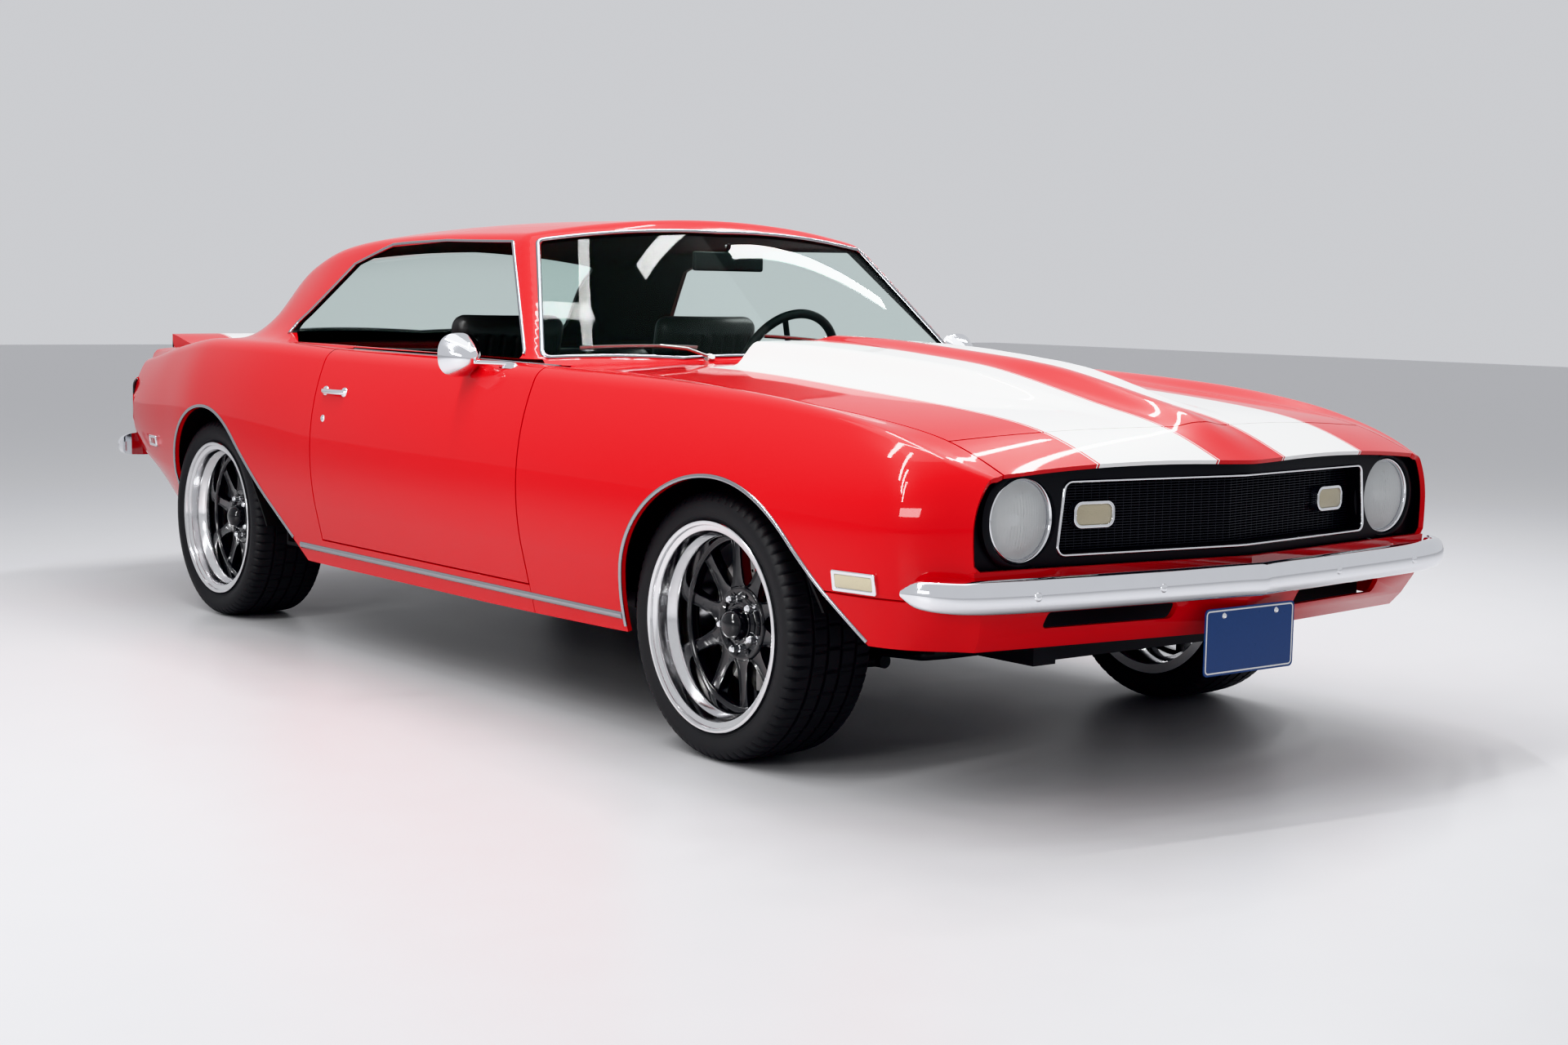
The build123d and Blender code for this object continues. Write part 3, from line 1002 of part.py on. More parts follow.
def make_cabin(out):
    """Make the dash, steering column and wheel, seats, console and mirror."""
    y = FRONT_AXLE_Y
    out["dashboard"] = prism([(y + 720 + SEAT_GAP, 640), (y + 720 + SEAT_GAP, 858), (y + 930, 864),
                              (y + 1008, 842), (y + 1018, 720),
                              (y + 960, 640)], Plane(origin=(0, 0, 0), x_dir=(0, 1, 0),
                                                     z_dir=(1, 0, 0)), 1380, 20)
    centre = Vector(WHEEL_X, y + 1285, 862)
    tilt = radians(COLUMN_TILT)
    axis = Vector(0, cos(tilt), sin(tilt))
    column = rod(tuple(centre - axis * 282.4), tuple(centre - axis * (32 + SEAT_GAP)), 26)
    out["steering_column"] = column
    ring_plane = Plane(origin=centre, z_dir=axis)
    rim = Solid.make_torus(178, 14, ring_plane)
    hub = Solid.make_cylinder(38, 30, Plane(origin=centre - axis * 32, z_dir=axis))
    spokes = []
    for angle in (200, 270, 340):
        spot = ring_plane.x_dir.rotate(Axis((0, 0, 0), axis), angle)
        spokes.append(rod(tuple(centre - axis * 20 + spot * 20), tuple(centre + spot * 174), 9))
    out["steering_wheel"] = fuse(rim, hub, *spokes)

    lift = FLOOR_Z + FLOOR_THICKNESS + SEAT_GAP
    cushions, backs = [], []
    for s in (1, -1):
        cx = s * WHEEL_X
        cushions.append(block(cx - 215, cx + 215, y + 1290, y + 1790, lift, 470))
        back = block(cx - 212, cx + 212, 0, 110, 0, 600).rotate(Axis((0, 0, 0), (1, 0, 0)), -14)
        backs.append(back.moved(Location((0, y + 1790 + SEAT_GAP, 440))))
    out["front_seats"] = Compound(children=cushions + backs)
    y1 = REAR_AXLE_Y - 450
    bench = block(-590, 590, y1 - 370, y1 - 0.3, lift, 470) - block(-150.3, 150.3, y1 - 500, y1, 100, 506)
    rest = [(y1 + 1, 505 + SEAT_GAP), (y1 + 120, 505 + SEAT_GAP), (y1 + 214, 868), (y1 + 110, 884)]
    rest = prism(rest, Plane(origin=(0, 0, 0), x_dir=(0, 1, 0), z_dir=(1, 0, 0)), 1110, 25)
    out["rear_seat"] = Compound(children=solids_of(bench) + [rest])
    out["console"] = block(-110, 110, y + 1100, y + 1900, 505.3, 560) + rod((0, y + 1250, 550),
                                                                            (0, y + 1240, 680), 10) \
        + Solid.make_sphere(24, Plane((0, y + 1240, 690)))
    stem = rod((0, y + 1112, 1180), (0, y + 1070, 1290), 8) & shield_body(4 + GLASS + SEAT_GAP)
    out["cabin_mirror"] = block(-125, 125, y + 1105, y + 1120, 1150, 1205) + stem


def make_trim(shapes, out):
    """Make the door mirrors, handles and side markers, all seated on the skin."""
    y = FRONT_AXLE_Y
    body = shapes["body"]
    for s, hand in ((1, "left"), (-1, "right")):
        x, z = s * MIRROR_X, MIRROR_Z
        front = Plane(origin=(x, y + MIRROR_FRONT, z), z_dir=(0, 1, 0))
        bullet = Solid.make_cone(MIRROR_TIP_RADIUS, MIRROR_RADIUS, MIRROR_DEPTH - MIRROR_RIM, front)
        rim = rod((x, y + MIRROR_FRONT + MIRROR_DEPTH - MIRROR_RIM, z), (x, y + MIRROR_FRONT + MIRROR_DEPTH, z),
                  MIRROR_RADIUS)
        stalk = rod((s * 836, y + 945, 888), (x - s * 12, y + MIRROR_FRONT + 12, z - 6), 8)
        foot = rod((s * 828, y + 945, 880), (s * 842, y + 945, 904), 20)
        out["door_mirror_" + hand] = fuse(bullet, rim, stalk, foot) - body
        grip = fuse(block(s * 918, s * 932, y + 1750, y + 1890, 772, 790),
                    block(s * 880, s * 925, y + 1752, y + 1776, 774, 788),
                    block(s * 880, s * 925, y + 1864, y + 1888, 774, 788))
        out["door_handle_" + hand] = grip - body
    marks = []
    for s in (1, -1):
        marks.append(block(s * 870, s * 912, y - 560, y - 440, 465, 505) - body)
        marks.append(block(s * 800, s * 856, REAR_AXLE_Y + 520, REAR_AXLE_Y + 620, 525, 565) - body)
    out["side_markers"] = Compound(children=[m.solid() if isinstance(m, Compound) else m for m in marks])


def main():
    os.makedirs("parts", exist_ok=True)
    out = {}
    shapes = lofts()
    make_body(shapes, out)
    make_glass(shapes, out)
    make_wheels(out)
    make_chassis(out)
    make_floor(shapes, out)
    make_front(shapes, out)
    make_rear(out)
    make_cabin(out)
    make_trim(shapes, out)
    for name, shape in out.items():
        export_step(shape, "parts/%s.step" % name)
    print(len(out), "nodes")


main()
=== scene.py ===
"""Looks of a late-1960s two-door hardtop muscle car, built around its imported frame."""

import logging
import math
from dataclasses import dataclass, field
from enum import Enum
from typing import Callable, Iterable, Optional, Sequence

import bmesh
import bpy
import numpy as np
from mathutils import Matrix, Vector
from mathutils.bvhtree import BVHTree
from mathutils.interpolate import poly_3d_calc


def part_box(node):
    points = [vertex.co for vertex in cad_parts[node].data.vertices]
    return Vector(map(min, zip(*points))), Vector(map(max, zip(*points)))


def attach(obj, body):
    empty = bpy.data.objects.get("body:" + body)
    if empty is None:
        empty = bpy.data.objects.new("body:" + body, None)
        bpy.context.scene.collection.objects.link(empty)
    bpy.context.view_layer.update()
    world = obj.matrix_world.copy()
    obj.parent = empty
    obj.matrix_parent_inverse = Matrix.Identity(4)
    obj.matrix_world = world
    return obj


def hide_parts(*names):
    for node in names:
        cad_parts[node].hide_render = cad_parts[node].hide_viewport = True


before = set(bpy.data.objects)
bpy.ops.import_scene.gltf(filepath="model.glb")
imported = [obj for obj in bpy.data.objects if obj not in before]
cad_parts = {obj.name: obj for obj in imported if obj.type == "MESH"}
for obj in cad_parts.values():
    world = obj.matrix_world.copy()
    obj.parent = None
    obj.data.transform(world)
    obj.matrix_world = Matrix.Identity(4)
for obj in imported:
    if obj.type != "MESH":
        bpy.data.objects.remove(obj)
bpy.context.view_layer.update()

log = logging.getLogger("muscle_car")

Object = bpy.types.Object
Mesh = bmesh.types.BMesh
Tree = bpy.types.NodeTree
Socket = bpy.types.NodeSocket
Array = np.ndarray

# Driving sizes, in metres. Y runs rearward from the middle of the car.
WHEELBASE = 2.746
LENGTH = 0.932 + WHEELBASE + 1.020
FRONT_AXLE = -LENGTH / 2 + 0.932
REAR_AXLE = FRONT_AXLE + WHEELBASE
HALF_WIDTH = 0.921
ROOF = 1.300
BELT = 0.900
GAP = 0.0022

NOSE_TIP, NOSE_SLOPE = FRONT_AXLE - 0.881, 0.132
HEADER_TIP, HEADER_SLOPE = FRONT_AXLE - 0.720, 0.140
DOOR_FRONT, DOOR_REAR = FRONT_AXLE + 0.770, FRONT_AXLE + 1.940
HOOD_REAR = DOOR_FRONT - 0.175
TRUNK_FRONT, TAIL_LINE = REAR_AXLE + 0.235, REAR_AXLE + 0.905
TAIL_BOW = 0.120
HOOD_HALF, TRUNK_HALF = 0.695, 0.640
DOOR_SILL, VALANCE_SEAM, TRUNK_LIP = 0.330, 0.455, 0.770

# Body sections: distance along, crown z, seam z, peak inset, peak z, shoulder radius, widest inset,
# widest z, low inset, low z, foot inset, foot z. Insets are from HALF_WIDTH. Millimetres.
F_MM, R_MM = FRONT_AXLE * 1000, REAR_AXLE * 1000
BODY_SECTIONS = (
    (F_MM - 900, 731, 684, 262, 682, 26, 222, 612, 236, 470, 284, 350),
    (F_MM - 850, 753, 704, 236, 702, 26, 196, 612, 210, 470, 252, 342),
    (F_MM - 812, 770, 719, 222, 715, 28, 176, 609, 190, 469, 234, 334),
    (F_MM - 770, 787, 736, 204, 729, 32, 148, 605, 160, 468, 205, 326),
    (F_MM - 710, 807, 760, 180, 750, 38, 88, 602, 100, 466, 145, 316),
    (F_MM - 600, 829, 792, 160, 784, 45, 40, 600, 54, 462, 104, 306),
    (F_MM - 400, 849, 820, 142, 828, 50, 17, 600, 32, 456, 80, 292),
    (F_MM - 50, 873, 849, 126, 866, 55, 5, 598, 20, 448, 70, 274),
    (F_MM + 450, 901, 881, 114, 888, 60, 0, 595, 18, 438, 64, 258),
    (F_MM + 1100, 910, 890, 110, 899, 60, 3, 590, 20, 432, 62, 252),
    (R_MM - 850, 912, 892, 110, 903, 60, 3, 600, 20, 434, 62, 252),
    (R_MM - 350, 914, 896, 112, 912, 64, 1, 640, 19, 440, 64, 258),
    (R_MM + 50, 912, 896, 124, 910, 66, 9, 655, 34, 446, 84, 280),
    (R_MM + 400, 896, 882, 154, 878, 62, 50, 648, 74, 456, 126, 330),
    (R_MM + 680, 870, 856, 186, 838, 52, 92, 640, 118, 480, 180, 400),
    (R_MM + 960, 842, 828, 226, 802, 42, 150, 632, 180, 540, 240, 500),
)
# Hood's raised middle: distance along, rise, half width at its top, height of the centre ridge.
HOOD_SHAPE = (
    (F_MM - 900, 0, 110, 0),
    (F_MM - 812, 0, 112, 4),
    (F_MM - 710, 1, 118, 14),
    (F_MM - 560, 4, 140, 24),
    (F_MM - 400, 22, 168, 27),
    (F_MM - 250, 42, 196, 22),
    (F_MM - 100, 57, 218, 15),
    (F_MM + 150, 61, 244, 13),
    (F_MM + 400, 62, 266, 14),
    (F_MM + 700, 62, 288, 12),
)
# Roof and cabin: distance along, base half width, rail half width, rail z, rail radius, crown z.
CABIN_BASE = 0.780
CABIN_SECTIONS = (
    (F_MM + 560, 834, 575, 1238, 60, 1292),
    (F_MM + 1200, 834, 578, 1246, 60, 1298),
    (F_MM + 1650, 834, 576, 1248, 62, 1300),
    (R_MM - 700, 832, 570, 1238, 66, 1292),
    (R_MM - 396, 829, 562, 1212, 70, 1266),
    (R_MM - 180, 824, 556, 1158, 72, 1216),
    (R_MM - 44, 818, 556, 1086, 72, 1152),
    (R_MM + 40, 811, 562, 1004, 70, 1078),
    (R_MM + 120, 802, 572, 930, 50, 996),
    (R_MM + 210, 790, 580, 870, 24, 892),
    (R_MM + 330, 770, 590, 770, 24, 782),
)
SHIELD_RAKE = math.radians(47.4)
SHIELD_RADIUS = 2.416
SHIELD_BASE = (FRONT_AXLE + 0.754, 0.906)
# Wheel openings: centre ahead of the axle, centre z, radius, leading slope in degrees.
FRONT_ARCH = (0.052, 0.275, 0.396, 45.0)
REAR_ARCH = (0.025, 0.328, 0.360, 50.0)
SKIN = 0.012
# The plane that the doors' and fenders' edges run in to, and the foot of the tail.
DOOR_INNER, TAIL_FOOT = 0.742, 0.440
# The middle planes across and along the car: origin, first and second direction.
ACROSS = ((0, 0, 0), (1, 0, 0), (0, 0, 1))
ALONG = ((0, 0, 0), (0, 1, 0), (0, 0, 1))
SIDES = ((1, "left"), (-1, "right"))
# How far out a ray starts that looks for the body's side.
OUTSIDE = 1.4


# Small tools for meshes

def deselect() -> None:
    """Leave nothing selected."""
    bpy.ops.object.select_all(action="DESELECT")


def activate(obj: Object) -> None:
    """Make one object the only one selected and active.

    Args:
        obj: The object.
    """
    deselect()
    obj.select_set(True)
    bpy.context.view_layer.objects.active = obj


def add_mesh(name: str, verts: Sequence, faces: Sequence) -> Object:
    """Add a mesh object made of given corners and faces.

    Args:
        name: The object's name.
        verts: Corner positions.
        faces: Corner numbers of each face.

    Returns:
        The new object, at the origin.
    """
    mesh = bpy.data.meshes.new(name)
    mesh.from_pydata([tuple(map(float, v)) for v in verts], [], [tuple(map(int, f)) for f in faces])
    obj = bpy.data.objects.new(name, mesh)
    bpy.context.scene.collection.objects.link(obj)
    return obj


def grid_faces(rows: int, cols: int, wrap_rows: bool = False, wrap_cols: bool = False) -> list:
    """Return the faces of a grid of corners numbered row by row.

    Args:
        rows: Number of rows.
        cols: Number of corners in a row.
        wrap_rows: Join the last row to the first.
        wrap_cols: Join each row's end to its start.

    Returns:
        A list of four-cornered faces.
    """
    faces = []
    for i in range(rows if wrap_rows else rows - 1):
        for j in range(cols if wrap_cols else cols - 1):
            a, b = i * cols, (i + 1) % rows * cols
            k = (j + 1) % cols
            faces.append((a + j, a + k, b + k, b + j))
    return faces


def apply_modifier(obj: Object, kind: str, **settings: object) -> None:
    """Add a modifier, give it its settings and apply it.

    Args:
        obj: The object.
        kind: The modifier's type.
        settings: The modifier's settings by name.
    """
    activate(obj)
    modifier = obj.modifiers.new(kind.lower(), kind)
    for key, value in settings.items():
        setattr(modifier, key, value)
    bpy.ops.object.modifier_apply(modifier=modifier.name)


def edit(obj: Object, work: Callable[[Mesh], object]) -> None:
    """Run a piece of work on an object's mesh.

    Args:
        obj: The object.
        work: A function that changes the mesh.
    """
    mesh = bmesh.new()
    mesh.from_mesh(obj.data)
    work(mesh)
    mesh.to_mesh(obj.data)
    mesh.free()
    obj.data.update()


def keep_side(obj: Object, point: Sequence, normal: Sequence, clear: bool = True) -> None:
    """Cut a mesh with a plane and keep the side that the normal points to.

    Args:
        obj: The object.
        point: A point of the plane.
        normal: The plane's normal.
        clear: Drop the other side, or else keep it with edges along the cut.
    """
    edit(obj, lambda mesh: bmesh.ops.bisect_plane(
        mesh, geom=mesh.verts[:] + mesh.edges[:] + mesh.faces[:], dist=1e-6, plane_co=point, plane_no=normal,
        clear_inner=clear))


def score(obj: Object, *cuts: tuple) -> None:
    """Cut edges into a mesh across the car's axes and keep all of it.

    Args:
        obj: The object.
        cuts: Pairs of an axis's letter and a place on it.
    """
    for axis, place in cuts:
        normal = [float(letter == axis) for letter in "xyz"]
        keep_side(obj, [n * place for n in normal], normal, clear=False)


def drop_faces(obj: Object, test: Callable[[Vector], bool]) -> None:
    """Delete the faces whose middle passes a test.

    Args:
        obj: The object.
        test: The test of a face's middle.
    """
    edit(obj, lambda mesh: bmesh.ops.delete(
        mesh, geom=[f for f in mesh.faces if test(f.calc_center_median())], context="FACES"))


def pull(mesh: Mesh, edges: Sequence) -> tuple:
    """Extrude edges.

    Args:
        mesh: The mesh.
        edges: The edges.

    Returns:
        Lists of the new corners, edges and faces.
    """
    made = bmesh.ops.extrude_edge_only(mesh, edges=edges)["geom"]
    kinds = (bmesh.types.BMVert, bmesh.types.BMEdge, bmesh.types.BMFace)
    return tuple([g for g in made if isinstance(g, kind)] for kind in kinds)


def close_ring(obj: Object, first: int, count: int) -> None:
    """Fill a ring of corners with one face.

    Args:
        obj: The object.
        first: The ring's first corner.
        count: Number of corners, which follow one another.
    """
    def work(mesh: Mesh) -> None:
        """Add the face."""
        mesh.verts.ensure_lookup_table()
        mesh.faces.new([mesh.verts[k] for k in range(first, first + count)])
    edit(obj, work)


def merge_close(obj: Object, distance: float = 1e-5) -> None:
    """Merge corners that lie on one another and drop faces with no area.

    Args:
        obj: The object.
        distance: How close they lie.
    """
    def work(mesh: Mesh) -> None:
        """Merge, and drop what is left loose."""
        bmesh.ops.remove_doubles(mesh, verts=mesh.verts[:], dist=distance)
        bmesh.ops.dissolve_degenerate(mesh, edges=mesh.edges[:], dist=distance)
        loose = [v for v in mesh.verts if not v.link_faces]
        bmesh.ops.delete(mesh, geom=loose, context="VERTS")
    edit(obj, work)


def face_out(obj: Object) -> None:
    """Turn a closed mesh's faces outwards."""
    edit(obj, lambda mesh: bmesh.ops.recalc_face_normals(mesh, faces=mesh.faces[:]))


def mirror_over(obj: Object) -> None:
    """Add a half piece's mirror image over the middle plane and weld the two."""
    apply_modifier(obj, "MIRROR", use_axis=(True, False, False), use_clip=True, use_mirror_merge=True,
                   merge_threshold=0.0003)


def mirrored_copy(obj: Object, name: str) -> Object:
    """Return a mirror image of a piece.

    Args:
        obj: The piece.
        name: The new object's name.

    Returns:
        The new object, with its own mesh.
    """
    copy = obj.copy()
    copy.data = obj.data.copy()
    copy.name = name
    bpy.context.scene.collection.objects.link(copy)
    edit(copy, lambda mesh: (bmesh.ops.scale(mesh, vec=(-1, 1, 1), verts=mesh.verts[:]),
                             bmesh.ops.reverse_faces(mesh, faces=mesh.faces[:])))
    return copy


def carve(obj: Object, cutter: Object, operation: str = "DIFFERENCE") -> None:
    """Cut a piece with a cutter, which is then deleted."""
    apply_modifier(obj, "BOOLEAN", object=cutter, operation=operation, solver="EXACT")
    bpy.data.objects.remove(cutter)


def join(objects: Sequence[Object], name: str) -> Object:
    """Join objects into the first one.

    Args:
        objects: The objects.
        name: The name of the whole.

    Returns:
        The first object.
    """
    activate(objects[0])
    for obj in objects:
        obj.select_set(True)
    bpy.ops.object.join()
    objects[0].name = name
    return objects[0]


def smooth(obj: Object, degrees: float = 35.0) -> None:
    """Shade a piece smooth, apart from edges sharper than an angle."""
    activate(obj)
    bpy.ops.object.shade_smooth_by_angle(angle=math.radians(degrees))


def soften(obj: Object, width: float, degrees: float = 40.0, segments: int = 2) -> None:
    """Round the sharp edges of a piece."""
    apply_modifier(obj, "BEVEL", width=width, segments=segments, limit_method="ANGLE",
                   angle_limit=math.radians(degrees), use_clamp_overlap=True)


def rounded(points: Sequence, radius: float, steps: int = 6) -> list:
    """Return a closed outline with its corners rounded by arcs.

    Args:
        points: Corners as pairs.
        radius: Corner radius.
        steps: Number of chords in each corner.

    Returns:
        The outline as a list of pairs.
    """
    out = []
    count = len(points)
    for i in range(count):
        p, q, r = (np.array(points[(i + k) % count], float) for k in (-1, 0, 1))
        u, v = (p - q) / np.linalg.norm(p - q), (r - q) / np.linalg.norm(r - q)
        half = math.acos(max(-1.0, min(1.0, float(u @ v)))) / 2
        reach = radius / math.tan(half)
        middle = q + (u + v) / np.linalg.norm(u + v) * radius / math.sin(half)
        start, end = q + u * reach - middle, q + v * reach - middle
        a, b = math.atan2(start[1], start[0]), math.atan2(end[1], end[0])
        turn = (b - a + math.pi) % (2 * math.pi) - math.pi
        for k in range(steps + 1):
            angle = a + turn * k / steps
            out.append((middle[0] + radius * math.cos(angle), middle[1] + radius * math.sin(angle)))
    return out


def rectangle(sides: Sequence, radius: float, steps: int = 6, inset: float = 0.0) -> list:
    """Return the outline of a rectangle with rounded corners.

    Args:
        sides: Its left, low, right and high sides.
        radius: Corner radius.
        steps: Number of chords in each corner.
        inset: How far every side is drawn in.

    Returns:
        The outline as a list of pairs.
    """
    left, low, right, high = (side + way * inset for side, way in zip(sides, (1, 1, -1, -1)))
    return rounded([(left, low), (right, low), (right, high), (left, high)], radius, steps)


def prism(outline: Sequence, origin: Sequence, across: Sequence, up: Sequence, near: float, far: float,
          name: str = "cutter") -> Object:
    """Return a solid prism whose outline lies in a plane and runs along the plane's normal.

    Args:
        outline: Pairs in the plane, along across and up.
        origin: The plane's origin.
        across: The plane's first direction.
        up: The plane's second direction.
        near: Start along the normal.
        far: End along the normal.
        name: The object's name.

    Returns:
        The prism.
    """
    o, a, b = Vector(origin), Vector(across).normalized(), Vector(up).normalized()
    n = a.cross(b)
    verts = [o + a * x + b * y + n * depth for depth in (near, far) for x, y in outline]
    count = len(outline)
    faces = [tuple(range(count))[::-1], tuple(range(count, 2 * count))]
    faces += [(i, (i + 1) % count, count + (i + 1) % count, count + i) for i in range(count)]
    obj = add_mesh(name, verts, faces)
    face_out(obj)
    return obj


def box(name: str, low: Sequence, high: Sequence, bevel: float = 0.0, segments: int = 2) -> Object:
    """Return a block with rounded edges.

    Args:
        name: The object's name.
        low: Its lowest corner.
        high: Its highest corner.
        bevel: The edges' radius.
        segments: Number of steps over an edge.

    Returns:
        The block.
    """
    deselect()
    middle = [(a + b) / 2 for a, b in zip(low, high)]
    bpy.ops.mesh.primitive_cube_add(size=1, location=middle)
    obj = bpy.context.object
    obj.name = name
    obj.scale = [abs(b - a) for a, b in zip(low, high)]
    bpy.ops.object.transform_apply(location=True, rotation=True, scale=True)
    if bevel:
        soften(obj, bevel, segments=segments)
    return obj


def lathe(name: str, profile: Sequence, centre: Sequence, axis: Sequence, segments: int = 96,
          closed: bool = True) -> Object:
    """Return a turned piece.

    Args:
        name: The object's name.
        profile: Pairs of radius and distance along the axis.
        centre: A point on the axis.
        axis: The axis's direction.
        segments: Number of steps round.
        closed: The profile is a closed ring.

    Returns:
        The turned piece.
    """
    n = Vector(axis).normalized()
    side = n.orthogonal().normalized()
    other = n.cross(side)
    verts = []
    for k in range(segments):
        angle = 2 * math.pi * k / segments
        ray = side * math.cos(angle) + other * math.sin(angle)
        verts += [Vector(centre) + ray * r + n * d for r, d in profile]
    obj = add_mesh(name, verts, grid_faces(segments, len(profile), wrap_rows=True, wrap_cols=closed))
    merge_close(obj, 1e-6)
    face_out(obj)
    return obj


def sweep(name: str, path: Sequence, normals: Sequence, profile: Sequence, closed: bool = False) -> Object:
    """Return a strip: a small profile carried along a path that lies on a surface.

    Args:
        name: The object's name.
        path: Points of the path.
        normals: The surface's normal at each point.
        profile: Pairs across the strip and away from the surface, in order round the profile.
        closed: The path is a ring.

    Returns:
        The strip.
    """
    count = len(path)
    points = [Vector(p) for p in path]
    verts = []
    for i, point in enumerate(points):
        before = points[(i - 1) % count] if closed or i else points[0]
        after = points[(i + 1) % count] if closed or i < count - 1 else points[-1]
        run = (after - before).normalized()
        up = Vector(normals[i])
        up = (up - run * up.dot(run)).normalized()
        across = run.cross(up)
        verts += [point + across * a + up * b for a, b in profile]
    size = len(profile)
    obj = add_mesh(name, verts, grid_faces(count, size, wrap_rows=closed, wrap_cols=True))
    if not closed:
        close_ring(obj, 0, size)
        close_ring(obj, (count - 1) * size, size)
    face_out(obj)
    return obj


def half_round(width: float, height: float, sink: float = 0.001, steps: int = 6) -> list:
    """Return the profile of a half-round strip.

    Args:
        width: Its width.
        height: Its height over the surface.
        sink: How deep its foot stands in the surface.
        steps: Number of chords over its round.

    Returns:
        Pairs across and up.
    """
    arc = [(width / 2 * math.cos(math.pi * k / steps), height * math.sin(math.pi * k / steps))
           for k in range(steps + 1)]
    return [(width / 2, -sink)] + arc + [(-width / 2, -sink)]


def smoothstep(t: Array) -> Array:
    """Return an S-shaped ramp between 0 and 1."""
    t = np.clip(t, 0.0, 1.0)
    return t * t * (3 - 2 * t)


# Finishes

class Slot(Enum):
    """Names of material slots. Finishes carry one, but nothing in this script reads them."""
    RED = "red_paint"
    BLACK = "black_paint"
    CHROME = "chrome"
    ALLOY = "polished_alloy"
    STEEL = "bare_steel"
    IRON = "cast_iron"
    TYRE = "tyre"
    GLASS = "clear_glass"
    LAMP = "lamp_glass"
    LENS = "red_lens"
    PLASTIC = "black_plastic"
    VINYL = "black_vinyl"
    PLATE = "plate_blue"
    EXHAUST = "aluminised_steel"


@dataclass(frozen=True)
class Finish:
    """A plain finish with a little real unevenness in its colour, gloss and surface."""

    name: str
    colour: tuple
    roughness: float
    slot: Slot = Slot.BLACK
    metallic: float = 0.0
    coat: float = 0.0
    vary: float = 0.08
    grain: float = 60.0
    bump: float = 0.05
    rough_vary: float = 0.06
    transmission: float = 0.0
    ior: float = 1.45
    shine: float = 0.5
    coat_rough: float = 0.03
    depth: float = 0.001

    def material(self) -> bpy.types.Material:
        """Return the finish's material, made once."""
        found = bpy.data.materials.get(self.name)
        if found:
            return found
        material = bpy.data.materials.new(self.name)
        material.use_nodes = True
        self.lay(material.node_tree)
        return material

    @staticmethod
    def add(tree: Tree, kind: str, inputs: dict, **settings: object) -> bpy.types.Node:
        """Add a node to a material.

        Args:
            tree: The material's nodes.
            kind: The node's type.
            inputs: Values and other nodes' outputs, by the name or number of the input that takes them.
            settings: The node's own settings, by name.

        Returns:
            The node.
        """
        node = tree.nodes.new("ShaderNode" + kind)
        for key, value in settings.items():
            setattr(node, key, value)
        for key, value in inputs.items():
            if isinstance(value, Socket):
                tree.links.new(value, node.inputs[key])
            else:
                node.inputs[key].default_value = value
        return node

    def lay(self, tree: Tree) -> None:
        """Build the finish's nodes.

        Args:
            tree: The material's nodes.
        """
        shader = tree.nodes["Principled BSDF"]
        for key, value in (("Metallic", self.metallic), ("IOR", self.ior), ("Specular IOR Level", self.shine),
                           ("Coat Weight", self.coat), ("Coat Roughness", self.coat_rough),
                           ("Transmission Weight", self.transmission)):
            shader.inputs[key].default_value = value
        place = self.add(tree, "TexCoord", {}).outputs["Object"]
        settings = {"Scale": self.grain, "Detail": 4.0, "Vector": place}
        noise = self.add(tree, "TexNoise", settings).outputs["Fac"]
        tree.links.new(self.paint(tree, place, noise), shader.inputs["Base Color"])
        low, high = max(0.0, self.roughness - self.rough_vary), self.roughness + self.rough_vary
        gloss = self.add(tree, "MapRange", {"To Min": low, "To Max": high, "Value": noise})
        tree.links.new(gloss.outputs["Result"], shader.inputs["Roughness"])
        if self.bump:
            bump = self.add(tree, "Bump", {"Strength": self.bump, "Distance": self.depth, "Height": noise})
            tree.links.new(bump.outputs["Normal"], shader.inputs["Normal"])

    def paint(self, tree: Tree, place: Socket, noise: Socket) -> Socket:
        """Mix the finish's colour, a little darker and lighter in places.

        Args:
            tree: The material's nodes.
            place: The place on the piece.
            noise: The unevenness there.

        Returns:
            The output that holds the colour.
        """
        ramp = self.add(tree, "ValToRGB", {"Fac": noise})
        for element, share in zip(ramp.color_ramp.elements, (1 - self.vary, 1 + self.vary)):
            element.color = (*(min(1.0, c * share) for c in self.colour), 1)
        return ramp.outputs["Color"]


@dataclass(frozen=True)
class StripedPaint(Finish):
    """Body paint with two wide stripes, each edged by a thin line, on either side of the middle."""

    stripe: tuple = (0.86, 0.86, 0.85)
    inner: float = 0.108
    outer: float = 0.450
    line: float = 0.0032
    space: float = 0.0045

    def paint(self, tree: Tree, place: Socket, noise: Socket) -> Socket:
        """Colour the stripes by distance from the middle plane.

        Args:
            tree: The material's nodes.
            place: The place on the piece.
            noise: The unevenness there, which this paint leaves alone.

        Returns:
            The output that holds the colour.
        """
        def calculate(operation: str, first: Socket, second: object = 0.0) -> Socket:
            """Return the output of a math node."""
            return self.add(tree, "Math", {0: first, 1: second}, operation=operation).outputs[0]

        away = calculate("ABSOLUTE", self.add(tree, "SeparateXYZ", {"Vector": place}).outputs["X"])
        edge = self.line + self.space
        total = None
        for low, high in ((self.inner, self.inner + self.line), (self.inner + edge, self.outer - edge),
                          (self.outer - self.line, self.outer)):
            over, under = calculate("GREATER_THAN", away, low), calculate("LESS_THAN", away, high)
            band = calculate("MULTIPLY", over, under)
            total = band if total is None else calculate("ADD", total, band)
        mix = self.add(tree, "Mix", {"A": (*self.colour, 1), "B": (*self.stripe, 1), "Factor": total},
                       data_type="RGBA")
        return mix.outputs["Result"]


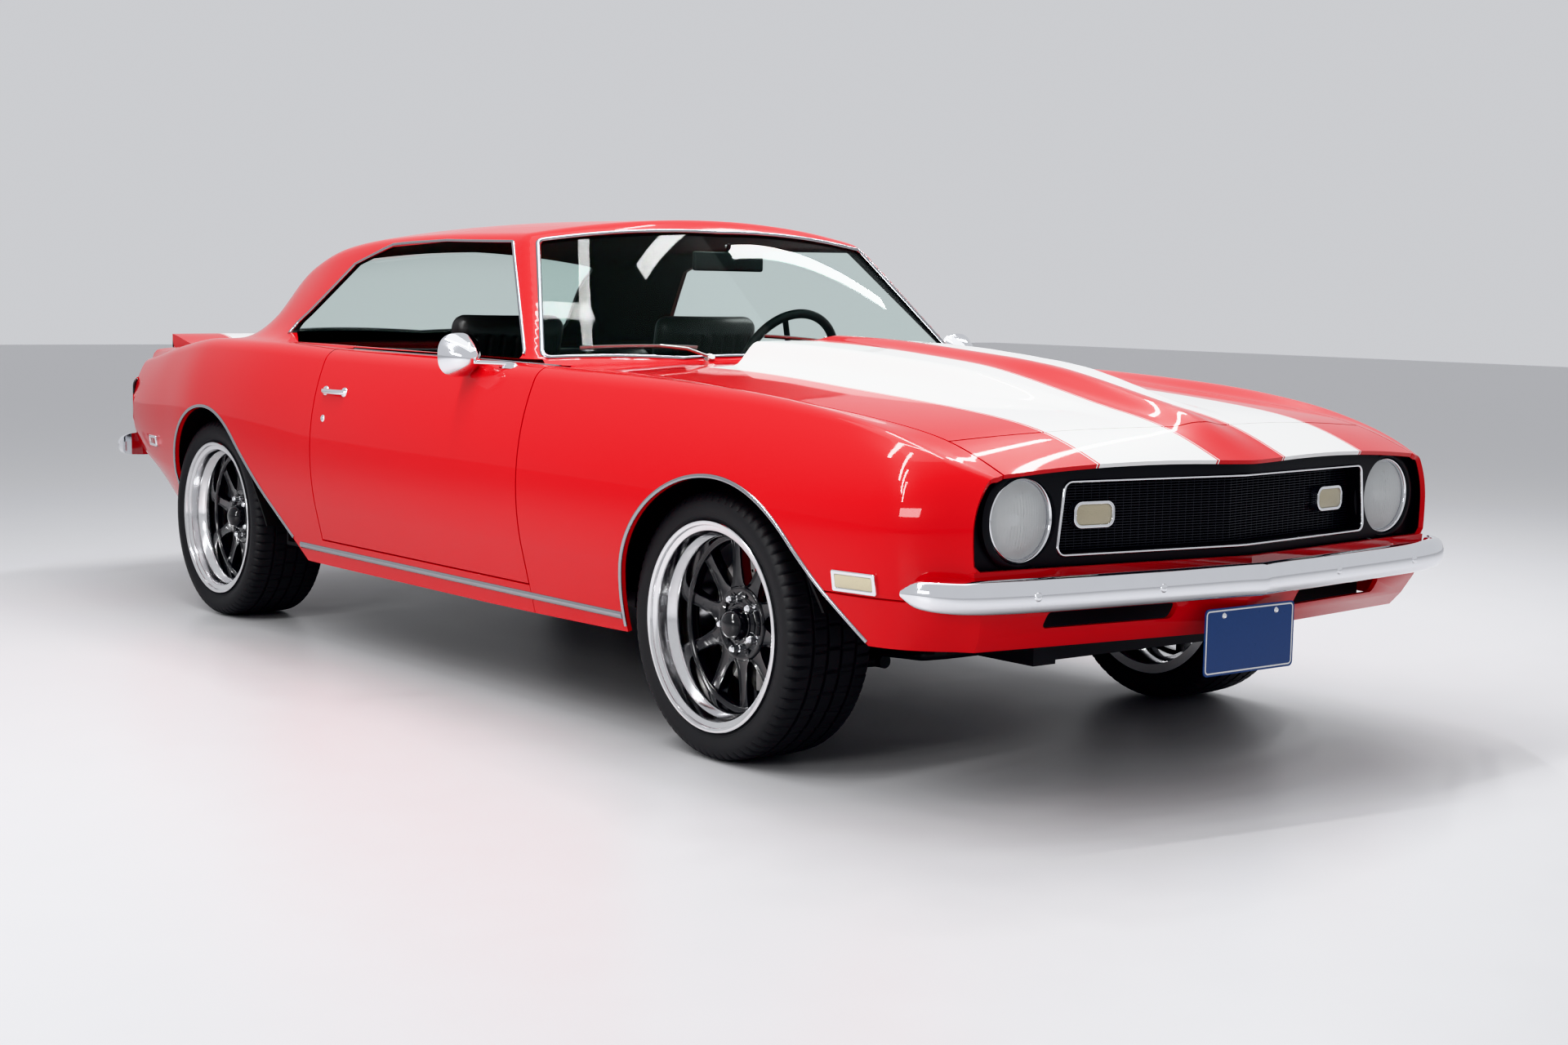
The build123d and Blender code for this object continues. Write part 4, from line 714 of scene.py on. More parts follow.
RED = (0.62, 0.0020, 0.0050)
CLEAR_COAT = {"slot": Slot.RED, "coat": 0.75, "grain": 320, "bump": 0.012, "rough_vary": 0.02, "shine": 0.08}
RED_PAINT = Finish("red_body_paint", RED, 0.30, vary=0.02, **CLEAR_COAT)
STRIPED_PAINT = StripedPaint("striped_body_paint", RED, 0.30, **CLEAR_COAT)
UNDERCOAT = Finish("satin_black_undercoat", (0.012, 0.012, 0.012), 0.62, grain=180, bump=0.3)
GLOSS_BLACK = Finish("gloss_black_enamel", (0.008, 0.008, 0.009), 0.16, coat=0.8, grain=200, bump=0.02)
SATIN_BLACK = Finish("satin_black_paint", (0.014, 0.014, 0.015), 0.42, grain=160, bump=0.06)
CHROME = Finish("chrome_plate", (0.86, 0.87, 0.89), 0.055, Slot.CHROME, 1.0, vary=0.02, grain=24, bump=0.008,
                rough_vary=0.015)
TRIM_STEEL = Finish("bright_trim_steel", (0.44, 0.45, 0.47), 0.15, Slot.CHROME, 1.0, vary=0.03, bump=0.02,
                    rough_vary=0.03)
POLISHED = Finish("polished_aluminium", (0.80, 0.80, 0.81), 0.13, Slot.ALLOY, 1.0, vary=0.04, grain=90,
                  bump=0.02, rough_vary=0.04)
BARE_STEEL = Finish("machined_steel", (0.42, 0.41, 0.40), 0.34, Slot.STEEL, 1.0, grain=140, bump=0.06)
CAST_IRON = Finish("cast_iron", (0.05, 0.048, 0.046), 0.68, Slot.IRON, 0.5, grain=260, bump=0.5)
RED_CALIPER = Finish("red_caliper_paint", (0.45, 0.008, 0.01), 0.32, Slot.IRON, coat=0.4, grain=120)
RUBBER = Finish("tyre_rubber", (0.022, 0.022, 0.023), 0.58, Slot.TYRE, grain=420, bump=0.25, vary=0.15)
SHIELD_GLASS = Finish("tinted_glass", (0.80, 0.90, 0.87), 0.0, Slot.GLASS, vary=0.0, bump=0.0, rough_vary=0.0,
                      transmission=1.0, ior=1.12)
LAMP_GLASS = Finish("lamp_glass", (0.96, 0.97, 0.98), 0.01, Slot.LAMP, vary=0.0, grain=70, rough_vary=0.0,
                    transmission=1.0, ior=1.38)
# The lamp bowl's metal is made dull and dark, painted shade for the dim inside of the lamp behind its glass.
REFLECTOR_WITH_PAINTED_SHADE = Finish("lamp_reflector_painted_shade", (0.36, 0.37, 0.39), 0.16, Slot.CHROME, 1.0)
CLEAR_LENS = Finish("clear_marker_lens", (0.56, 0.50, 0.36), 0.10, Slot.LAMP, coat=0.5, grain=420, bump=0.8)
RED_LENS = Finish("red_lamp_lens", (0.36, 0.006, 0.008), 0.10, Slot.LENS, coat=0.6, grain=260, bump=0.3)
BLACK_PLASTIC = Finish("black_moulded_plastic", (0.012, 0.012, 0.013), 0.40, Slot.PLASTIC, grain=300,
                       bump=0.12)
GRILLE_BLACK = Finish("grille_moulded_black", (0.052, 0.052, 0.056), 0.24, Slot.PLASTIC, grain=300)
VINYL = Finish("black_vinyl", (0.016, 0.016, 0.018), 0.44, Slot.VINYL, grain=380, bump=0.35)
PLATE_BLUE = Finish("blue_plate_enamel", (0.006, 0.045, 0.19), 0.30, Slot.PLATE, coat=0.5,
                    grain=120, bump=0.02)
PLATE_WHITE = Finish("white_plate_edge", (0.80, 0.80, 0.80), 0.35, Slot.PLATE, grain=120, bump=0.02)
ALUMINISED = Finish("aluminised_pipe", (0.40, 0.40, 0.38), 0.45, Slot.EXHAUST, 0.9, grain=120, bump=0.15)
FLOOR_PAINT = Finish("pale_studio_floor", (0.60, 0.60, 0.61), 0.36, vary=0.02, grain=6,
                     bump=0.0, rough_vary=0.03)


# Pieces on the frame

def dress(obj: Object, *finishes: Finish, body: str = "car_body", node: str = "",
          slot: Optional[Slot] = None) -> Object:
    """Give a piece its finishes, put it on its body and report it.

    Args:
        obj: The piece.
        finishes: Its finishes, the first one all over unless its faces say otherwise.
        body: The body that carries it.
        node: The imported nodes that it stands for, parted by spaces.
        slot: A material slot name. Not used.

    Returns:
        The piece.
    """
    obj.data.materials.clear()
    for finish in finishes:
        obj.data.materials.append(finish.material())
    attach(obj, body)
    if node:
        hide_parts(*node.split())
    log.info("%s on %s: %d faces", obj.name, body, len(obj.data.polygons))
    return obj


def dress_both(left: Object, finish: Finish, degrees: float, body: str = "car_body", node: str = "",
               slot: Optional[Slot] = None) -> None:
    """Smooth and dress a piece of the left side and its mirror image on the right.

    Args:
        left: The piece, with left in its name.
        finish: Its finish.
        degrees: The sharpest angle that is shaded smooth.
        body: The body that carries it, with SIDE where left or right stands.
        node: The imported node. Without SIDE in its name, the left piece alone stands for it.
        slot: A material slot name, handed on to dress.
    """
    smooth(left, degrees)
    right = mirrored_copy(left, left.name.replace("left", "right"))
    for piece, (_, side) in zip((left, right), SIDES):
        mine = node.replace("SIDE", side) if piece is left or "SIDE" in node else ""
        dress(piece, finish, body=body.replace("SIDE", side), node=mine, slot=slot)


def set_faces(obj: Object, index: int, test: Callable[[bpy.types.MeshPolygon], bool]) -> None:
    """Give the faces that pass a test one of the piece's finishes.

    Args:
        obj: The piece.
        index: The finish's number.
        test: The test of a face.
    """
    for polygon in obj.data.polygons:
        if test(polygon):
            polygon.material_index = index


# The body's form

def smooth_curve(xs: Array, ys: Array, at: Array) -> Array:
    """Return a smooth curve through points that never overshoots.

    Args:
        xs: The points' places.
        ys: The points' values.
        at: Places where it is read.

    Returns:
        The values there.
    """
    h, d = np.diff(xs), np.diff(ys) / np.diff(xs)
    m = np.zeros_like(ys)
    m[0], m[-1] = d[0], d[-1]
    for i in range(1, len(ys) - 1):
        if d[i - 1] * d[i] > 0:
            w1, w2 = 2 * h[i] + h[i - 1], h[i] + 2 * h[i - 1]
            m[i] = (w1 + w2) / (w1 / d[i - 1] + w2 / d[i])
    k = np.clip(np.searchsorted(xs, at, side="right") - 1, 0, len(xs) - 2)
    h = xs[k + 1] - xs[k]
    t = np.clip((at - xs[k]) / h, 0, 1)
    return ((2 * t ** 3 - 3 * t ** 2 + 1) * ys[k] + (3 * t ** 2 - 2 * t ** 3) * ys[k + 1]
            + h * ((t ** 3 - 2 * t ** 2 + t) * m[k] + (t ** 3 - t ** 2) * m[k + 1]))


def blend(gap: Array, reach: Array) -> Array:
    """Return how much two surfaces that meet are rounded into one another, from the gap between them."""
    h = np.maximum(reach - np.abs(gap), 0) / reach
    return h * h * reach / 4


@dataclass
class Table:
    """Rows of sizes along the car, read at any distance on smooth curves."""

    rows: Sequence
    blur: float = 0.040
    step: float = 0.005
    start: float = field(init=False)
    values: Array = field(init=False)

    def __post_init__(self) -> None:
        """Sample every column on a fine scale and even out its bends."""
        data = np.array(self.rows, float) / 1000.0
        xs = data[:, 0]
        self.start = xs[0]
        at = np.arange(xs[0], xs[-1] + self.step, self.step)
        reach = int(self.blur * 3 / self.step)
        weights = np.exp(-0.5 * (np.arange(-reach, reach + 1) * self.step / self.blur) ** 2)
        weights /= weights.sum()
        columns = []
        for ys in data.T[1:]:
            curve = smooth_curve(xs, ys, at)
            before = curve[0] + (curve[1] - curve[0]) * np.arange(-reach, 0)
            after = curve[-1] + (curve[-1] - curve[-2]) * np.arange(1, reach + 1)
            columns.append(np.convolve(np.concatenate([before, curve, after]), weights, mode="valid"))
        self.values = np.array(columns)

    def at(self, y: Array) -> list:
        """Read every column.

        Args:
            y: Distances along.

        Returns:
            The columns' values there.
        """
        place = (np.asarray(y, float) - self.start) / self.step
        place = np.clip(place, 0, self.values.shape[1] - 1.001)
        low = place.astype(int)
        part = place - low
        return [column[low] * (1 - part) + column[low + 1] * part for column in self.values]


@dataclass
class BodyForm:
    """The car's outer form as smooth functions: the side, the top and the tail and nose ends."""

    body: Table = field(default_factory=lambda: Table(BODY_SECTIONS))
    hood: Table = field(default_factory=lambda: Table(HOOD_SHAPE, blur=0.05))
    cabin: Table = field(default_factory=lambda: Table(CABIN_SECTIONS, blur=0.035))
    ramp: float = 0.080
    ridge_half: float = 0.098
    top_cols: int = 64
    side_cols: tuple = (8, 12, 10, 3)

    def base_top(self, x: Array, y: Array) -> Array:
        """Return the height of the body's top, out to its shoulder.

        Args:
            x: Distances out from the middle.
            y: Distances along.

        Returns:
            The heights.
        """
        crown, seam, peak_in, peak_z = self.body.at(y)[:4]
        peak = HALF_WIDTH - peak_in
        fall = crown - seam
        inside = crown - fall * (x / HOOD_HALF) ** 2
        run = np.maximum(peak - HOOD_HALF, 0.012)
        t = np.clip((x - HOOD_HALF) / run, 0, 1)
        slope = -2 * fall / HOOD_HALF
        outside = ((2 * t ** 3 - 3 * t ** 2 + 1) * seam + (t ** 3 - 2 * t ** 2 + t) * run * slope
                   + (3 * t ** 2 - 2 * t ** 3) * peak_z)
        return np.where(x <= HOOD_HALF, inside, outside)

    def hood_top(self, x: Array, y: Array) -> Array:
        """Return the height of the hood and header, whose middle and ridge stand over the body's top.

        Args:
            x: Distances out from the middle.
            y: Distances along.

        Returns:
            The heights.
        """
        rise, half, ridge = self.hood.at(y)
        lift = rise * smoothstep((half + self.ramp - x) / self.ramp)
        crest = np.cos(np.pi / 2 * np.clip(x / self.ridge_half, 0, 1)) ** 2
        return self.base_top(x, y) + (lift + ridge * crest)

    def cabin_top(self, x: Array, y: Array, inset: float = 0.0) -> Array:
        """Return the height of the roof and the cabin's sides.

        Args:
            x: Distances out from the middle.
            y: Distances along.
            inset: How far inside the outer surface.

        Returns:
            The heights.
        """
        base, rail_x, rail_z, r, crown = self.cabin.at(y)
        base, rail_x = base - inset, rail_x - inset * 0.55
        rail_z, crown = rail_z - inset, crown - inset
        rise = crown - rail_z
        big = (rail_x ** 2 + rise ** 2) / (2 * rise)
        delta = np.arcsin(rail_x / big)
        cx, cz = rail_x - r * np.sin(delta), rail_z - r * np.cos(delta)
        vx, vz = base - cx, CABIN_BASE - cz
        phi = np.arctan2(vz, vx) + np.arccos(np.clip(r / np.hypot(vx, vz), -1, 1))
        tx, tz = cx + r * np.cos(phi), cz + r * np.sin(phi)
        roof = crown - big + np.sqrt(np.maximum(big ** 2 - x ** 2, 0))
        rail = cz + np.sqrt(np.maximum(r ** 2 - (x - cx) ** 2, 0))
        side = tz + (CABIN_BASE - tz) * (x - tx) / (base - tx)
        return np.where(x <= rail_x, roof, np.where(x <= tx, rail, side))

    def shield_top(self, x: Array, y: Array, inset: float = 0.0) -> Array:
        """Return the height of the windshield's surface.

        Args:
            x: Distances out from the middle.
            y: Distances along.
            inset: How far inside the outer surface.

        Returns:
            The heights.
        """
        sag = -(SHIELD_RADIUS - np.sqrt(SHIELD_RADIUS ** 2 - x ** 2)) - inset
        run = (y - SHIELD_BASE[0] + math.cos(SHIELD_RAKE) * sag) / math.sin(SHIELD_RAKE)
        return SHIELD_BASE[1] + math.cos(SHIELD_RAKE) * run + math.sin(SHIELD_RAKE) * sag

    def top(self, x: Array, y: Array) -> Array:
        """Return the height of everything seen from above: body, cabin and the blend between them.

        Args:
            x: Distances out from the middle.
            y: Distances along.

        Returns:
            The heights.
        """
        base, cabin, shield = self.base_top(x, y), self.cabin_top(x, y), self.shield_top(x, y)
        cabin = np.minimum(cabin, shield) - blend(cabin - shield, 0.020)
        spread = smoothstep((y - (REAR_AXLE - 0.72)) / 0.42) * smoothstep((x - 0.54) / 0.14)
        return np.maximum(base, cabin) + blend(base - cabin, 0.010 + 0.120 * spread)

    def side(self, part: str, t: Array, y: Array) -> tuple:
        """Return places down the side.

        Args:
            part: shoulder, upper, lower or foot.
            t: Share of the way down that part.
            y: Distance along.

        Returns:
            The distances out and the heights.
        """
        _, _, peak_in, peak_z, r, wide_in, wide_z, low_in, low_z, foot_in, foot_z = self.body.at(y)
        peak, wide, low = HALF_WIDTH - peak_in, HALF_WIDTH - wide_in, HALF_WIDTH - low_in
        w, h = wide - peak, peak_z - r - wide_z
        short = w <= r + 0.002
        peak = np.where(short, wide - r - 0.002, peak)
        w = np.where(short, r + 0.002, w)
        big = (w * w + h * h - r * r) / (2 * (w - r))
        phi = np.arcsin(np.clip(h / (big - r), -1, 1))
        if part == "shoulder":
            angle = np.pi / 2 + (phi - np.pi / 2) * t
            return peak + r * np.cos(angle), peak_z - r + r * np.sin(angle)
        if part == "upper":
            angle = phi * (1 - t)
            return wide - big + big * np.cos(angle), wide_z + big * np.sin(angle)
        dx, dz = wide - low, wide_z - low_z
        round_r = (dx * dx + dz * dz) / (2 * dx)
        psi = np.arcsin(np.clip(dz / round_r, -1, 1))
        if part == "lower":
            return wide - round_r + round_r * np.cos(psi * t), wide_z - round_r * np.sin(psi * t)
        return low + (HALF_WIDTH - foot_in - low) * t, low_z + (foot_z - low_z) * t

    def sheet(self, start: float, end: float, step: float, top: Callable, ends: bool = True) -> tuple:
        """Return half of the body's surface as a grid.

        Args:
            start: First station.
            end: Last station.
            step: Distance between stations.
            top: The height function of the top.
            ends: Follow the V of the nose and the bow of the tail.

        Returns:
            Arrays of x, y and z, one row a station.
        """
        stations = np.linspace(start, end, int(round((end - start) / step)) + 1)
        columns = [("top", u) for u in np.linspace(0, 1, self.top_cols)]
        for part, count in zip(("shoulder", "upper", "lower", "foot"), self.side_cols):
            columns += [(part, t) for t in np.linspace(0, 1, count + 1)[1:]]
        xs, ys, zs = [], [], []
        for part, t in columns:
            y = stations.copy()
            for _ in range(12 if ends else 1):
                if part == "top":
                    x, z = self.side("shoulder", 0.0, y)
                    x = x * t
                else:
                    x, z = self.side(part, t, y)
                if ends:
                    low = NOSE_TIP + NOSE_SLOPE * np.hypot(x, 0.03) - NOSE_SLOPE * 0.03
                    y = np.minimum(np.maximum(stations, low), TAIL_LINE - TAIL_BOW * x * x)
            if part == "top":
                z = top(x, y)
            xs.append(x)
            ys.append(y)
            zs.append(z)
        return np.array(xs).T, np.array(ys).T, np.array(zs).T

    def half_mesh(self, name: str, start: float, end: float, step: float,
                  top: Optional[Callable] = None) -> Object:
        """Return half of the body's surface as an object, faces outward.

        Args:
            name: The object's name.
            start: First station.
            end: Last station.
            step: Distance between stations.
            top: The height function of the top, if not the plain body's.

        Returns:
            The object.
        """
        sheet = self.sheet(start, end, step, top or self.base_top)
        obj = add_mesh(name, np.stack([part.ravel() for part in sheet], axis=1), grid_faces(*sheet[0].shape))
        merge_close(obj)
        return obj


class Skin:
    """The whole uncut surface, kept to take true normals from and to lay trim on."""

    def __init__(self, form: BodyForm, top: Callable) -> None:
        """Sample the surface and its normals.

        Args:
            form: The body's form.
            top: The height function of the top.
        """
        x, y, z = form.sheet(FRONT_AXLE - 0.90, REAR_AXLE + 0.93, 0.015, top, ends=False)
        rows, cols = x.shape
        points = np.stack([x, y, z], axis=2)
        along = np.gradient(points, axis=0)
        down = np.gradient(points, axis=1)
        normals = np.cross(down, along)
        normals /= np.maximum(np.linalg.norm(normals, axis=2, keepdims=True), 1e-9)
        if normals[rows // 2, 2, 2] < 0:
            normals = -normals
        self.points = points.reshape(-1, 3)
        self.normals = normals.reshape(-1, 3)
        self.faces = grid_faces(rows, cols)
        self.tree = BVHTree.FromPolygons([Vector(p) for p in self.points], self.faces)

    def normal_at(self, place: Vector, face: int, hand: float) -> Vector:
        """Return the surface's smooth normal.

        Args:
            place: A place on the left half.
            face: The face that it lies on.
            hand: 1 for the left side and -1 for the same place on the right.

        Returns:
            The normal.
        """
        corners = self.faces[face]
        weights = poly_3d_calc([Vector(self.points[i]) for i in corners], place)
        n = np.zeros(3)
        for i, weight in zip(corners, weights):
            n += self.normals[i] * weight
        n[0] *= hand
        return Vector(n).normalized()

    def nearest(self, place: Vector) -> Vector:
        """Return the smooth normal of the surface nearest to a place.

        Args:
            place: The place, on either side of the car.

        Returns:
            The normal.
        """
        hand = -1.0 if place.x < 0 else 1.0
        found, _, face, _ = self.tree.find_nearest(Vector((abs(place.x), place.y, place.z)))
        return self.normal_at(found, face, hand)

    def seen_from(self, start: Sequence, direction: Sequence) -> Optional[tuple]:
        """Find where a ray meets the surface's left half.

        Args:
            start: The ray's start.
            direction: The ray's direction.

        Returns:
            The point and the normal, or None.
        """
        place, _, face, _ = self.tree.ray_cast(Vector(start), Vector(direction).normalized())
        if place is None:
            return None
        return place, self.normal_at(place, face, 1.0)

    def at_side(self, y: float, z: float) -> Optional[tuple]:
        """Return the point and the normal of the left side at a distance along and a height."""
        return self.seen_from((OUTSIDE, y, z), (-1, 0, 0))

    def lend_normals(self, obj: Object, inner: Optional[int] = 1) -> None:
        """Give a panel the true normals of the surface, and its inner faces another finish.

        Args:
            obj: The panel, a thin shell whose outer side lies on the surface.
            inner: The number of the finish of the inner faces, or None.
        """
        mesh = obj.data
        true = [self.nearest(v.co) for v in mesh.vertices]
        loops = [Vector((0, 0, 1))] * len(mesh.loops)
        for polygon in mesh.polygons:
            flat = polygon.normal
            middle = sum((true[v] for v in polygon.vertices), Vector()).normalized()
            facing = flat.dot(middle)
            for loop in polygon.loop_indices:
                corner = true[mesh.loops[loop].vertex_index]
                if facing > 0.86:
                    loops[loop] = corner
                elif facing < -0.86:
                    loops[loop] = -corner
                else:
                    loops[loop] = flat
            edge = facing < 0.6 and polygon.center.z > BELT - 0.02
            if inner is not None and (facing < -0.5 or edge):
                polygon.material_index = inner
            polygon.use_smooth = True
        mesh.normals_split_custom_set(loops)


def arch_outline(axle: float, arch: tuple, grow: float = 0.0, drop: float = 0.12) -> list:
    """Return a wheel opening's outline as pairs along and up, from its leading foot over the top.

    Args:
        axle: The axle's distance along.
        arch: Centre ahead of the axle, centre z, radius and leading slope.
        grow: How much larger it is.
        drop: How far the leading slope runs past the arc.

    Returns:
        The outline.
    """
    ahead, height, radius, slope = arch
    r, a = radius + grow, math.radians(slope)
    middle = axle - ahead
    lead = (middle - r * math.cos(a), height + r * math.sin(a))
    toe = (lead[0] - drop * math.sin(a) / math.cos(a), lead[1] - drop)
    points = [toe]
    for k in range(41):
        angle = a + (math.pi - a) * k / 40
        points.append((middle - r * math.cos(angle), height + r * math.sin(angle)))
    return points


def arch_cutter(axle: float, arch: tuple) -> Object:
    """Return a cutter in the shape of a wheel opening.

    Args:
        axle: The axle's distance along.
        arch: Centre ahead of the axle, centre z, radius and leading slope.

    Returns:
        The cutter, on the left side.
    """
    line = arch_outline(axle, arch, drop=0.42)
    return prism(line + [(line[-1][0], line[0][1])], *ALONG, 0.45, 1.2)


def window_outline() -> list:
    """Return the side window opening as pairs along and up."""
    points = [(FRONT_AXLE + 0.968, BELT + 0.004), (FRONT_AXLE + 1.290, ROOF - 0.080),
              (REAR_AXLE - 1.080, ROOF - 0.077),
              (REAR_AXLE - 0.760, ROOF - 0.090), (REAR_AXLE - 0.560, ROOF - 0.146),
              (REAR_AXLE - 0.345, BELT + 0.070),
              (REAR_AXLE - 0.345, BELT + 0.040), (REAR_AXLE - 0.420, BELT + 0.012)]
    return rounded(points, 0.014)


def shield_axes() -> tuple:
    """Return the windshield plane's origin, across and up directions."""
    up = (0, math.sin(SHIELD_RAKE), math.cos(SHIELD_RAKE))
    return (0, *SHIELD_BASE), (1, 0, 0), up


def shield_outline(inset: float) -> list:
    """Return the windshield opening.

    Args:
        inset: How far its edge is drawn in.

    Returns:
        Pairs across and up its plane.
    """
    low, high = 0.735 - inset, 0.578 - inset
    left = [(-low, 0.138 + inset), (-low * 0.5, 0.044 + inset)]
    points = left + [(0, 0.016 + inset)] + [(-a, b) for a, b in left[::-1]]
    points += [(high, 0.545 - inset), (0, 0.522 - inset), (-high, 0.545 - inset)]
    return rounded(points, 0.022)


def backlight_axes() -> tuple:
    """Return the rear window plane's origin, across and up directions."""
    return (0, REAR_AXLE + 0.010, 1.070), (-1, 0, 0), (0, -0.7071, 0.7071)


def backlight_outline(inset: float) -> list:
    """Return the rear window opening.

    Args:
        inset: How far its edge is drawn in.

    Returns:
        Pairs across and up its plane.
    """
    low, high = 0.560 - inset, 0.492 - inset
    points = [(-low, -0.172 + inset), (0, -0.212 + inset), (low, -0.172 + inset), (high, 0.218 - inset),
              (0, 0.250 - inset), (-high, 0.218 - inset)]
    return rounded(points, 0.045)


@dataclass
class BodyPanels:
    """The painted panels, cut from one smooth surface and each given its own thickness."""

    form: BodyForm
    skin: Skin = field(init=False)
    plain: Skin = field(init=False)
    raised: Skin = field(init=False)
    start: float = FRONT_AXLE - 0.90
    end: float = REAR_AXLE + 0.95
    door_card: float = 0.752
    lip_height: float = 0.893
    corner: float = 0.028
    sheet: float = 0.010

    def __post_init__(self) -> None:
        """Sample the surfaces that lend the panels their normals."""
        form = self.form
        tops = (form.top, form.base_top, form.hood_top)
        self.skin, self.plain, self.raised = (Skin(form, top) for top in tops)

    def thicken(self, obj: Object, depth: float = SKIN) -> None:
        """Give a sheet its thickness, inward."""
        apply_modifier(obj, "SOLIDIFY", thickness=depth, offset=-1.0, use_even_offset=False)

    def shell(self) -> None:
        """Build the roof, pillars, cowl, rockers, quarters and tail as one welded shell."""
        obj = self.form.half_mesh("body_shell_skin", HOOD_REAR, self.end, 0.020, self.form.top)
        belt = BELT + 0.006
        score(obj, ("y", DOOR_FRONT), ("y", DOOR_REAR + GAP), ("x", DOOR_INNER),
              ("z", DOOR_SILL - GAP), ("z", belt),
              ("x", TRUNK_HALF), ("y", TRUNK_FRONT), ("y", HOOD_REAR + 0.001), ("y", TAIL_LINE - 0.5))
        drop_faces(obj, lambda c: c.y < DOOR_FRONT and c.x > DOOR_INNER)
        drop_faces(obj, lambda c: DOOR_FRONT - 0.01 < c.y < DOOR_REAR + GAP and c.x > DOOR_INNER
                   and DOOR_SILL - GAP < c.z < belt)
        drop_faces(obj, lambda c: c.y > TRUNK_FRONT and c.x < TRUNK_HALF)
        mirror_over(obj)
        self.thicken(obj, 0.014)
        arch = arch_cutter(REAR_AXLE, REAR_ARCH)
        for cutter in (prism(window_outline(), *ALONG, -1.2, 1.2),
                       prism(shield_outline(0.0), *shield_axes(), -0.45, 0.45),
                       prism(backlight_outline(0.0), *backlight_axes(), -0.25, 0.25),
                       arch, mirrored_copy(arch, "cutter")):
            carve(obj, cutter)
        dress(obj, RED_PAINT, UNDERCOAT, node="roof_panel cowl_panel rocker_panels quarter_panels")
        self.skin.lend_normals(obj)

    def fenders(self) -> None:
        """Build both front fenders and the strip under the grille that joins them."""
        obj = self.form.half_mesh("fender_skins", self.start, DOOR_FRONT + 0.03, 0.016)
        foot = VALANCE_SEAM + GAP
        keep_side(obj, (HOOD_HALF + GAP, 0, 0), (1, 0, 0))
        keep_side(obj, (0, DOOR_FRONT - GAP, 0), (0, -1, 0))
        score(obj, ("z", foot), ("y", FRONT_AXLE), ("x", DOOR_INNER), ("y", HOOD_REAR))
        drop_faces(obj, lambda c: c.y < FRONT_AXLE and c.z < foot)
        drop_faces(obj, lambda c: c.y > HOOD_REAR and c.x < DOOR_INNER and c.z > 0.7)
        self.front_wall(obj, foot, 0.524)
        self.thicken(obj)
        carve(obj, arch_cutter(FRONT_AXLE, FRONT_ARCH))
        mirror_over(obj)
        dress(obj, RED_PAINT, UNDERCOAT, node="fenders")
        self.plain.lend_normals(obj)

    def front_wall(self, obj: Object, low: float, high: float) -> None:
        """Carry a half panel's front edge across the nose as an upright wall with a rounded corner.

        Args:
            obj: The half panel.
            low: The wall's foot.
            high: The wall's top.
        """
        def at_nose(edge: bmesh.types.BMEdge) -> bool:
            """Return whether an upright open edge lies on the nose between the wall's foot and top."""
            ends = [v.co for v in edge.verts]
            near = all(abs(v.y - (NOSE_TIP + NOSE_SLOPE * v.x - 0.0009)) < 0.004 for v in ends)
            within = all(low - 0.002 < v.z < high + 1e-4 for v in ends)
            return edge.is_boundary and near and within and abs(ends[0].z - ends[1].z) > 1e-4

        def work(mesh: Mesh) -> None:
            """Pull the edge to the middle and round the corner."""
            verts, _, fresh = pull(mesh, [e for e in mesh.edges if at_nose(e)])
            for v in verts:
                v.co.x, v.co.y = 0.0, NOSE_TIP + 0.0002
            corner = [e for e in mesh.edges
                      if not e.is_boundary and sum(f in fresh for f in e.link_faces) == 1]
            bmesh.ops.bevel(mesh, geom=corner, offset=self.corner, offset_type="OFFSET", segments=6,
                            profile=0.5,
                            affect="EDGES", clamp_overlap=True)
        score(obj, ("z", high))
        edit(obj, work)

    def valance(self) -> None:
        """Build the panel under the front bumper, with its side wraps and its two air slots."""
        obj = self.form.half_mesh("front_valance_skin", self.start, FRONT_AXLE - 0.38, 0.014)
        keep_side(obj, (0, 0, VALANCE_SEAM - GAP), (0, 0, -1))
        self.front_wall(obj, 0.30, VALANCE_SEAM - GAP)
        keep_side(obj, (0, 0, 0.345), (0, 0, 1))

        def tuck(mesh: Mesh) -> None:
            """Draw the panel's lower edge rearward."""
            for v in mesh.verts:
                depth = max(0.0, (VALANCE_SEAM - v.co.z) / 0.115)
                front = min(1.0, max(0.0, (FRONT_AXLE - 0.56 - v.co.y) / 0.20))
                v.co.y += 0.062 * depth ** 1.8 * front
        edit(obj, tuck)
        self.thicken(obj)
        slot = rectangle((0.205, 0.392, 0.565, 0.430), 0.012)
        carve(obj, prism(slot, *ACROSS, -FRONT_AXLE + 0.60, -FRONT_AXLE + 0.95))
        carve(obj, arch_cutter(FRONT_AXLE, FRONT_ARCH))
        mirror_over(obj)
        smooth(obj, 50)
        dress(obj, RED_PAINT, node="front_valance")

    def hood_panels(self) -> None:
        """Build the striped hood and the header ahead of it, parted by a V-shaped seam."""
        for name, body, node in (("hood_skin", "hood", "hood"), ("header_skin", "car_body", "header_panel")):
            obj = self.form.half_mesh(name, self.start, HOOD_REAR + 0.02, 0.014, self.form.hood_top)
            keep_side(obj, (HOOD_HALF - GAP, 0, 0), (-1, 0, 0))
            way = 1 if node == "hood" else -1
            keep_side(obj, (0, HEADER_TIP + way * GAP, 0), (-way * HEADER_SLOPE, way, 0))
            if node == "hood":
                keep_side(obj, (0, HOOD_REAR - 0.005, 0), (0, -1, 0))
            mirror_over(obj)
            self.thicken(obj, self.sheet)
            dress(obj, STRIPED_PAINT, UNDERCOAT, body=body, node=node)
            self.raised.lend_normals(obj)

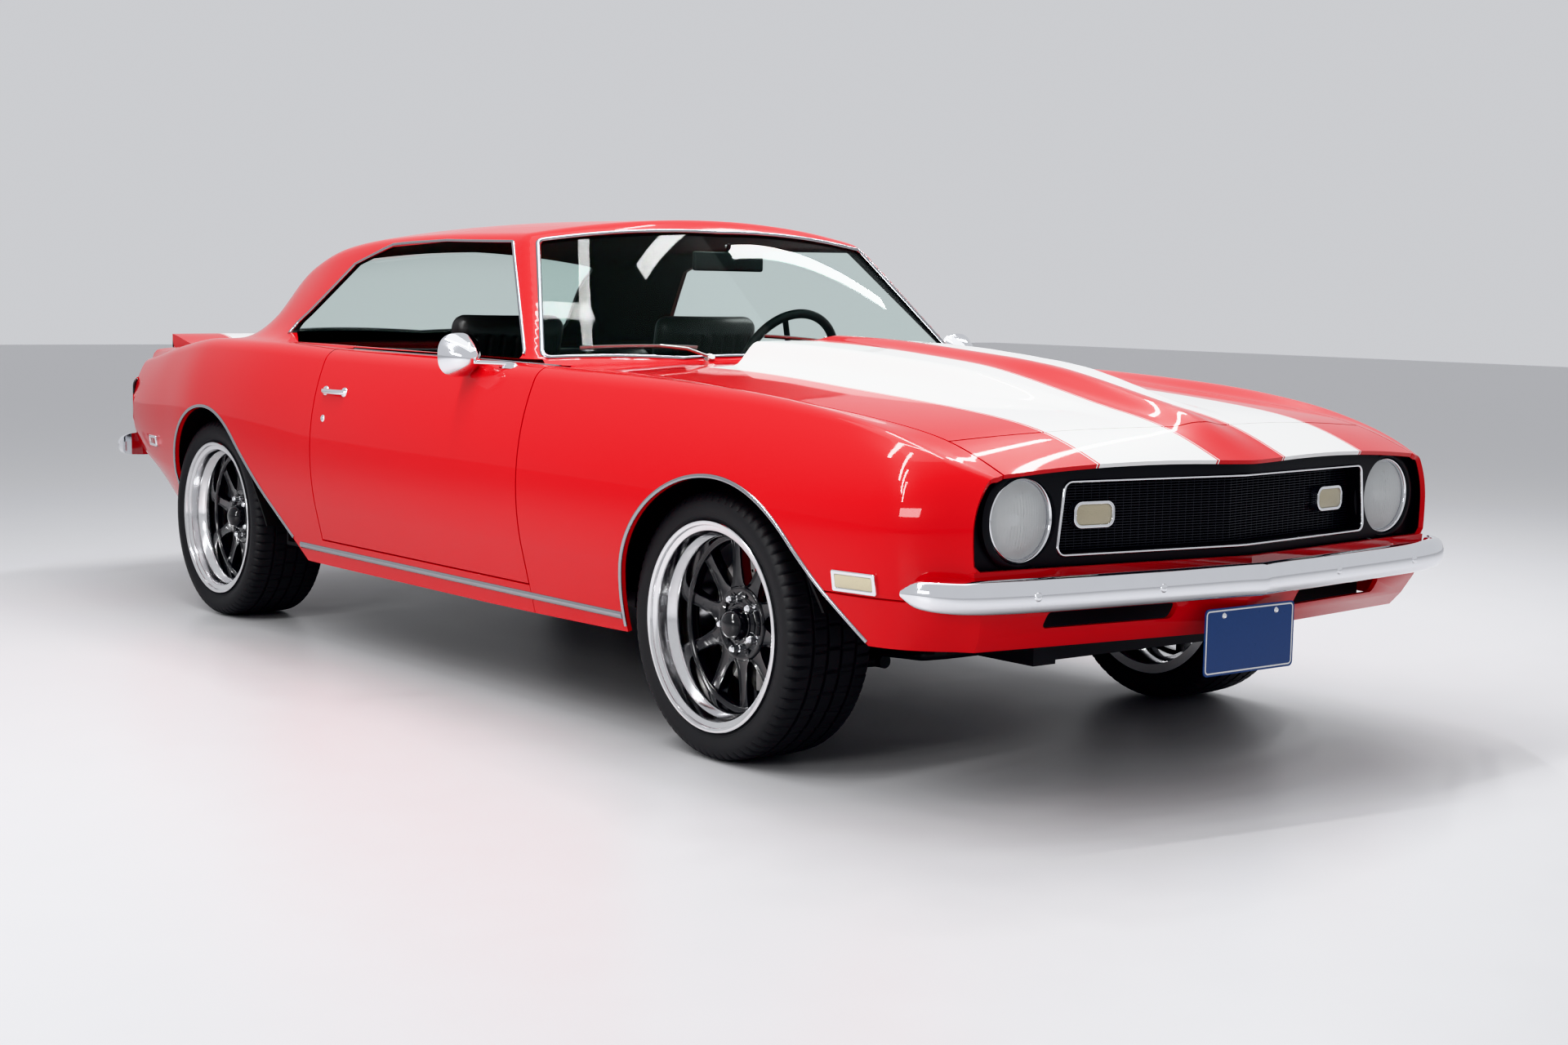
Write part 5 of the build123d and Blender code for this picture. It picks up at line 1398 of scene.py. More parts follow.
    def doors(self) -> None:
        """Build both doors: a smooth outer skin closed by its edges and an inner card."""
        def close(mesh: Mesh) -> None:
            """Carry the skin's edge in to the card and close it there."""
            for v in pull(mesh, [e for e in mesh.edges if e.is_boundary])[0]:
                v.co.x = self.door_card
            bmesh.ops.remove_doubles(mesh, verts=mesh.verts[:], dist=1e-5)
            bmesh.ops.edgeloop_fill(mesh, edges=[e for e in mesh.edges if e.is_boundary])
            bmesh.ops.recalc_face_normals(mesh, faces=mesh.faces[:])
        left = self.form.half_mesh("door_skin_left", DOOR_FRONT - 0.03, DOOR_REAR + 0.03, 0.018)
        for point, normal in (((self.door_card, 0, 0), (1, 0, 0)), ((0, DOOR_FRONT + GAP, 0), (0, 1, 0)),
                              ((0, DOOR_REAR - GAP, 0), (0, -1, 0)), ((0, 0, DOOR_SILL + GAP), (0, 0, 1))):
            keep_side(left, point, normal)
        edit(left, close)
        for hand, side in SIDES:
            obj = left if hand > 0 else mirrored_copy(left, "door_skin_right")
            dress(obj, RED_PAINT, VINYL, body="door_" + side, node="door_" + side)
            self.plain.lend_normals(obj, None)
            set_faces(obj, 1, lambda face: face.normal.x * hand < -0.8)

    def trunk_lid(self) -> None:
        """Build the trunk lid with its upturned trailing edge."""
        def lid_top(x: Array, y: Array) -> Array:
            """Return the height of the lid, which rises to its trailing edge."""
            base = self.form.base_top(x, y)
            return base + smoothstep((y - (TAIL_LINE - 0.33)) / 0.31) * (0.904 - base)

        def trailing(v: bmesh.types.BMVert) -> float:
            """Return where the trailing edge runs at a corner's distance out."""
            return TAIL_LINE - TAIL_BOW * v.co.x ** 2

        def lip(mesh: Mesh) -> None:
            """Fold the trailing edge down, and the flanks beside it."""
            edges = [e for e in mesh.edges
                     if e.is_boundary and all(v.co.y > trailing(v) - 0.002 for v in e.verts)]
            for height, ahead in ((self.lip_height - 0.012, 0.000), (self.lip_height - 0.055, 0.020),
                                  (TRUNK_LIP + 0.005, 0.008)):
                verts, made, _ = pull(mesh, edges)
                for v in verts:
                    v.co.z = height
                    v.co.y = trailing(v) - ahead
                edges = [e for e in made if all(abs(v.co.z - e.verts[0].co.z) < 1e-5 for v in e.verts)]
            flank = [e for e in mesh.edges if e.is_boundary and all(
                v.co.x > TRUNK_HALF - 0.006 and v.co.y > TAIL_LINE - 0.40 and v.co.z > 0.80 for v in e.verts)]
            for v in pull(mesh, flank)[0]:
                v.co.z = min(v.co.z, 0.812)
        obj = self.form.half_mesh("trunk_lid_skin", TRUNK_FRONT - 0.02, self.end, 0.012, lid_top)
        keep_side(obj, (TRUNK_HALF - 0.004, 0, 0), (-1, 0, 0))
        keep_side(obj, (0, TRUNK_FRONT + 0.005, 0), (0, 1, 0))
        edit(obj, lip)
        mirror_over(obj)
        self.thicken(obj, self.sheet)
        smooth(obj, 30)
        dress(obj, STRIPED_PAINT, RED_PAINT, body="trunk_lid", node="trunk_lid")
        set_faces(obj, 1, lambda face: face.normal.z < -0.2)

    def build(self) -> None:
        """Build every painted panel."""
        self.shell()
        self.fenders()
        self.valance()
        self.hood_panels()
        self.doors()
        self.trunk_lid()


# Wheels and tyres

@dataclass
class RoadWheel:
    """One wheel: a deep polished rim, a black spoked centre, its nuts and cap, and the brake disc behind.

    Profiles are pairs of radius and depth behind the lip. Those of cap, nut and disc start at their own foot.
    """

    end: str
    hand: str
    lip_x: float
    radius: float
    width: float
    rim_width: float = 0.245
    spoke_face: float = 0.092
    spoke_thick: float = 0.030
    spoke_count: int = 10
    hub_radius: float = 0.088
    nut_circle: float = 0.0615
    tread_steps: int = 360
    groove: tuple = (0.0070, 0.0008)
    rim_outer: tuple = ((0.2490, 0.0015), (0.2475, 0.0), (0.2420, 0.0), (0.2385, 0.0015), (0.2370, 0.0045),
                        (0.2362, 0.0075), (0.2280, 0.0090), (0.2245, 0.0110), (0.2228, 0.0150),
                        (0.2218, 0.0380), (0.2205, 0.0425), (0.2105, 0.0540), (0.2078, 0.0580),
                        (0.2065, 0.0640), (0.2055, 0.0860))
    rim_inner: tuple = ((0.2140, 0.0520), (0.2303, 0.0340), (0.2303, 0.0160), (0.2490, 0.0100))
    half_spoke: tuple = ((0.0220, 0.097), (0.0180, 0.112), (0.0155, 0.138), (0.0145, 0.170), (0.0160, 0.192),
                         (0.0220, 0.2075))
    hub: tuple = ((0.0, -0.002), (0.046, -0.002), (0.052, 0.004), (0.070, 0.005), (0.078, 0.001),
                  (0.086, 0.001), (0.090, 0.006), (0.090, 0.040), (0.0, 0.040))
    band: tuple = ((0.2062, -0.001), (0.1990, 0.0), (0.1965, 0.004), (0.1965, 0.026), (0.2062, 0.030))
    cap: tuple = ((0.0, -0.044), (0.016, -0.0425), (0.027, -0.038), (0.034, -0.030), (0.0375, -0.020),
                  (0.0385, -0.004), (0.0420, -0.001), (0.0420, 0.004), (0.0, 0.004))
    nut: tuple = ((0.0, 0.024), (0.006, 0.0235), (0.0092, 0.019), (0.0095, 0.004), (0.012, 0.0), (0.0, 0.0))
    disc: tuple = ((0.0, -0.010), (0.070, -0.010), (0.076, -0.004), (0.078, 0.016), (0.163, 0.016),
                   (0.165, 0.018), (0.165, 0.038), (0.163, 0.040), (0.078, 0.040), (0.0, 0.040))
    disc_depth: float = 0.034
    # Profile of each dark spot, painted shade that stands for a drilled hole in the disc.
    hole: tuple = ((0.0, 0.0), (0.0036, 0.0), (0.0036, 0.002), (0.0, 0.002))
    caliper_radii: tuple = (0.184, 0.112)

    @property
    def side(self) -> float:
        """Return 1 on the left and -1 on the right."""
        return 1.0 if self.hand == "left" else -1.0

    @property
    def centre(self) -> tuple:
        """Return the middle of the lip plane."""
        axle = FRONT_AXLE if self.end == "front" else REAR_AXLE
        return (self.side * self.lip_x, axle, self.radius)

    @property
    def body(self) -> str:
        """Return the body that carries the wheel."""
        return self.named("wheel")

    def named(self, name: str) -> str:
        """Return a piece's name with the wheel's own place in it."""
        return f"{name}_{self.end}_{self.hand}"

    def turned(self, name: str, profile: Sequence, segments: int, depth: float = 0.0) -> Object:
        """Return a piece turned about the wheel's axis, whose profile starts at a depth behind the lip."""
        shifted = [(r, depth + d) for r, d in profile]
        return lathe(self.named(name), shifted, self.centre, (-self.side, 0, 0), segments)

    def round_axis(self, depth: float, radius: float, angle: float) -> tuple:
        """Return a place at a depth behind the lip, a radius and an angle from the top."""
        x, y, z = self.centre
        return (x - self.side * depth, y + radius * math.sin(angle), z + radius * math.cos(angle))

    def rim(self) -> None:
        """Build the stepped, polished rim."""
        w = self.rim_width
        inside = ((0.2050, w - 0.034), (0.2220, w), (0.2470, w), (0.2470, w - 0.008), (0.2303, w - 0.012),
                  (0.2303, w - 0.022), (0.2140, w - 0.034))
        obj = self.turned("rim", self.rim_outer + inside + self.rim_inner, 112)
        smooth(obj, 28)
        dress(obj, POLISHED, body=self.body, node=self.body)

    def spoke(self, outline: Sequence, angle: float) -> Object:
        """Return one spoke with a sunk face.

        Args:
            outline: Pairs across and outward.
            angle: The angle that it is turned to.

        Returns:
            The spoke.
        """
        x, y, z = self.centre
        outer = x - self.side * self.spoke_face
        inner = outer - self.side * self.spoke_thick
        obj = prism(outline, (0, y, z), (0, math.cos(angle), -math.sin(angle)),
                    (0, math.sin(angle), math.cos(angle)),
                    min(inner, outer), max(inner, outer), "spoke")

        def sink(mesh: Mesh) -> None:
            """Sink the spoke's face between its edges."""
            faces = [f for f in mesh.faces if f.normal.x * self.side > 0.9]
            bmesh.ops.inset_region(mesh, faces=faces, thickness=0.0042, depth=0.0, use_even_offset=True)
            verts = list({v for f in faces for v in f.verts})
            bmesh.ops.translate(mesh, verts=verts, vec=(-self.side * 0.006, 0, 0))
        edit(obj, sink)
        return obj

    def spokes(self) -> None:
        """Build the black centre: ten spokes that grow out of a broad hub and end in a ring."""
        root = self.hub_radius * math.tan(math.pi / self.spoke_count)
        half = ((root, 0.060), (root, self.hub_radius)) + self.half_spoke
        outline = [(-a, b) for a, b in half] + [(a, b) for a, b in reversed(half)]
        count = self.spoke_count
        parts = [self.spoke(outline, 2 * math.pi * (i + 0.17) / count) for i in range(count)]
        parts += [self.turned("hub", self.hub, 80, self.spoke_face),
                  self.turned("band", self.band, 96, self.spoke_face)]
        obj = join(parts, self.named("spokes"))
        soften(obj, 0.0012, 50)
        smooth(obj, 40)
        dress(obj, GLOSS_BLACK, body=self.body)

    def cap_and_nuts(self) -> None:
        """Build the domed cap and the five bright nuts."""
        cap = self.turned("cap", self.cap, 56, self.spoke_face)
        smooth(cap, 40)
        dress(cap, GLOSS_BLACK, body=self.body)
        places = [self.round_axis(self.spoke_face + 0.006, self.nut_circle, 2 * math.pi * (i + 0.35) / 5)
                  for i in range(5)]
        nuts = [lathe("nut", self.nut, place, (self.side, 0, 0), 12) for place in places]
        obj = join(nuts, self.named("lug_nuts"))
        smooth(obj, 30)
        dress(obj, CHROME, body=self.body)

    def brake(self) -> None:
        """Build the brake disc and its bell, with dark spots of painted shade where each drilled hole would
        be.
        """
        back = self.spoke_face + self.disc_depth
        disc = self.turned("brake_disc", self.disc, 96, back)
        smooth(disc, 30)
        dress(disc, BARE_STEEL, body=self.body)
        # No hole is cut: each is a thin satin black disc on the brake disc's face, painted shade.
        hole_shade_spots = []
        for i in range(12):
            for k in range(3):
                place = self.round_axis(back + 0.0157, 0.096 + 0.026 * k, 2 * math.pi * (i + 0.28 * k) / 12)
                hole_shade_spots.append(lathe("hole", self.hole, place, (-self.side, 0, 0), 10))
        dress(join(hole_shade_spots, self.named("disc_hole_shade")), UNDERCOAT, body=self.body, slot=Slot.IRON)

    def caliper(self) -> None:
        """Build the red caliper that straddles the disc ahead of the axle."""
        x, y, z = self.centre
        near = x - self.side * (self.spoke_face + self.disc_depth + 0.003)
        far = near - self.side * 0.055
        outline = []
        for r, start, sweep_angle in zip(self.caliper_radii, (2, 60), (58, -58)):
            for k in range(13):
                angle = math.radians(start + sweep_angle * k / 12)
                outline.append((-r * math.sin(angle), r * math.cos(angle)))
        obj = prism(outline, (0, y, z), (0, 1, 0), (0, 0, 1), min(near, far), max(near, far),
                    self.named("caliper"))
        soften(obj, 0.006, segments=3)
        smooth(obj, 40)
        dress(obj, RED_CALIPER, body="knuckle_" + self.hand if self.end == "front" else "car_body")

    def tyre_ring(self) -> list:
        """Return the tyre's section as pairs of radius and distance from its middle plane."""
        half, r = self.width / 2, self.radius
        wall = [(0.2310, 0.1050), (0.2480, 0.1120), (0.2530, 0.1165), (0.2560, 0.1185), (0.2590, 0.1180),
                (0.2640, 0.1195), (0.2760, half - 0.0005), (0.2880, half), (r - 0.0220, half - 0.0025),
                (r - 0.0130, half - 0.0075), (r - 0.0075, half - 0.0140), (r - 0.0040, half - 0.0220)]
        deep, slant = self.groove
        tread = []
        for middle, wide, edge in ((0.020, 0.0045, 0.0002), (0.062, 0.0045, 0.0012)):
            tread += [(r - 0.0002, middle - wide), (r - deep, middle - wide + slant),
                      (r - deep, middle + wide - slant), (r - edge, middle + wide)]
        right = tread + [(r - 0.0024, half - 0.0330)] + wall[::-1]
        left = [(a, -b) for a, b in reversed(right)]
        return left + right + [(0.2310, 0.1050 - 0.004), (0.2310, -0.1050 + 0.004)]

    def sipe(self, step: int, radius: float, across: float) -> float:
        """Return how deep the tread's small cuts are.

        Args:
            step: The step round the tyre.
            radius: The point's radius.
            across: Its distance from the middle plane.

        Returns:
            The depth.
        """
        if radius > self.radius - 0.0160 and abs(across) > 0.0675:
            return 0.0050 if (step + (2 if across > 0 else 0)) % 5 == 0 else 0.0
        if radius > self.radius - 0.0010 and abs(across) > 0.012:
            return 0.0048 if (step + int(abs(across) * 200)) % 10 == 0 else 0.0
        return 0.0

    def tyre(self) -> None:
        """Build the tyre: rounded walls, a rim guard and a grooved tread."""
        ring = self.tyre_ring()
        middle = self.side * (self.lip_x - self.rim_width / 2)
        verts = []
        for k in range(self.tread_steps):
            angle = 2 * math.pi * k / self.tread_steps
            for r, w in ring:
                deep = r - self.sipe(k, r, w)
                verts.append((middle + w, self.centre[1] + deep * math.sin(angle),
                              self.radius + deep * math.cos(angle)))
        obj = add_mesh(self.named("tyre_skin"), verts,
                       grid_faces(self.tread_steps, len(ring), wrap_rows=True, wrap_cols=True))
        face_out(obj)
        smooth(obj, 24)
        dress(obj, RUBBER, body=self.body, node=self.named("tyre"))

    def build(self) -> None:
        """Build the whole wheel."""
        self.rim()
        self.spokes()
        self.cap_and_nuts()
        self.brake()
        self.caliper()
        self.tyre()


# Bumpers and tail

# From the middle to one end: distance out, distance along, z, half height, depth. Millimetres.
FRONT_BUMPER = (
    (0, F_MM - 932, 474, 38, 30), (40, F_MM - 924, 474, 38, 30), (300, F_MM - 893, 473, 38, 30),
    (600, F_MM - 858, 473, 38, 30), (760, F_MM - 831, 474, 37, 30), (824, F_MM - 806, 475, 35, 28),
    (866, F_MM - 766, 477, 33, 26), (886, F_MM - 724, 479, 29, 22), (893, F_MM - 700, 480, 22, 16),
)
REAR_BUMPER = (
    (0, R_MM + 1020, 505, 42, 30), (40, R_MM + 1019, 505, 42, 30), (300, R_MM + 1008, 505, 42, 30),
    (600, R_MM + 972, 505, 42, 30), (740, R_MM + 941, 505, 41, 30), (800, R_MM + 908, 506, 38, 28),
    (842, R_MM + 860, 508, 32, 24), (862, R_MM + 815, 510, 24, 18), (867, R_MM + 792, 511, 18, 14),
)


@dataclass
class Bumper:
    """A slim chrome blade with tapered round ends and its bolts."""

    name: str
    table: Sequence
    way: float
    bolts: tuple = (0.300, 0.640)
    rows: int = 90
    tips: tuple = (0.97, 0.88, 0.70, 0.36)
    face: tuple = ((-1.0, -0.99), (-0.86, -1.0), (-0.66, -0.97), (-0.44, -0.88), (-0.25, -0.72),
                   (-0.12, -0.5),
                   (-0.03, -0.25), (0.0, 0.0))
    bolt: tuple = ((0.0, 0.0035), (0.006, 0.003), (0.0095, 0.001), (0.0105, -0.003), (0.0, -0.003))

    def line(self) -> Array:
        """Return the blade's sizes at even steps from the middle to the end."""
        data = np.array(self.table, float) / 1000
        chord = np.concatenate([[0], np.cumsum(np.hypot(np.diff(data[:, 0]), np.diff(data[:, 1])))])
        at = np.linspace(0, chord[-1], self.rows)
        return np.array([smooth_curve(chord, column, at) for column in data.T]).T

    def blade(self) -> Object:
        """Build the blade.

        Returns:
            The blade, smooth but not dressed.
        """
        line = self.line()
        shape = list(self.face) + [(a, -b) for a, b in reversed(self.face[:-1])]
        shape += [(max(-1.0, a - 0.15), b * 0.88) for a, b in reversed(shape) if a > -0.9]
        verts = []
        count, size, last = len(line), len(shape), len(line) - len(self.tips)
        for i, (x, y, z, half, deep) in enumerate(line):
            before, after = line[max(i - 1, 0)], line[min(i + 1, count - 1)]
            run = Vector((after[0] - before[0], after[1] - before[1], 0)) if i else Vector((1, 0, 0))
            out = run.normalized().cross(Vector((0, 0, 1))) * -self.way
            close = 1.0 if i < last else self.tips[i - last]
            verts += [Vector((x, y, z + b * half * close)) + out * (a * deep * (0.4 + 0.6 * close))
                      for a, b in shape]
        obj = add_mesh(self.name + "_blade", verts, grid_faces(count, size, wrap_cols=True))
        close_ring(obj, (count - 1) * size, size)
        mirror_over(obj)
        face_out(obj)
        smooth(obj, 50)
        return obj

    def build(self) -> None:
        """Build the blade and its bolts."""
        blade, line = self.blade(), self.line()
        parts = []
        for x in self.bolts:
            y, z = line[int(np.argmin(np.abs(line[:, 0] - x))), 1:3]
            parts += [lathe("bolt", self.bolt, (hand * x, y, z), (0, self.way, 0), 20) for hand, _ in SIDES]
        bolts = join(parts, self.name + "_bolts")
        smooth(bolts, 50)
        dress(blade, CHROME, node=self.name if self.way < 0 else "")
        dress(bolts, CHROME)


def bowed(name: str, outline: Sequence, inner: float, outer: float) -> Object:
    """Return a plate with a given outline that follows the bow of the tail.

    Args:
        name: The object's name.
        outline: Pairs across and up.
        inner: How far its inner face lies behind the tail's surface, as a negative number.
        outer: How far its outer face lies past the tail's surface.

    Returns:
        The plate.
    """
    obj = prism(outline, *ACROSS, -(TAIL_LINE + outer), -(TAIL_LINE + inner), name)
    reach = int(max(abs(x) for x, _ in outline) / 0.05)
    score(obj, *(("x", 0.05 * k) for k in range(-reach, reach + 1)))

    def work(mesh: Mesh) -> None:
        """Bend the plate."""
        for v in mesh.verts:
            v.co.y -= TAIL_BOW * v.co.x ** 2
    edit(obj, work)
    return obj


@dataclass
class Tail:
    """The bowed tail wall, its black band with a bright edge, the lamps and the filler cap."""

    form: BodyForm
    band: tuple = (-0.795, 0.578, 0.795, 0.748)
    lamp: tuple = (0.392, 0.603, 0.700, 0.722)
    lens_gap: float = 0.006
    lamp_edge: float = 0.009
    cap_shape: tuple = ((0.0, 0.020), (0.012, 0.020), (0.016, 0.017), (0.030, 0.016),
                        (0.034, 0.013), (0.036, 0.006),
                        (0.041, 0.004), (0.043, 0.0), (0.0, 0.0))

    def wall(self) -> None:
        """Build the wall that closes the body between the quarters."""
        x, _, z = self.form.sheet(REAR_AXLE + 0.80, REAR_AXLE + 0.95, 0.02, self.form.base_top)
        side = [(a, b) for a, b in zip(x[-1], z[-1]) if a > TRUNK_HALF and b > TAIL_FOOT]
        half = [(TRUNK_HALF, TRUNK_LIP)] + side + [(side[-1][0] - 0.01, TAIL_FOOT)]
        obj = bowed("tail_wall", half + [(-a, b) for a, b in reversed(half)], -0.016, -0.003)
        smooth(obj, 30)
        dress(obj, RED_PAINT, node="tail_panel")

    def strip(self) -> None:
        """Build the black band and the thin bright line round it."""
        outline = rectangle(self.band, 0.030, 8)
        obj = bowed("tail_band", outline, -0.006, 0.0015)
        smooth(obj, 30)
        dress(obj, SATIN_BLACK)
        path = [(a, TAIL_LINE - TAIL_BOW * a * a + 0.001, b) for a, b in finely(outline, 0.03)]
        normals = [Vector((2 * TAIL_BOW * a, 1, 0)).normalized() for a, _, _ in path]
        line = sweep("tail_band_edge", path, normals, half_round(0.009, 0.005), closed=True)
        smooth(line, 50)
        dress(line, CHROME)

    def lamps(self) -> None:
        """Build both lamps: a bright frame round two red glasses."""
        left, low, right, high = self.lamp
        edge, middle = self.lamp_edge, (left + right) / 2
        frame_piece = bowed("tail_lamp_frame_left", rectangle(self.lamp, 0.010, 5), -0.004, 0.010)
        glasses = []
        spans = ((left + edge, middle - self.lens_gap), (middle + self.lens_gap, right - edge))
        for k, (a, b) in enumerate(spans):
            hole = rectangle((a, low + edge, b, high - edge), 0.006, 4)
            carve(frame_piece, bowed("cutter", hole, 0.002, 0.03))
            glasses.append(bowed(f"tail_lens_left_{k}", hole, -0.002, 0.0075))
            soften(glasses[-1], 0.002, 50, 3)
        soften(frame_piece, 0.002, 50)
        dress_both(frame_piece, CHROME, 40, node="tail_lamps")
        for glass in glasses:
            dress_both(glass, RED_LENS, 40)

    def cap(self) -> None:
        """Build the round filler cap in the middle of the band."""
        middle = (0, TAIL_LINE, (self.band[1] + self.band[3]) / 2)
        obj = lathe("filler_cap", self.cap_shape, middle, (0, 1, 0), 64)
        smooth(obj, 35)
        dress(obj, CHROME)

    def build(self) -> None:
        """Build the tail."""
        self.wall()
        self.strip()
        self.lamps()
        self.cap()


def nose_y(x: float, depth: float) -> float:
    """Return the distance along of a point a depth behind the V-shaped nose."""
    return FRONT_AXLE - 0.885 + depth + NOSE_SLOPE * abs(x)


def nose_normal(x: float) -> Vector:
    """Return the direction that the folded nose faces at a distance out."""
    return Vector((NOSE_SLOPE if x > 0 else -NOSE_SLOPE, -1, 0)).normalized()


def finely(points: Sequence, step: float) -> list:
    """Return a closed outline with its long sides divided.

    Args:
        points: The outline's pairs.
        step: The longest side that isn't divided, about.

    Returns:
        The divided outline.
    """
    out = []
    for i, p in enumerate(points):
        q = points[(i + 1) % len(points)]
        count = max(1, int(math.dist(p, q) / step))
        out += [(p[0] + (q[0] - p[0]) * k / count, p[1] + (q[1] - p[1]) * k / count) for k in range(count)]
    return out


# Grille, lamps and plate

@dataclass
class Front:
    """The folded grille, its bright outline, the lamps and the blank plate.

    Sizes low and high are the opening's half width and height at foot and top. Depths are from the nose.
    """

    low: tuple = (0.519, 0.549)
    high: tuple = (0.500, 0.700)
    bars: int = 25
    bar: tuple = (0.076, 0.0011, 0.014)
    uprights: int = 22
    upright: tuple = (0.080, 0.0012, 0.010, 0.5505, 0.6985)
    # The dark sheet of painted shade behind the bars: depth, half width at its foot, foot, half width at its
    # top, top.
    back: tuple = (0.093, 0.512, 0.551, 0.498, 0.698)
    moulding: tuple = (0.004, 0.034, 0.0075, 0.005)
    lamp: tuple = (0.617, 0.625, 0.086)
    lamp_depth: float = 0.040
    bezel: tuple = ((0.0945, -0.006), (0.098, -0.010), (0.106, -0.010), (0.112, -0.005), (0.113, 0.008),
                    (0.0945, 0.008))
    ring: tuple = ((0.0855, 0.000), (0.0865, -0.0055), (0.0895, -0.0078), (0.0925, -0.0060), (0.0943, 0.000),
                   (0.0943, 0.012), (0.0855, 0.012))
    bowl: tuple = ((0.0, 0.046), (0.020, 0.043), (0.045, 0.033), (0.068, 0.018),
                   (0.084, 0.003), (0.0865, 0.003),
                   (0.070, 0.023), (0.045, 0.039), (0.020, 0.049), (0.0, 0.052))
    shade: tuple = ((0.0, 0.010), (0.012, 0.012), (0.017, 0.018), (0.018, 0.030), (0.0, 0.030))
    flute: float = 0.0012
    flute_pitch: float = 0.0085
    park: tuple = (0.402, 0.628, 0.0565, 0.030)
    park_depth: float = 0.060
    park_edge: float = 0.008
    plate_corner: float = 0.012
    plate_edge: float = 0.006
    bolt: tuple = ((0.0, 0.003), (0.005, 0.0024), (0.007, 0.0), (0.0, 0.0))

    def half_width(self, z: float) -> float:
        """Return the opening's half width at a height."""
        share = (z - self.low[1]) / (self.high[1] - self.low[1])
        return self.low[0] + (self.high[0] - self.low[0]) * share

    def grille(self) -> None:
        """Build the fine bars, the uprights behind them and the dark panel of painted shade at the back."""
        parts = []
        depth, thick, deep = self.bar
        for i in range(self.bars):
            z = self.low[1] + (self.high[1] - self.low[1]) * (i + 0.5) / self.bars
            half = self.half_width(z) - 0.002
            for a, b in ((-half, 0), (0, half)):
                ends = ((a, -1), (b, -1), (b, 1), (a, 1))
                verts = [(x, nose_y(x, depth), z + way * thick) for x, way in ends]
                verts += [(x, y + deep, high) for x, y, high in verts]
                parts.append(add_mesh("bar", verts, [(0, 1, 2, 3), (7, 6, 5, 4), (0, 4, 5, 1), (1, 5, 6, 2),
                                                     (2, 6, 7, 3), (3, 7, 4, 0)]))
        depth, thick, deep, foot, top = self.upright
        for k in range(self.uprights):
            x = (k + 0.5) / self.uprights * 0.49
            for hand, _ in SIDES:
                y = nose_y(x, depth)
                parts.append(box("upright", (hand * x - thick, y, foot), (hand * x + thick, y + deep, top)))
        grille = join(parts, "grille_bars")
        face_out(grille)
        dress(grille, GRILLE_BLACK, node="grille")
        # A dark sheet close behind the bars, painted shade for the inside of the nose.
        depth, half, foot, high_half, top = self.back
        verts = [(x, nose_y(half if x else 0, depth), z) for x, z in (
            (-half, foot), (0, foot), (half, foot), (high_half, top), (0, top), (-high_half, top))]
        panel = add_mesh("grille_back_panel", verts, [(0, 1, 4, 5), (1, 2, 3, 4)])
        apply_modifier(panel, "SOLIDIFY", thickness=0.008, offset=-1.0)
        face_out(panel)
        dress(panel, UNDERCOAT)

    def outline(self) -> None:
        """Build the bright line round the grille."""
        (lx, lz), (hx, hz) = self.low, self.high
        grow, depth, wide, tall = self.moulding
        corners = [(lx + grow, lz - grow), (hx + grow, hz + grow),
                   (-hx - grow, hz + grow), (-lx - grow, lz - grow)]
        points = finely(rounded(corners, 0.016 + grow, 5), 0.03)
        strip = sweep("grille_inner_moulding", [(x, nose_y(x, depth), z) for x, z in points],
                      [nose_normal(x) for x, _ in points], half_round(wide, tall, 0.002), closed=True)
        smooth(strip, 60)
        dress(strip, CHROME)

    def headlamps(self) -> None:
        """Build each round lamp: a shaded bulb, a black bezel, a bright ring, a bowl darkened as painted
        shade and a fluted glass.
        """
        x, z, radius = self.lamp
        for hand, side in SIDES:
            centre = (hand * x, nose_y(x, self.lamp_depth), z)
            for name, profile, segments, degrees, finish in (
                    ("bezel", self.bezel, 72, 40, SATIN_BLACK), ("ring", self.ring, 72, 50, CHROME),
                    ("bowl", self.bowl, 64, 60, REFLECTOR_WITH_PAINTED_SHADE)):
                obj = lathe(f"headlamp_{name}_{side}", profile, centre, (0, 1, 0), segments)
                smooth(obj, degrees)
                dress(obj, finish, node="headlamps" if name == "bowl" and hand > 0 else "")
            dress(self.lens(centre, radius, "headlamp_lens_" + side), LAMP_GLASS)
            shade = lathe("headlamp_shade_" + side, self.shade, centre, (0, 1, 0), 32)
            smooth(shade, 40)
            dress(shade, CHROME)

    def lens(self, centre: tuple, radius: float, name: str) -> Object:
        """Return one domed glass with upright flutes.

        Args:
            centre: The middle of its rim.
            radius: Its radius.
            name: The object's name.

        Returns:
            The glass.
        """
        rings, count, dome = 26, 96, 0.240
        verts = []
        for i in range(rings + 1):
            r = radius * i / rings
            for k in range(count):
                angle = 2 * math.pi * k / count
                dx, dz = r * math.cos(angle), r * math.sin(angle)
                flute = self.flute * math.cos(dx * 2 * math.pi / self.flute_pitch) * (1 - (i / rings) ** 6)
                bulge = math.sqrt(dome * dome - r * r) - math.sqrt(dome * dome - radius * radius)
                groove = flute * (0.4 if abs(dz) < 0.012 else 1.0)
                verts.append((centre[0] + dx, centre[1] + 0.004 - bulge - groove,
                              centre[2] + dz))
        obj = add_mesh(name, verts, grid_faces(rings + 1, count, wrap_cols=True))
        merge_close(obj, 1e-6)
        apply_modifier(obj, "SOLIDIFY", thickness=0.003, offset=1.0)
        face_out(obj)
        smooth(obj, 50)
        return obj

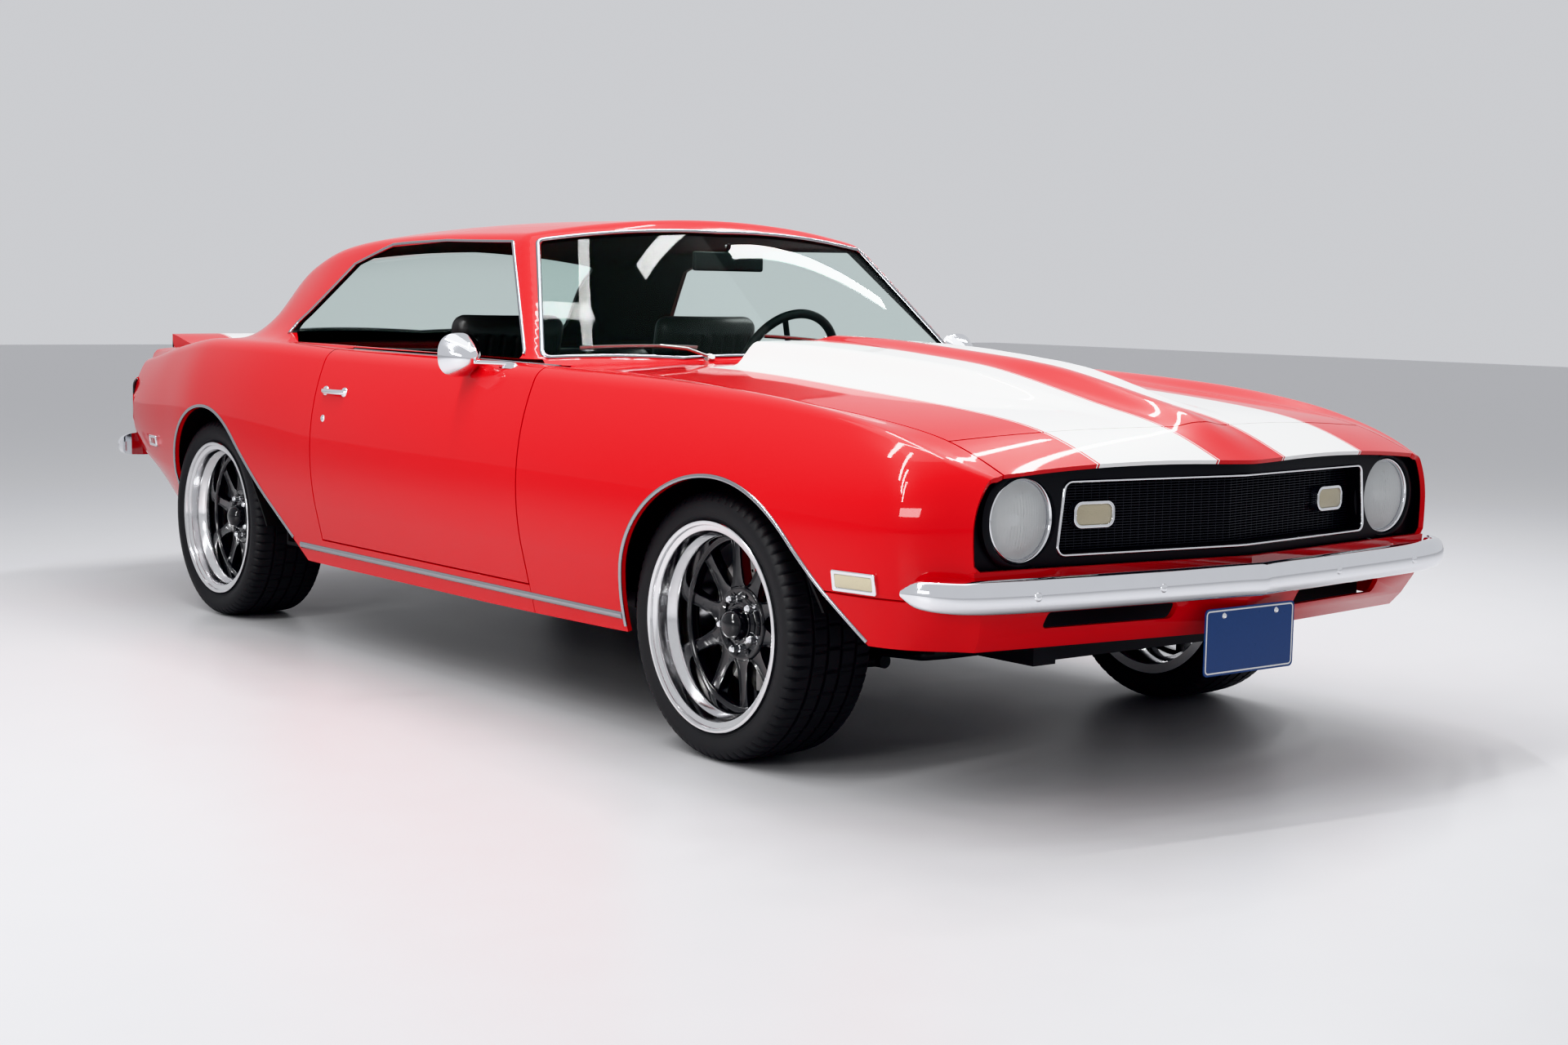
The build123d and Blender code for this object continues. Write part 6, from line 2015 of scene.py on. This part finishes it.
    def park_lamps(self) -> None:
        """Build the two small lamps in the grille: a bright frame round a clear glass."""
        x, z, half, tall = self.park
        sides = (-half, -tall, half, tall)
        outline, inner = rectangle(sides, 0.022, 8), rectangle(sides, 0.015, 7, self.park_edge)
        for hand, side in SIDES:
            sideways = Vector((0, 0, 1)).cross(nose_normal(hand))
            plane = ((hand * x, nose_y(x, self.park_depth), z), sideways, (0, 0, 1))
            rim = prism(outline, *plane, -0.016, 0.006, "park_lamp_rim_" + side)
            carve(rim, prism(inner, *plane, -0.010, 0.02))
            soften(rim, 0.002, 50, 3)
            glass = prism(inner, *plane, -0.0095, 0.0025, "park_lamp_glass_" + side)
            soften(glass, 0.0015, 50)
            smooth(rim, 40)
            smooth(glass, 40)
            dress(rim, CHROME, node="park_lamps" if hand > 0 else "")
            dress(glass, CLEAR_LENS)

    def plate(self) -> None:
        """Build the blank plate with a thin pale edge and two bolts."""
        low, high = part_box("front_plate")
        sides = (low.x, low.z, high.x, high.z)
        obj = box("front_plate_panel", low, high)
        outline = rectangle(sides, self.plate_corner)
        carve(obj, prism(outline, *ACROSS, -high.y - 0.05, -low.y + 0.05), "INTERSECT")
        dress(obj, PLATE_BLUE, node="front_plate")
        ring = rectangle(sides, 0.009, inset=self.plate_edge)
        path = [(a, low.y - 0.0002, b) for a, b in finely(ring, 0.05)]
        edge = sweep("front_plate_edge", path, [(0, -1, 0)] * len(path), half_round(0.0035, 0.0006, 0.0002),
                     closed=True)
        dress(edge, PLATE_WHITE)
        parts = [lathe("bolt", self.bolt, (hand * 0.0889, low.y, high.z - 0.018), (0, -1, 0), 20)
                 for hand, _ in SIDES]
        dress(join(parts, "front_plate_bolts"), CHROME)

    def build(self) -> None:
        """Build the whole front."""
        self.grille()
        self.outline()
        self.headlamps()
        self.park_lamps()
        self.plate()


# Bright trim laid on the body

def on_hand(hit: Sequence, hand: float) -> tuple:
    """Return a point and a normal of the left side, or their mirror images where hand is -1."""
    return tuple(Vector((v.x * hand, v.y, v.z)) for v in hit)


@dataclass
class Trim:
    """Mouldings round the windows, wheel openings and sills, with wipers, lamps, handles and mirrors.

    A moulding's size is its width and height. A wiper's places are pairs across and up the windshield.
    """

    form: BodyForm
    full: Skin
    plain: Skin
    arch_size: tuple = (0.011, 0.0045)
    sill_size: tuple = (0.020, 0.006)
    side_window_size: tuple = (0.0105, 0.006)
    window_size: tuple = (0.014, 0.0055)
    belt_size: tuple = (0.010, 0.004)
    belt_x: float = 0.772
    wiper_places: tuple = (("right", (-0.300, 0.020), (-0.640, 0.130), (-0.430, 0.082)),
                           ("left", (0.250, 0.015), (-0.085, 0.088), (0.120, 0.075)))
    hub: tuple = ((0.0, 0.016), (0.011, 0.015), (0.014, 0.008), (0.014, -0.012), (0.0, -0.012))
    foot: tuple = ((0.0, 0.008), (0.010, 0.007), (0.014, 0.003), (0.015, -0.002), (0.0, -0.002))
    lock: tuple = ((0.0, 0.004), (0.007, 0.004), (0.0105, 0.0015), (0.0115, -0.002), (0.0, -0.002))
    lock_place: tuple = (FRONT_AXLE + 1.868, 0.700)
    mirror_tip: tuple = (0.896, FRONT_AXLE + 1.020, 0.906)
    mirror_rim: tuple = (0.900, FRONT_AXLE + 1.092, 0.913)
    mirror_half: tuple = (0.0655, 0.0585)
    mirror_foot: tuple = (0.838, FRONT_AXLE + 0.940, OUTSIDE)

    def strip(self, name: str, hits: Sequence, size: tuple, body: str = "car_body",
              closed: bool = False) -> None:
        """Lay a half-round strip on the surface.

        Args:
            name: The object's name.
            hits: Points on the surface, each with its normal.
            size: The strip's width and height.
            body: The body that carries it.
            closed: The points are a ring.
        """
        obj = sweep(name, [p for p, _ in hits], [n for _, n in hits], half_round(*size), closed=closed)
        smooth(obj, 60)
        dress(obj, TRIM_STEEL, body=body)

    def on_side(self, skin: Skin, points: Iterable) -> list:
        """Return the places on the left side for pairs along and up."""
        return [hit for hit in (skin.at_side(y, z) for y, z in points) if hit]

    def both(self, name: str, hits: Sequence, size: tuple, body: str = "car_body") -> None:
        """Lay the same strip on the left and on the right.

        Args:
            name: The objects' name, without its side.
            hits: Points on the left side, each with its normal.
            size: The strip's width and height.
            body: The body that carries it, with SIDE where left or right stands.
        """
        for hand, side in SIDES:
            self.strip(f"{name}_{side}", [on_hand(hit, hand) for hit in hits], size,
                       body.replace("SIDE", side))

    def arches(self) -> None:
        """Edge the wheel openings."""
        arches = (("front", FRONT_AXLE, FRONT_ARCH, 0.205), ("rear", REAR_AXLE, REAR_ARCH, 0.29))
        for name, axle, arch, drop in arches:
            line = arch_outline(axle, arch, 0.0045, drop)
            points = finely(line[:2], 0.02)[:int(drop / 0.014)] + line[1:]
            self.both("arch_moulding_" + name, self.on_side(self.plain, points), self.arch_size)

    def sills(self) -> None:
        """Run a bright strip along each sill."""
        along = np.linspace(FRONT_AXLE + 0.352, REAR_AXLE - 0.650, 60)
        self.both("sill_moulding", self.on_side(self.plain, [(y, 0.3000) for y in along]), self.sill_size)

    def side_windows(self) -> None:
        """Edge the side windows over the doors' and quarters' tops."""
        outline = window_outline()
        middle = np.mean(outline, axis=0)
        grown = []
        for p in finely(outline, 0.05):
            away = np.array(p) - middle
            grown.append(p + away / np.linalg.norm(away) * 0.007)
        hits = self.on_side(self.full, [p for p in grown if p[1] > BELT + 0.014])
        start = min(range(len(hits)), key=lambda k: (hits[k][0].y, hits[k][0].z))
        self.both("side_window_moulding", hits[start:] + hits[:start], self.side_window_size)

    def windows(self) -> None:
        """Edge the windshield and the rear window."""
        for name, outline, axes in (("windshield_moulding", shield_outline(-0.006), shield_axes()),
                                    ("rear_window_moulding", backlight_outline(-0.006), backlight_axes())):
            origin, across, up = (Vector(v) for v in axes)
            normal = across.cross(up).normalized()
            hits = []
            for a, b in finely(outline, 0.04):
                point = origin + across * a + up * b
                hand = -1 if point.x < 0 else 1
                found = self.full.seen_from(*on_hand((point + normal * 0.30, -normal), hand))
                if found:
                    hits.append(on_hand(found, hand))
            self.strip(name, hits, self.window_size, closed=True)

    def belt(self) -> None:
        """Lay the thin bright line on top of each door."""
        along = np.linspace(DOOR_FRONT + 0.02, DOOR_REAR - 0.01, 40)
        heights = self.form.base_top(np.full(40, self.belt_x), along)
        hits = [(Vector((self.belt_x, y, z)), Vector((0, 0, 1))) for y, z in zip(along, heights)]
        self.both("belt_moulding", hits, self.belt_size, "door_SIDE")

    def wipers(self) -> None:
        """Lay two wipers along the foot of the windshield."""
        origin, across, up = (Vector(v) for v in shield_axes())
        normal = across.cross(up).normalized()

        def on_glass(a: float, b: float, away: float) -> Vector:
            """Return the place over the glass at a distance across, up and away from it."""
            sag = SHIELD_RADIUS - math.sqrt(SHIELD_RADIUS ** 2 - a * a)
            return origin + across * a + up * b + normal * (away - sag)
        for name, pivot, tip, elbow in self.wiper_places:
            blade = [on_glass(tip[0] + (pivot[0] - 0.02 - tip[0]) * k / 12,
                              tip[1] + (elbow[1] - 0.018 - tip[1]) * k / 12,
                              0.008) for k in range(13)]
            middle = ((pivot[0] + elbow[0]) / 2, (pivot[1] + elbow[1]) / 2)
            arm = [on_glass(*pivot, 0.012), on_glass(*middle, 0.024), on_glass(*elbow, 0.016)]
            parts = [sweep("blade", blade, [normal] * 13, half_round(0.007, 0.007, 0.004)),
                     sweep("arm", arm, [normal] * 3, half_round(0.009, 0.004, 0.002)),
                     lathe("hub", self.hub, on_glass(*pivot, 0.0), normal, 24)]
            obj = join(parts, "wiper_" + name)
            smooth(obj, 40)
            dress(obj, BARE_STEEL)

    def markers(self) -> None:
        """Build the four side lamps on the fenders and quarters."""
        for end, y, z, half, tall, proud, lens in (
                ("front", FRONT_AXLE - 0.540, 0.485, 0.062, 0.024, 0.0, CLEAR_LENS),
                ("rear", REAR_AXLE + 0.516, 0.545, 0.044, 0.019, 0.0045, RED_LENS)):
            place, normal = self.plain.at_side(y, z)
            run = (self.plain.at_side(y + 0.05, z)[0] - self.plain.at_side(y - 0.05, z)[0]).normalized()
            up = normal.cross(run)
            plane = (place + normal * proud, run, up if up.z > 0 else -up)
            if plane[1].cross(plane[2]).dot(normal) < 0:
                plane = (plane[0], -run, plane[2])
            sides = (-half, -tall, half, tall)
            inner = rectangle(sides, 0.003, 3, 0.0095)
            rim = prism(rectangle(sides, 0.005, 4), *plane, -0.008, 0.006, f"marker_frame_{end}_left")
            carve(rim, prism(inner, *plane, 0.001, 0.03))
            soften(rim, 0.0028, 50, 3)
            glass = prism(inner, *plane, 0.0005, 0.0048, f"marker_lens_{end}_left")
            soften(glass, 0.001, 50)
            dress_both(rim, CHROME, 40, node="side_markers" if end == "front" else "")
            dress_both(glass, lens, 40, slot=Slot.LENS)

    def handles(self) -> None:
        """Build the door handles and the locks under them."""
        low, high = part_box("door_handle_left")
        z = (low.z + high.z) / 2
        path = []
        for k in range(13):
            t = k / 12
            y = low.y + (high.y - low.y) * t
            rise = 0.020 * math.sin(math.pi * t) ** 0.35 if 0 < t < 1 else 0.0
            path.append((min(self.plain.at_side(y, z)[0].x + rise, high.x - 0.006), y, z))
        parts = [sweep("grip", path, [(1, 0, 0)] * 13, half_round(0.015, 0.005, 0.004))]
        for shape, place in ((self.foot, (low.y + 0.012, z)), (self.foot, (high.y - 0.012, z)),
                             (self.lock, self.lock_place)):
            parts.append(lathe("foot", shape, *self.plain.at_side(*place), 28))
        dress_both(join(parts, "door_handle_grip_left"), CHROME, 50, "door_SIDE", "door_handle_SIDE")

    def mirror_head(self) -> Object:
        """Build the mirror's bullet-shaped head, which opens rearward.

        Returns:
            The head.
        """
        tip, rim = Vector(self.mirror_tip), Vector(self.mirror_rim)
        wide, tall = self.mirror_half
        rows, cols = 20, 48
        verts = []
        for i in range(rows + 1):
            t = i / rows
            swell = min(1.0, 1.012 * (0.10 + 0.90 * t ** 0.62)) if i else 0.0
            power = 1.0 - 0.22 * t
            for k in range(cols):
                angle = 2 * math.pi * k / cols
                a, b = (math.copysign(abs(v) ** power, v) * half * swell
                        for v, half in ((math.cos(angle), wide), (math.sin(angle), tall)))
                verts.append(tip + (rim - tip) * t + Vector((a, 0, b)))
        last = verts[rows * cols:]
        for share, ahead in ((0.965, 0.0035), (0.93, 0.0), (0.90, -0.006), (0.0, -0.006)):
            verts += [rim + (v - rim) * share + Vector((0, ahead, 0)) for v in last]
        head = add_mesh("head", verts, grid_faces(rows + 5, cols, wrap_cols=True))
        merge_close(head, 1e-6)
        face_out(head)
        return head

    def mirrors(self) -> None:
        """Build the door mirrors, each a head on a bent stalk and an oval foot."""
        foot = Vector(self.mirror_foot)
        foot.z = self.plain.seen_from(foot, (0, 0, -1))[0].z
        base = []
        for r, h in ((0.0, 0.011), (0.45, 0.010), (0.8, 0.006), (1.0, 0.0), (1.0, -0.008), (0.0, -0.008)):
            for k in range(32):
                angle = 2 * math.pi * k / 32
                base.append(foot + Vector((0.015 * r * math.cos(angle), 0.044 * r * math.sin(angle), h)))
        base_piece = add_mesh("foot", base, grid_faces(6, 32, wrap_cols=True))
        merge_close(base_piece, 1e-6)
        face_out(base_piece)
        start = foot + Vector((0, -0.016, 0.004))
        end = Vector(self.mirror_tip) + Vector((-0.004, 0.012, -0.010))
        bend = foot + Vector((0.030, 0.030, 0.006))
        points = [start * (1 - t) ** 2 + bend * 2 * t * (1 - t) + end * t * t
                  for t in (k / 14 for k in range(15))]
        ring = [(0.0075 * math.cos(2 * math.pi * k / 14), 0.0060 * math.sin(2 * math.pi * k / 14))
                for k in range(14)]
        stalk = sweep("stalk", points, [(0, 0, 1)] * 15, ring)
        left = join([self.mirror_head(), base_piece, stalk], "door_mirror_head_left")
        dress_both(left, CHROME, 45, "door_SIDE", "door_mirror_SIDE")

    def build(self) -> None:
        """Build all the trim."""
        self.arches()
        self.sills()
        self.side_windows()
        self.windows()
        self.belt()
        self.wipers()
        self.markers()
        self.handles()
        self.mirrors()


# Glass

@dataclass
class Glass:
    """The curved windshield and rear window."""

    form: BodyForm
    thick: float = 0.005
    inset: float = 0.004
    half_span: float = 0.76
    across_steps: int = 90
    along_steps: int = 60

    def pane(self, name: str, outline: Sequence, axes: tuple, height: Callable, span_y: tuple) -> None:
        """Build one pane: a sheet of the form's surface cut to its outline.

        Args:
            name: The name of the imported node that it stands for.
            outline: Its outline, as pairs in its plane.
            axes: The plane's origin and two directions.
            height: The height function of the surface.
            span_y: Start and end of the sheet along the car.
        """
        xs = np.linspace(-self.half_span, self.half_span, self.across_steps)
        ys = np.linspace(*span_y, self.along_steps)
        gx, gy = np.meshgrid(xs, ys)
        sheet = (gx, gy, height(np.abs(gx), gy, self.inset))
        verts = np.stack([part.ravel() for part in sheet], axis=1)
        obj = add_mesh(name + "_pane", verts, grid_faces(*gx.shape))
        if obj.data.polygons[len(obj.data.polygons) // 2].normal.z < 0:
            edit(obj, lambda mesh: bmesh.ops.reverse_faces(mesh, faces=mesh.faces[:]))
        apply_modifier(obj, "SOLIDIFY", thickness=self.thick, offset=-1.0)
        carve(obj, prism(outline, *axes, -0.45, 0.45), "INTERSECT")
        face_out(obj)
        smooth(obj, 40)
        dress(obj, SHIELD_GLASS, node=name)

    def build(self) -> None:
        """Build both panes."""
        self.pane("windshield", shield_outline(-0.003), shield_axes(), self.form.shield_top,
                  (SHIELD_BASE[0] - 0.10, SHIELD_BASE[0] + 0.62))
        self.pane("rear_window", backlight_outline(-0.003), backlight_axes(), self.form.cabin_top,
                  (REAR_AXLE - 0.36, REAR_AXLE + 0.28))


# Cabin

@dataclass
class Pad:
    """One upholstered cushion: a slightly small rounded block, puffed as cloth, with sewn channels."""

    name: str
    low: tuple
    high: tuple
    up: int = 2
    tilt: float = 0.0
    pivot: tuple = (0.0, 0.0, 0.0)
    swell: float = 0.012
    voxel: float = 0.010
    pressure: float = 4.0
    steps: int = 20
    channels: int = 6
    seam: tuple = (0.0055, 0.006)
    margin: tuple = (0.070, 0.075)
    stands_for: str = ""

    def puff(self, obj: Object) -> None:
        """Swell the cushion with air pressure, no point further than the swell.

        Args:
            obj: The cushion.
        """
        rest = np.array([v.co for v in obj.data.vertices])
        cloth = obj.modifiers.new("Cloth", "CLOTH")
        cloth.settings.use_pressure = True
        cloth.settings.uniform_pressure_force = self.pressure
        cloth.settings.effector_weights.gravity = 0.0
        scene = bpy.context.scene
        for step in range(1, self.steps + 1):
            scene.frame_set(step)
        view = bpy.context.evaluated_depsgraph_get()
        moved = np.array([v.co for v in obj.evaluated_get(view).data.vertices])
        shift = moved - rest
        length = np.linalg.norm(shift, axis=1, keepdims=True)
        shift *= np.minimum(1.0, self.swell / np.maximum(length, 1e-9))
        obj.modifiers.remove(cloth)
        obj.data.vertices.foreach_set("co", (rest + shift).ravel())
        scene.frame_set(1)

    def sew(self, obj: Object) -> None:
        """Press the sewn channels into the face that is sat on or leaned on.

        Args:
            obj: The cushion.
        """
        axis, along = (Vector((0, 0, 1)), 1) if self.up == 2 else (Vector((0, -1, 0)), 2)
        side, end = self.margin
        left, right = self.low[0] + side, self.high[0] - side
        pitch = (right - left) / self.channels
        deep, wide = self.seam
        for v, n in zip(obj.data.vertices, obj.data.vertex_normals):
            inside = left - 0.004 < v.co.x < right + 0.004
            inside = inside and self.low[along] + end < v.co[along] < self.high[along] - end
            if inside and n.vector.dot(axis) > 0.5:
                gap = abs((v.co.x - left) / pitch - round((v.co.x - left) / pitch)) * pitch
                v.co -= axis * deep * math.exp(-(gap / wide) ** 2)

    def build(self) -> None:
        """Build the cushion."""
        margin = Vector((self.swell, self.swell, self.swell))
        obj = box(self.name, Vector(self.low) + margin, Vector(self.high) - margin, 0.045, 5)
        apply_modifier(obj, "REMESH", mode="VOXEL", voxel_size=self.voxel)
        self.puff(obj)
        apply_modifier(obj, "SUBSURF", levels=1, render_levels=1)
        self.sew(obj)
        pivot = Matrix.Translation(self.pivot)
        obj.data.transform(pivot @ Matrix.Rotation(-self.tilt, 4, "X") @ pivot.inverted())
        smooth(obj, 70)
        dress(obj, VINYL, node=self.stands_for)


@dataclass
class Cabin:
    """The front bucket seats, the rear bench and the mirror that hangs from the windshield."""

    seat_x: tuple = (0.160, 0.580)
    lean: float = math.radians(-14)
    bench: float = REAR_AXLE - 0.450
    bench_channels: int = 20

    def front_seats(self) -> None:
        """Build both bucket seats."""
        f = FRONT_AXLE
        for hand, side in SIDES:
            x0, x1 = sorted(hand * x for x in self.seat_x)
            Pad("front_cushion_" + side, (x0, f + 1.293, 0.300), (x1, f + 1.786, 0.468),
                stands_for="front_seats" if hand > 0 else "").build()
            Pad("front_backrest_" + side, (x0, f + 1.791, 0.444), (x1, f + 1.897, 1.036), 1, self.lean,
                (0.0, f + 1.790, 0.440)).build()

    def rear_seat(self) -> None:
        """Build the bench."""
        back = self.bench
        Pad("rear_cushion", (-0.588, back - 0.368, 0.330), (0.588, back - 0.004, 0.470),
            channels=self.bench_channels, stands_for="rear_seat").build()
        Pad("rear_backrest", (-0.553, back + 0.010, 0.500), (0.553, back + 0.118, 0.925), 1, self.lean,
            (0.0, back + 0.06, 0.505), channels=self.bench_channels).build()

    def mirror(self) -> None:
        """Build the mirror and its stem."""
        low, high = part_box("cabin_mirror")
        head = box("head", low, (high.x, low.y + 0.017, low.z + 0.056), 0.007, 3)
        stem = lathe("stem", ((0.0, 0.0), (0.007, 0.0), (0.005, 0.036), (0.0, 0.036)),
                     (0, low.y + 0.012, low.z + 0.045), (0, -0.25, 1.0), 16)
        mirror = join([head, stem], "cabin_mirror_head")
        smooth(mirror, 40)
        dress(mirror, BLACK_PLASTIC, node="cabin_mirror")

    def build(self) -> None:
        """Build the cabin's own pieces."""
        self.front_seats()
        self.rear_seat()
        self.mirror()


# Carried-over nodes

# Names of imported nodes, or their first word, by finish. All others are red.
NODE_FINISHES = {
    SATIN_BLACK: "anti_roll_bar control_arms front_subframe leaf_springs fuel_tank radiator grille_surround",
    UNDERCOAT: "inner_fenders floor_pan",
    CAST_IRON: "engine_block rear_axle knuckle_left knuckle_right",
    BARE_STEEL: "driveshaft steering_rod",
    ALUMINISED: "exhaust",
    BLACK_PLASTIC: "grille steering_column steering_wheel console cabin_mirror",
    VINYL: "dashboard front_seats rear_seat",
    CHROME: "front_bumper rear_bumper door_mirror_left door_mirror_right door_handle_left door_handle_right"
            " side_markers",
    LAMP_GLASS: "headlamps",
    CLEAR_LENS: "park_lamps",
    RED_LENS: "tail_lamps",
    PLATE_BLUE: "front_plate",
    SHIELD_GLASS: "windshield rear_window",
    RUBBER: "tyre",
    POLISHED: "wheel",
}


def dress_nodes() -> None:
    """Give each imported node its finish."""
    finishes = {name: finish for finish, names in NODE_FINISHES.items() for name in names.split()}
    for name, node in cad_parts.items():
        finish = finishes.get(name) or finishes.get(name.split("_")[0], RED_PAINT)
        node.data.materials.clear()
        node.data.materials.append(finish.material())


# Studio

@dataclass
class Studio:
    """A plain pale floor, soft light from above and the camera at the photograph's place."""

    camera_place: tuple = (-3.922454, -4.142891 + FRONT_AXLE, 1.105114)
    yaw: float = 0.669003374
    pitch: float = 0.104547773
    roll: float = 0.0171982108
    sensor: float = 36.0
    focal: float = 2735.67 / 1920 * 36
    floor_size: float = 60.0
    room_colour: tuple = (0.86, 0.87, 0.90, 1)
    room_light: float = 0.74
    strips: tuple = (-5.4, -3.9, -2.4, -0.9, 0.6, 2.1, 3.6)

    def floor(self) -> None:
        """Lay the floor."""
        deselect()
        bpy.ops.mesh.primitive_plane_add(size=self.floor_size, location=(0, 0, 0))
        obj = bpy.context.object
        obj.name = "studio_floor"
        obj.data.materials.append(FLOOR_PAINT.material())

    def lamp(self, name: str, place: tuple, target: tuple, size: tuple, power: float) -> None:
        """Hang one soft rectangular lamp that faces a point.

        Args:
            name: The lamp's name.
            place: Where it hangs.
            target: The point that it faces.
            size: Its width and length.
            power: Its power in watts.
        """
        data = bpy.data.lights.new(name, "AREA")
        data.shape = "RECTANGLE"
        data.size, data.size_y = size
        data.energy = power
        obj = bpy.data.objects.new(name, data)
        obj.location = place
        obj.rotation_euler = (Vector(target) - Vector(place)).to_track_quat("-Z", "Y").to_euler()
        bpy.context.scene.collection.objects.link(obj)

    def lights(self) -> None:
        """Light the studio: a pale surround, a soft ceiling and rows of long lamps."""
        world = bpy.data.worlds.new("pale_room")
        world.use_nodes = True
        surround = world.node_tree.nodes["Background"].inputs
        surround["Color"].default_value = self.room_colour
        surround["Strength"].default_value = self.room_light
        bpy.context.scene.world = world
        self.lamp("ceiling", (0.5, -0.5, 5.6), (0, 0, 0), (4.0, 4.0), 60)
        self.lamp("side_fill", (-7.5, -3.0, 2.6), (0, -0.4, 0.4), (2.2, 1.2), 120)
        for k, x in enumerate(self.strips):
            self.lamp(f"strip_{k}", (x, -1.6 + 0.35 * k, 4.2), (x * 0.4, -0.6, 0), (0.08, 2.4), 48)

    def camera(self) -> None:
        """Set the camera."""
        sin, cos = math.sin, math.cos
        look = Vector((sin(self.yaw) * cos(self.pitch), cos(self.yaw) * cos(self.pitch), -sin(self.pitch)))
        right = Vector((cos(self.yaw), -sin(self.yaw), 0))
        up = right.cross(look)
        rolled_right = right * cos(self.roll) + up * sin(self.roll)
        rolled_up = -right * sin(self.roll) + up * cos(self.roll)
        data = bpy.data.cameras.new("photo_camera")
        data.lens = self.focal
        data.sensor_width = self.sensor
        data.sensor_fit = "HORIZONTAL"
        obj = bpy.data.objects.new("photo_camera", data)
        turn = Matrix((rolled_right, rolled_up, -look)).transposed().to_4x4()
        obj.matrix_world = Matrix.Translation(self.camera_place) @ turn
        bpy.context.scene.collection.objects.link(obj)
        bpy.context.scene.camera = obj

    def build(self) -> None:
        """Build the studio."""
        self.floor()
        self.lights()
        self.camera()


def main() -> None:
    """Build the car's looks and the studio."""
    logging.basicConfig(level=logging.INFO, format="%(message)s")
    bpy.context.scene.view_settings.view_transform = "Khronos PBR Neutral"
    dress_nodes()
    form = BodyForm()
    panels = BodyPanels(form)
    panels.build()
    for hand in ("left", "right"):
        RoadWheel("front", hand, 0.867, 0.318, 0.245).build()
        RoadWheel("rear", hand, 0.860, 0.323, 0.251).build()
    Bumper("front_bumper", FRONT_BUMPER, -1.0).build()
    Bumper("rear_bumper_face", REAR_BUMPER, 1.0).build()
    for part in (Tail(form), Front(), Glass(form), Trim(form, panels.skin, panels.plain), Cabin(), Studio()):
        part.build()


if __name__ == "__main__":
    main()
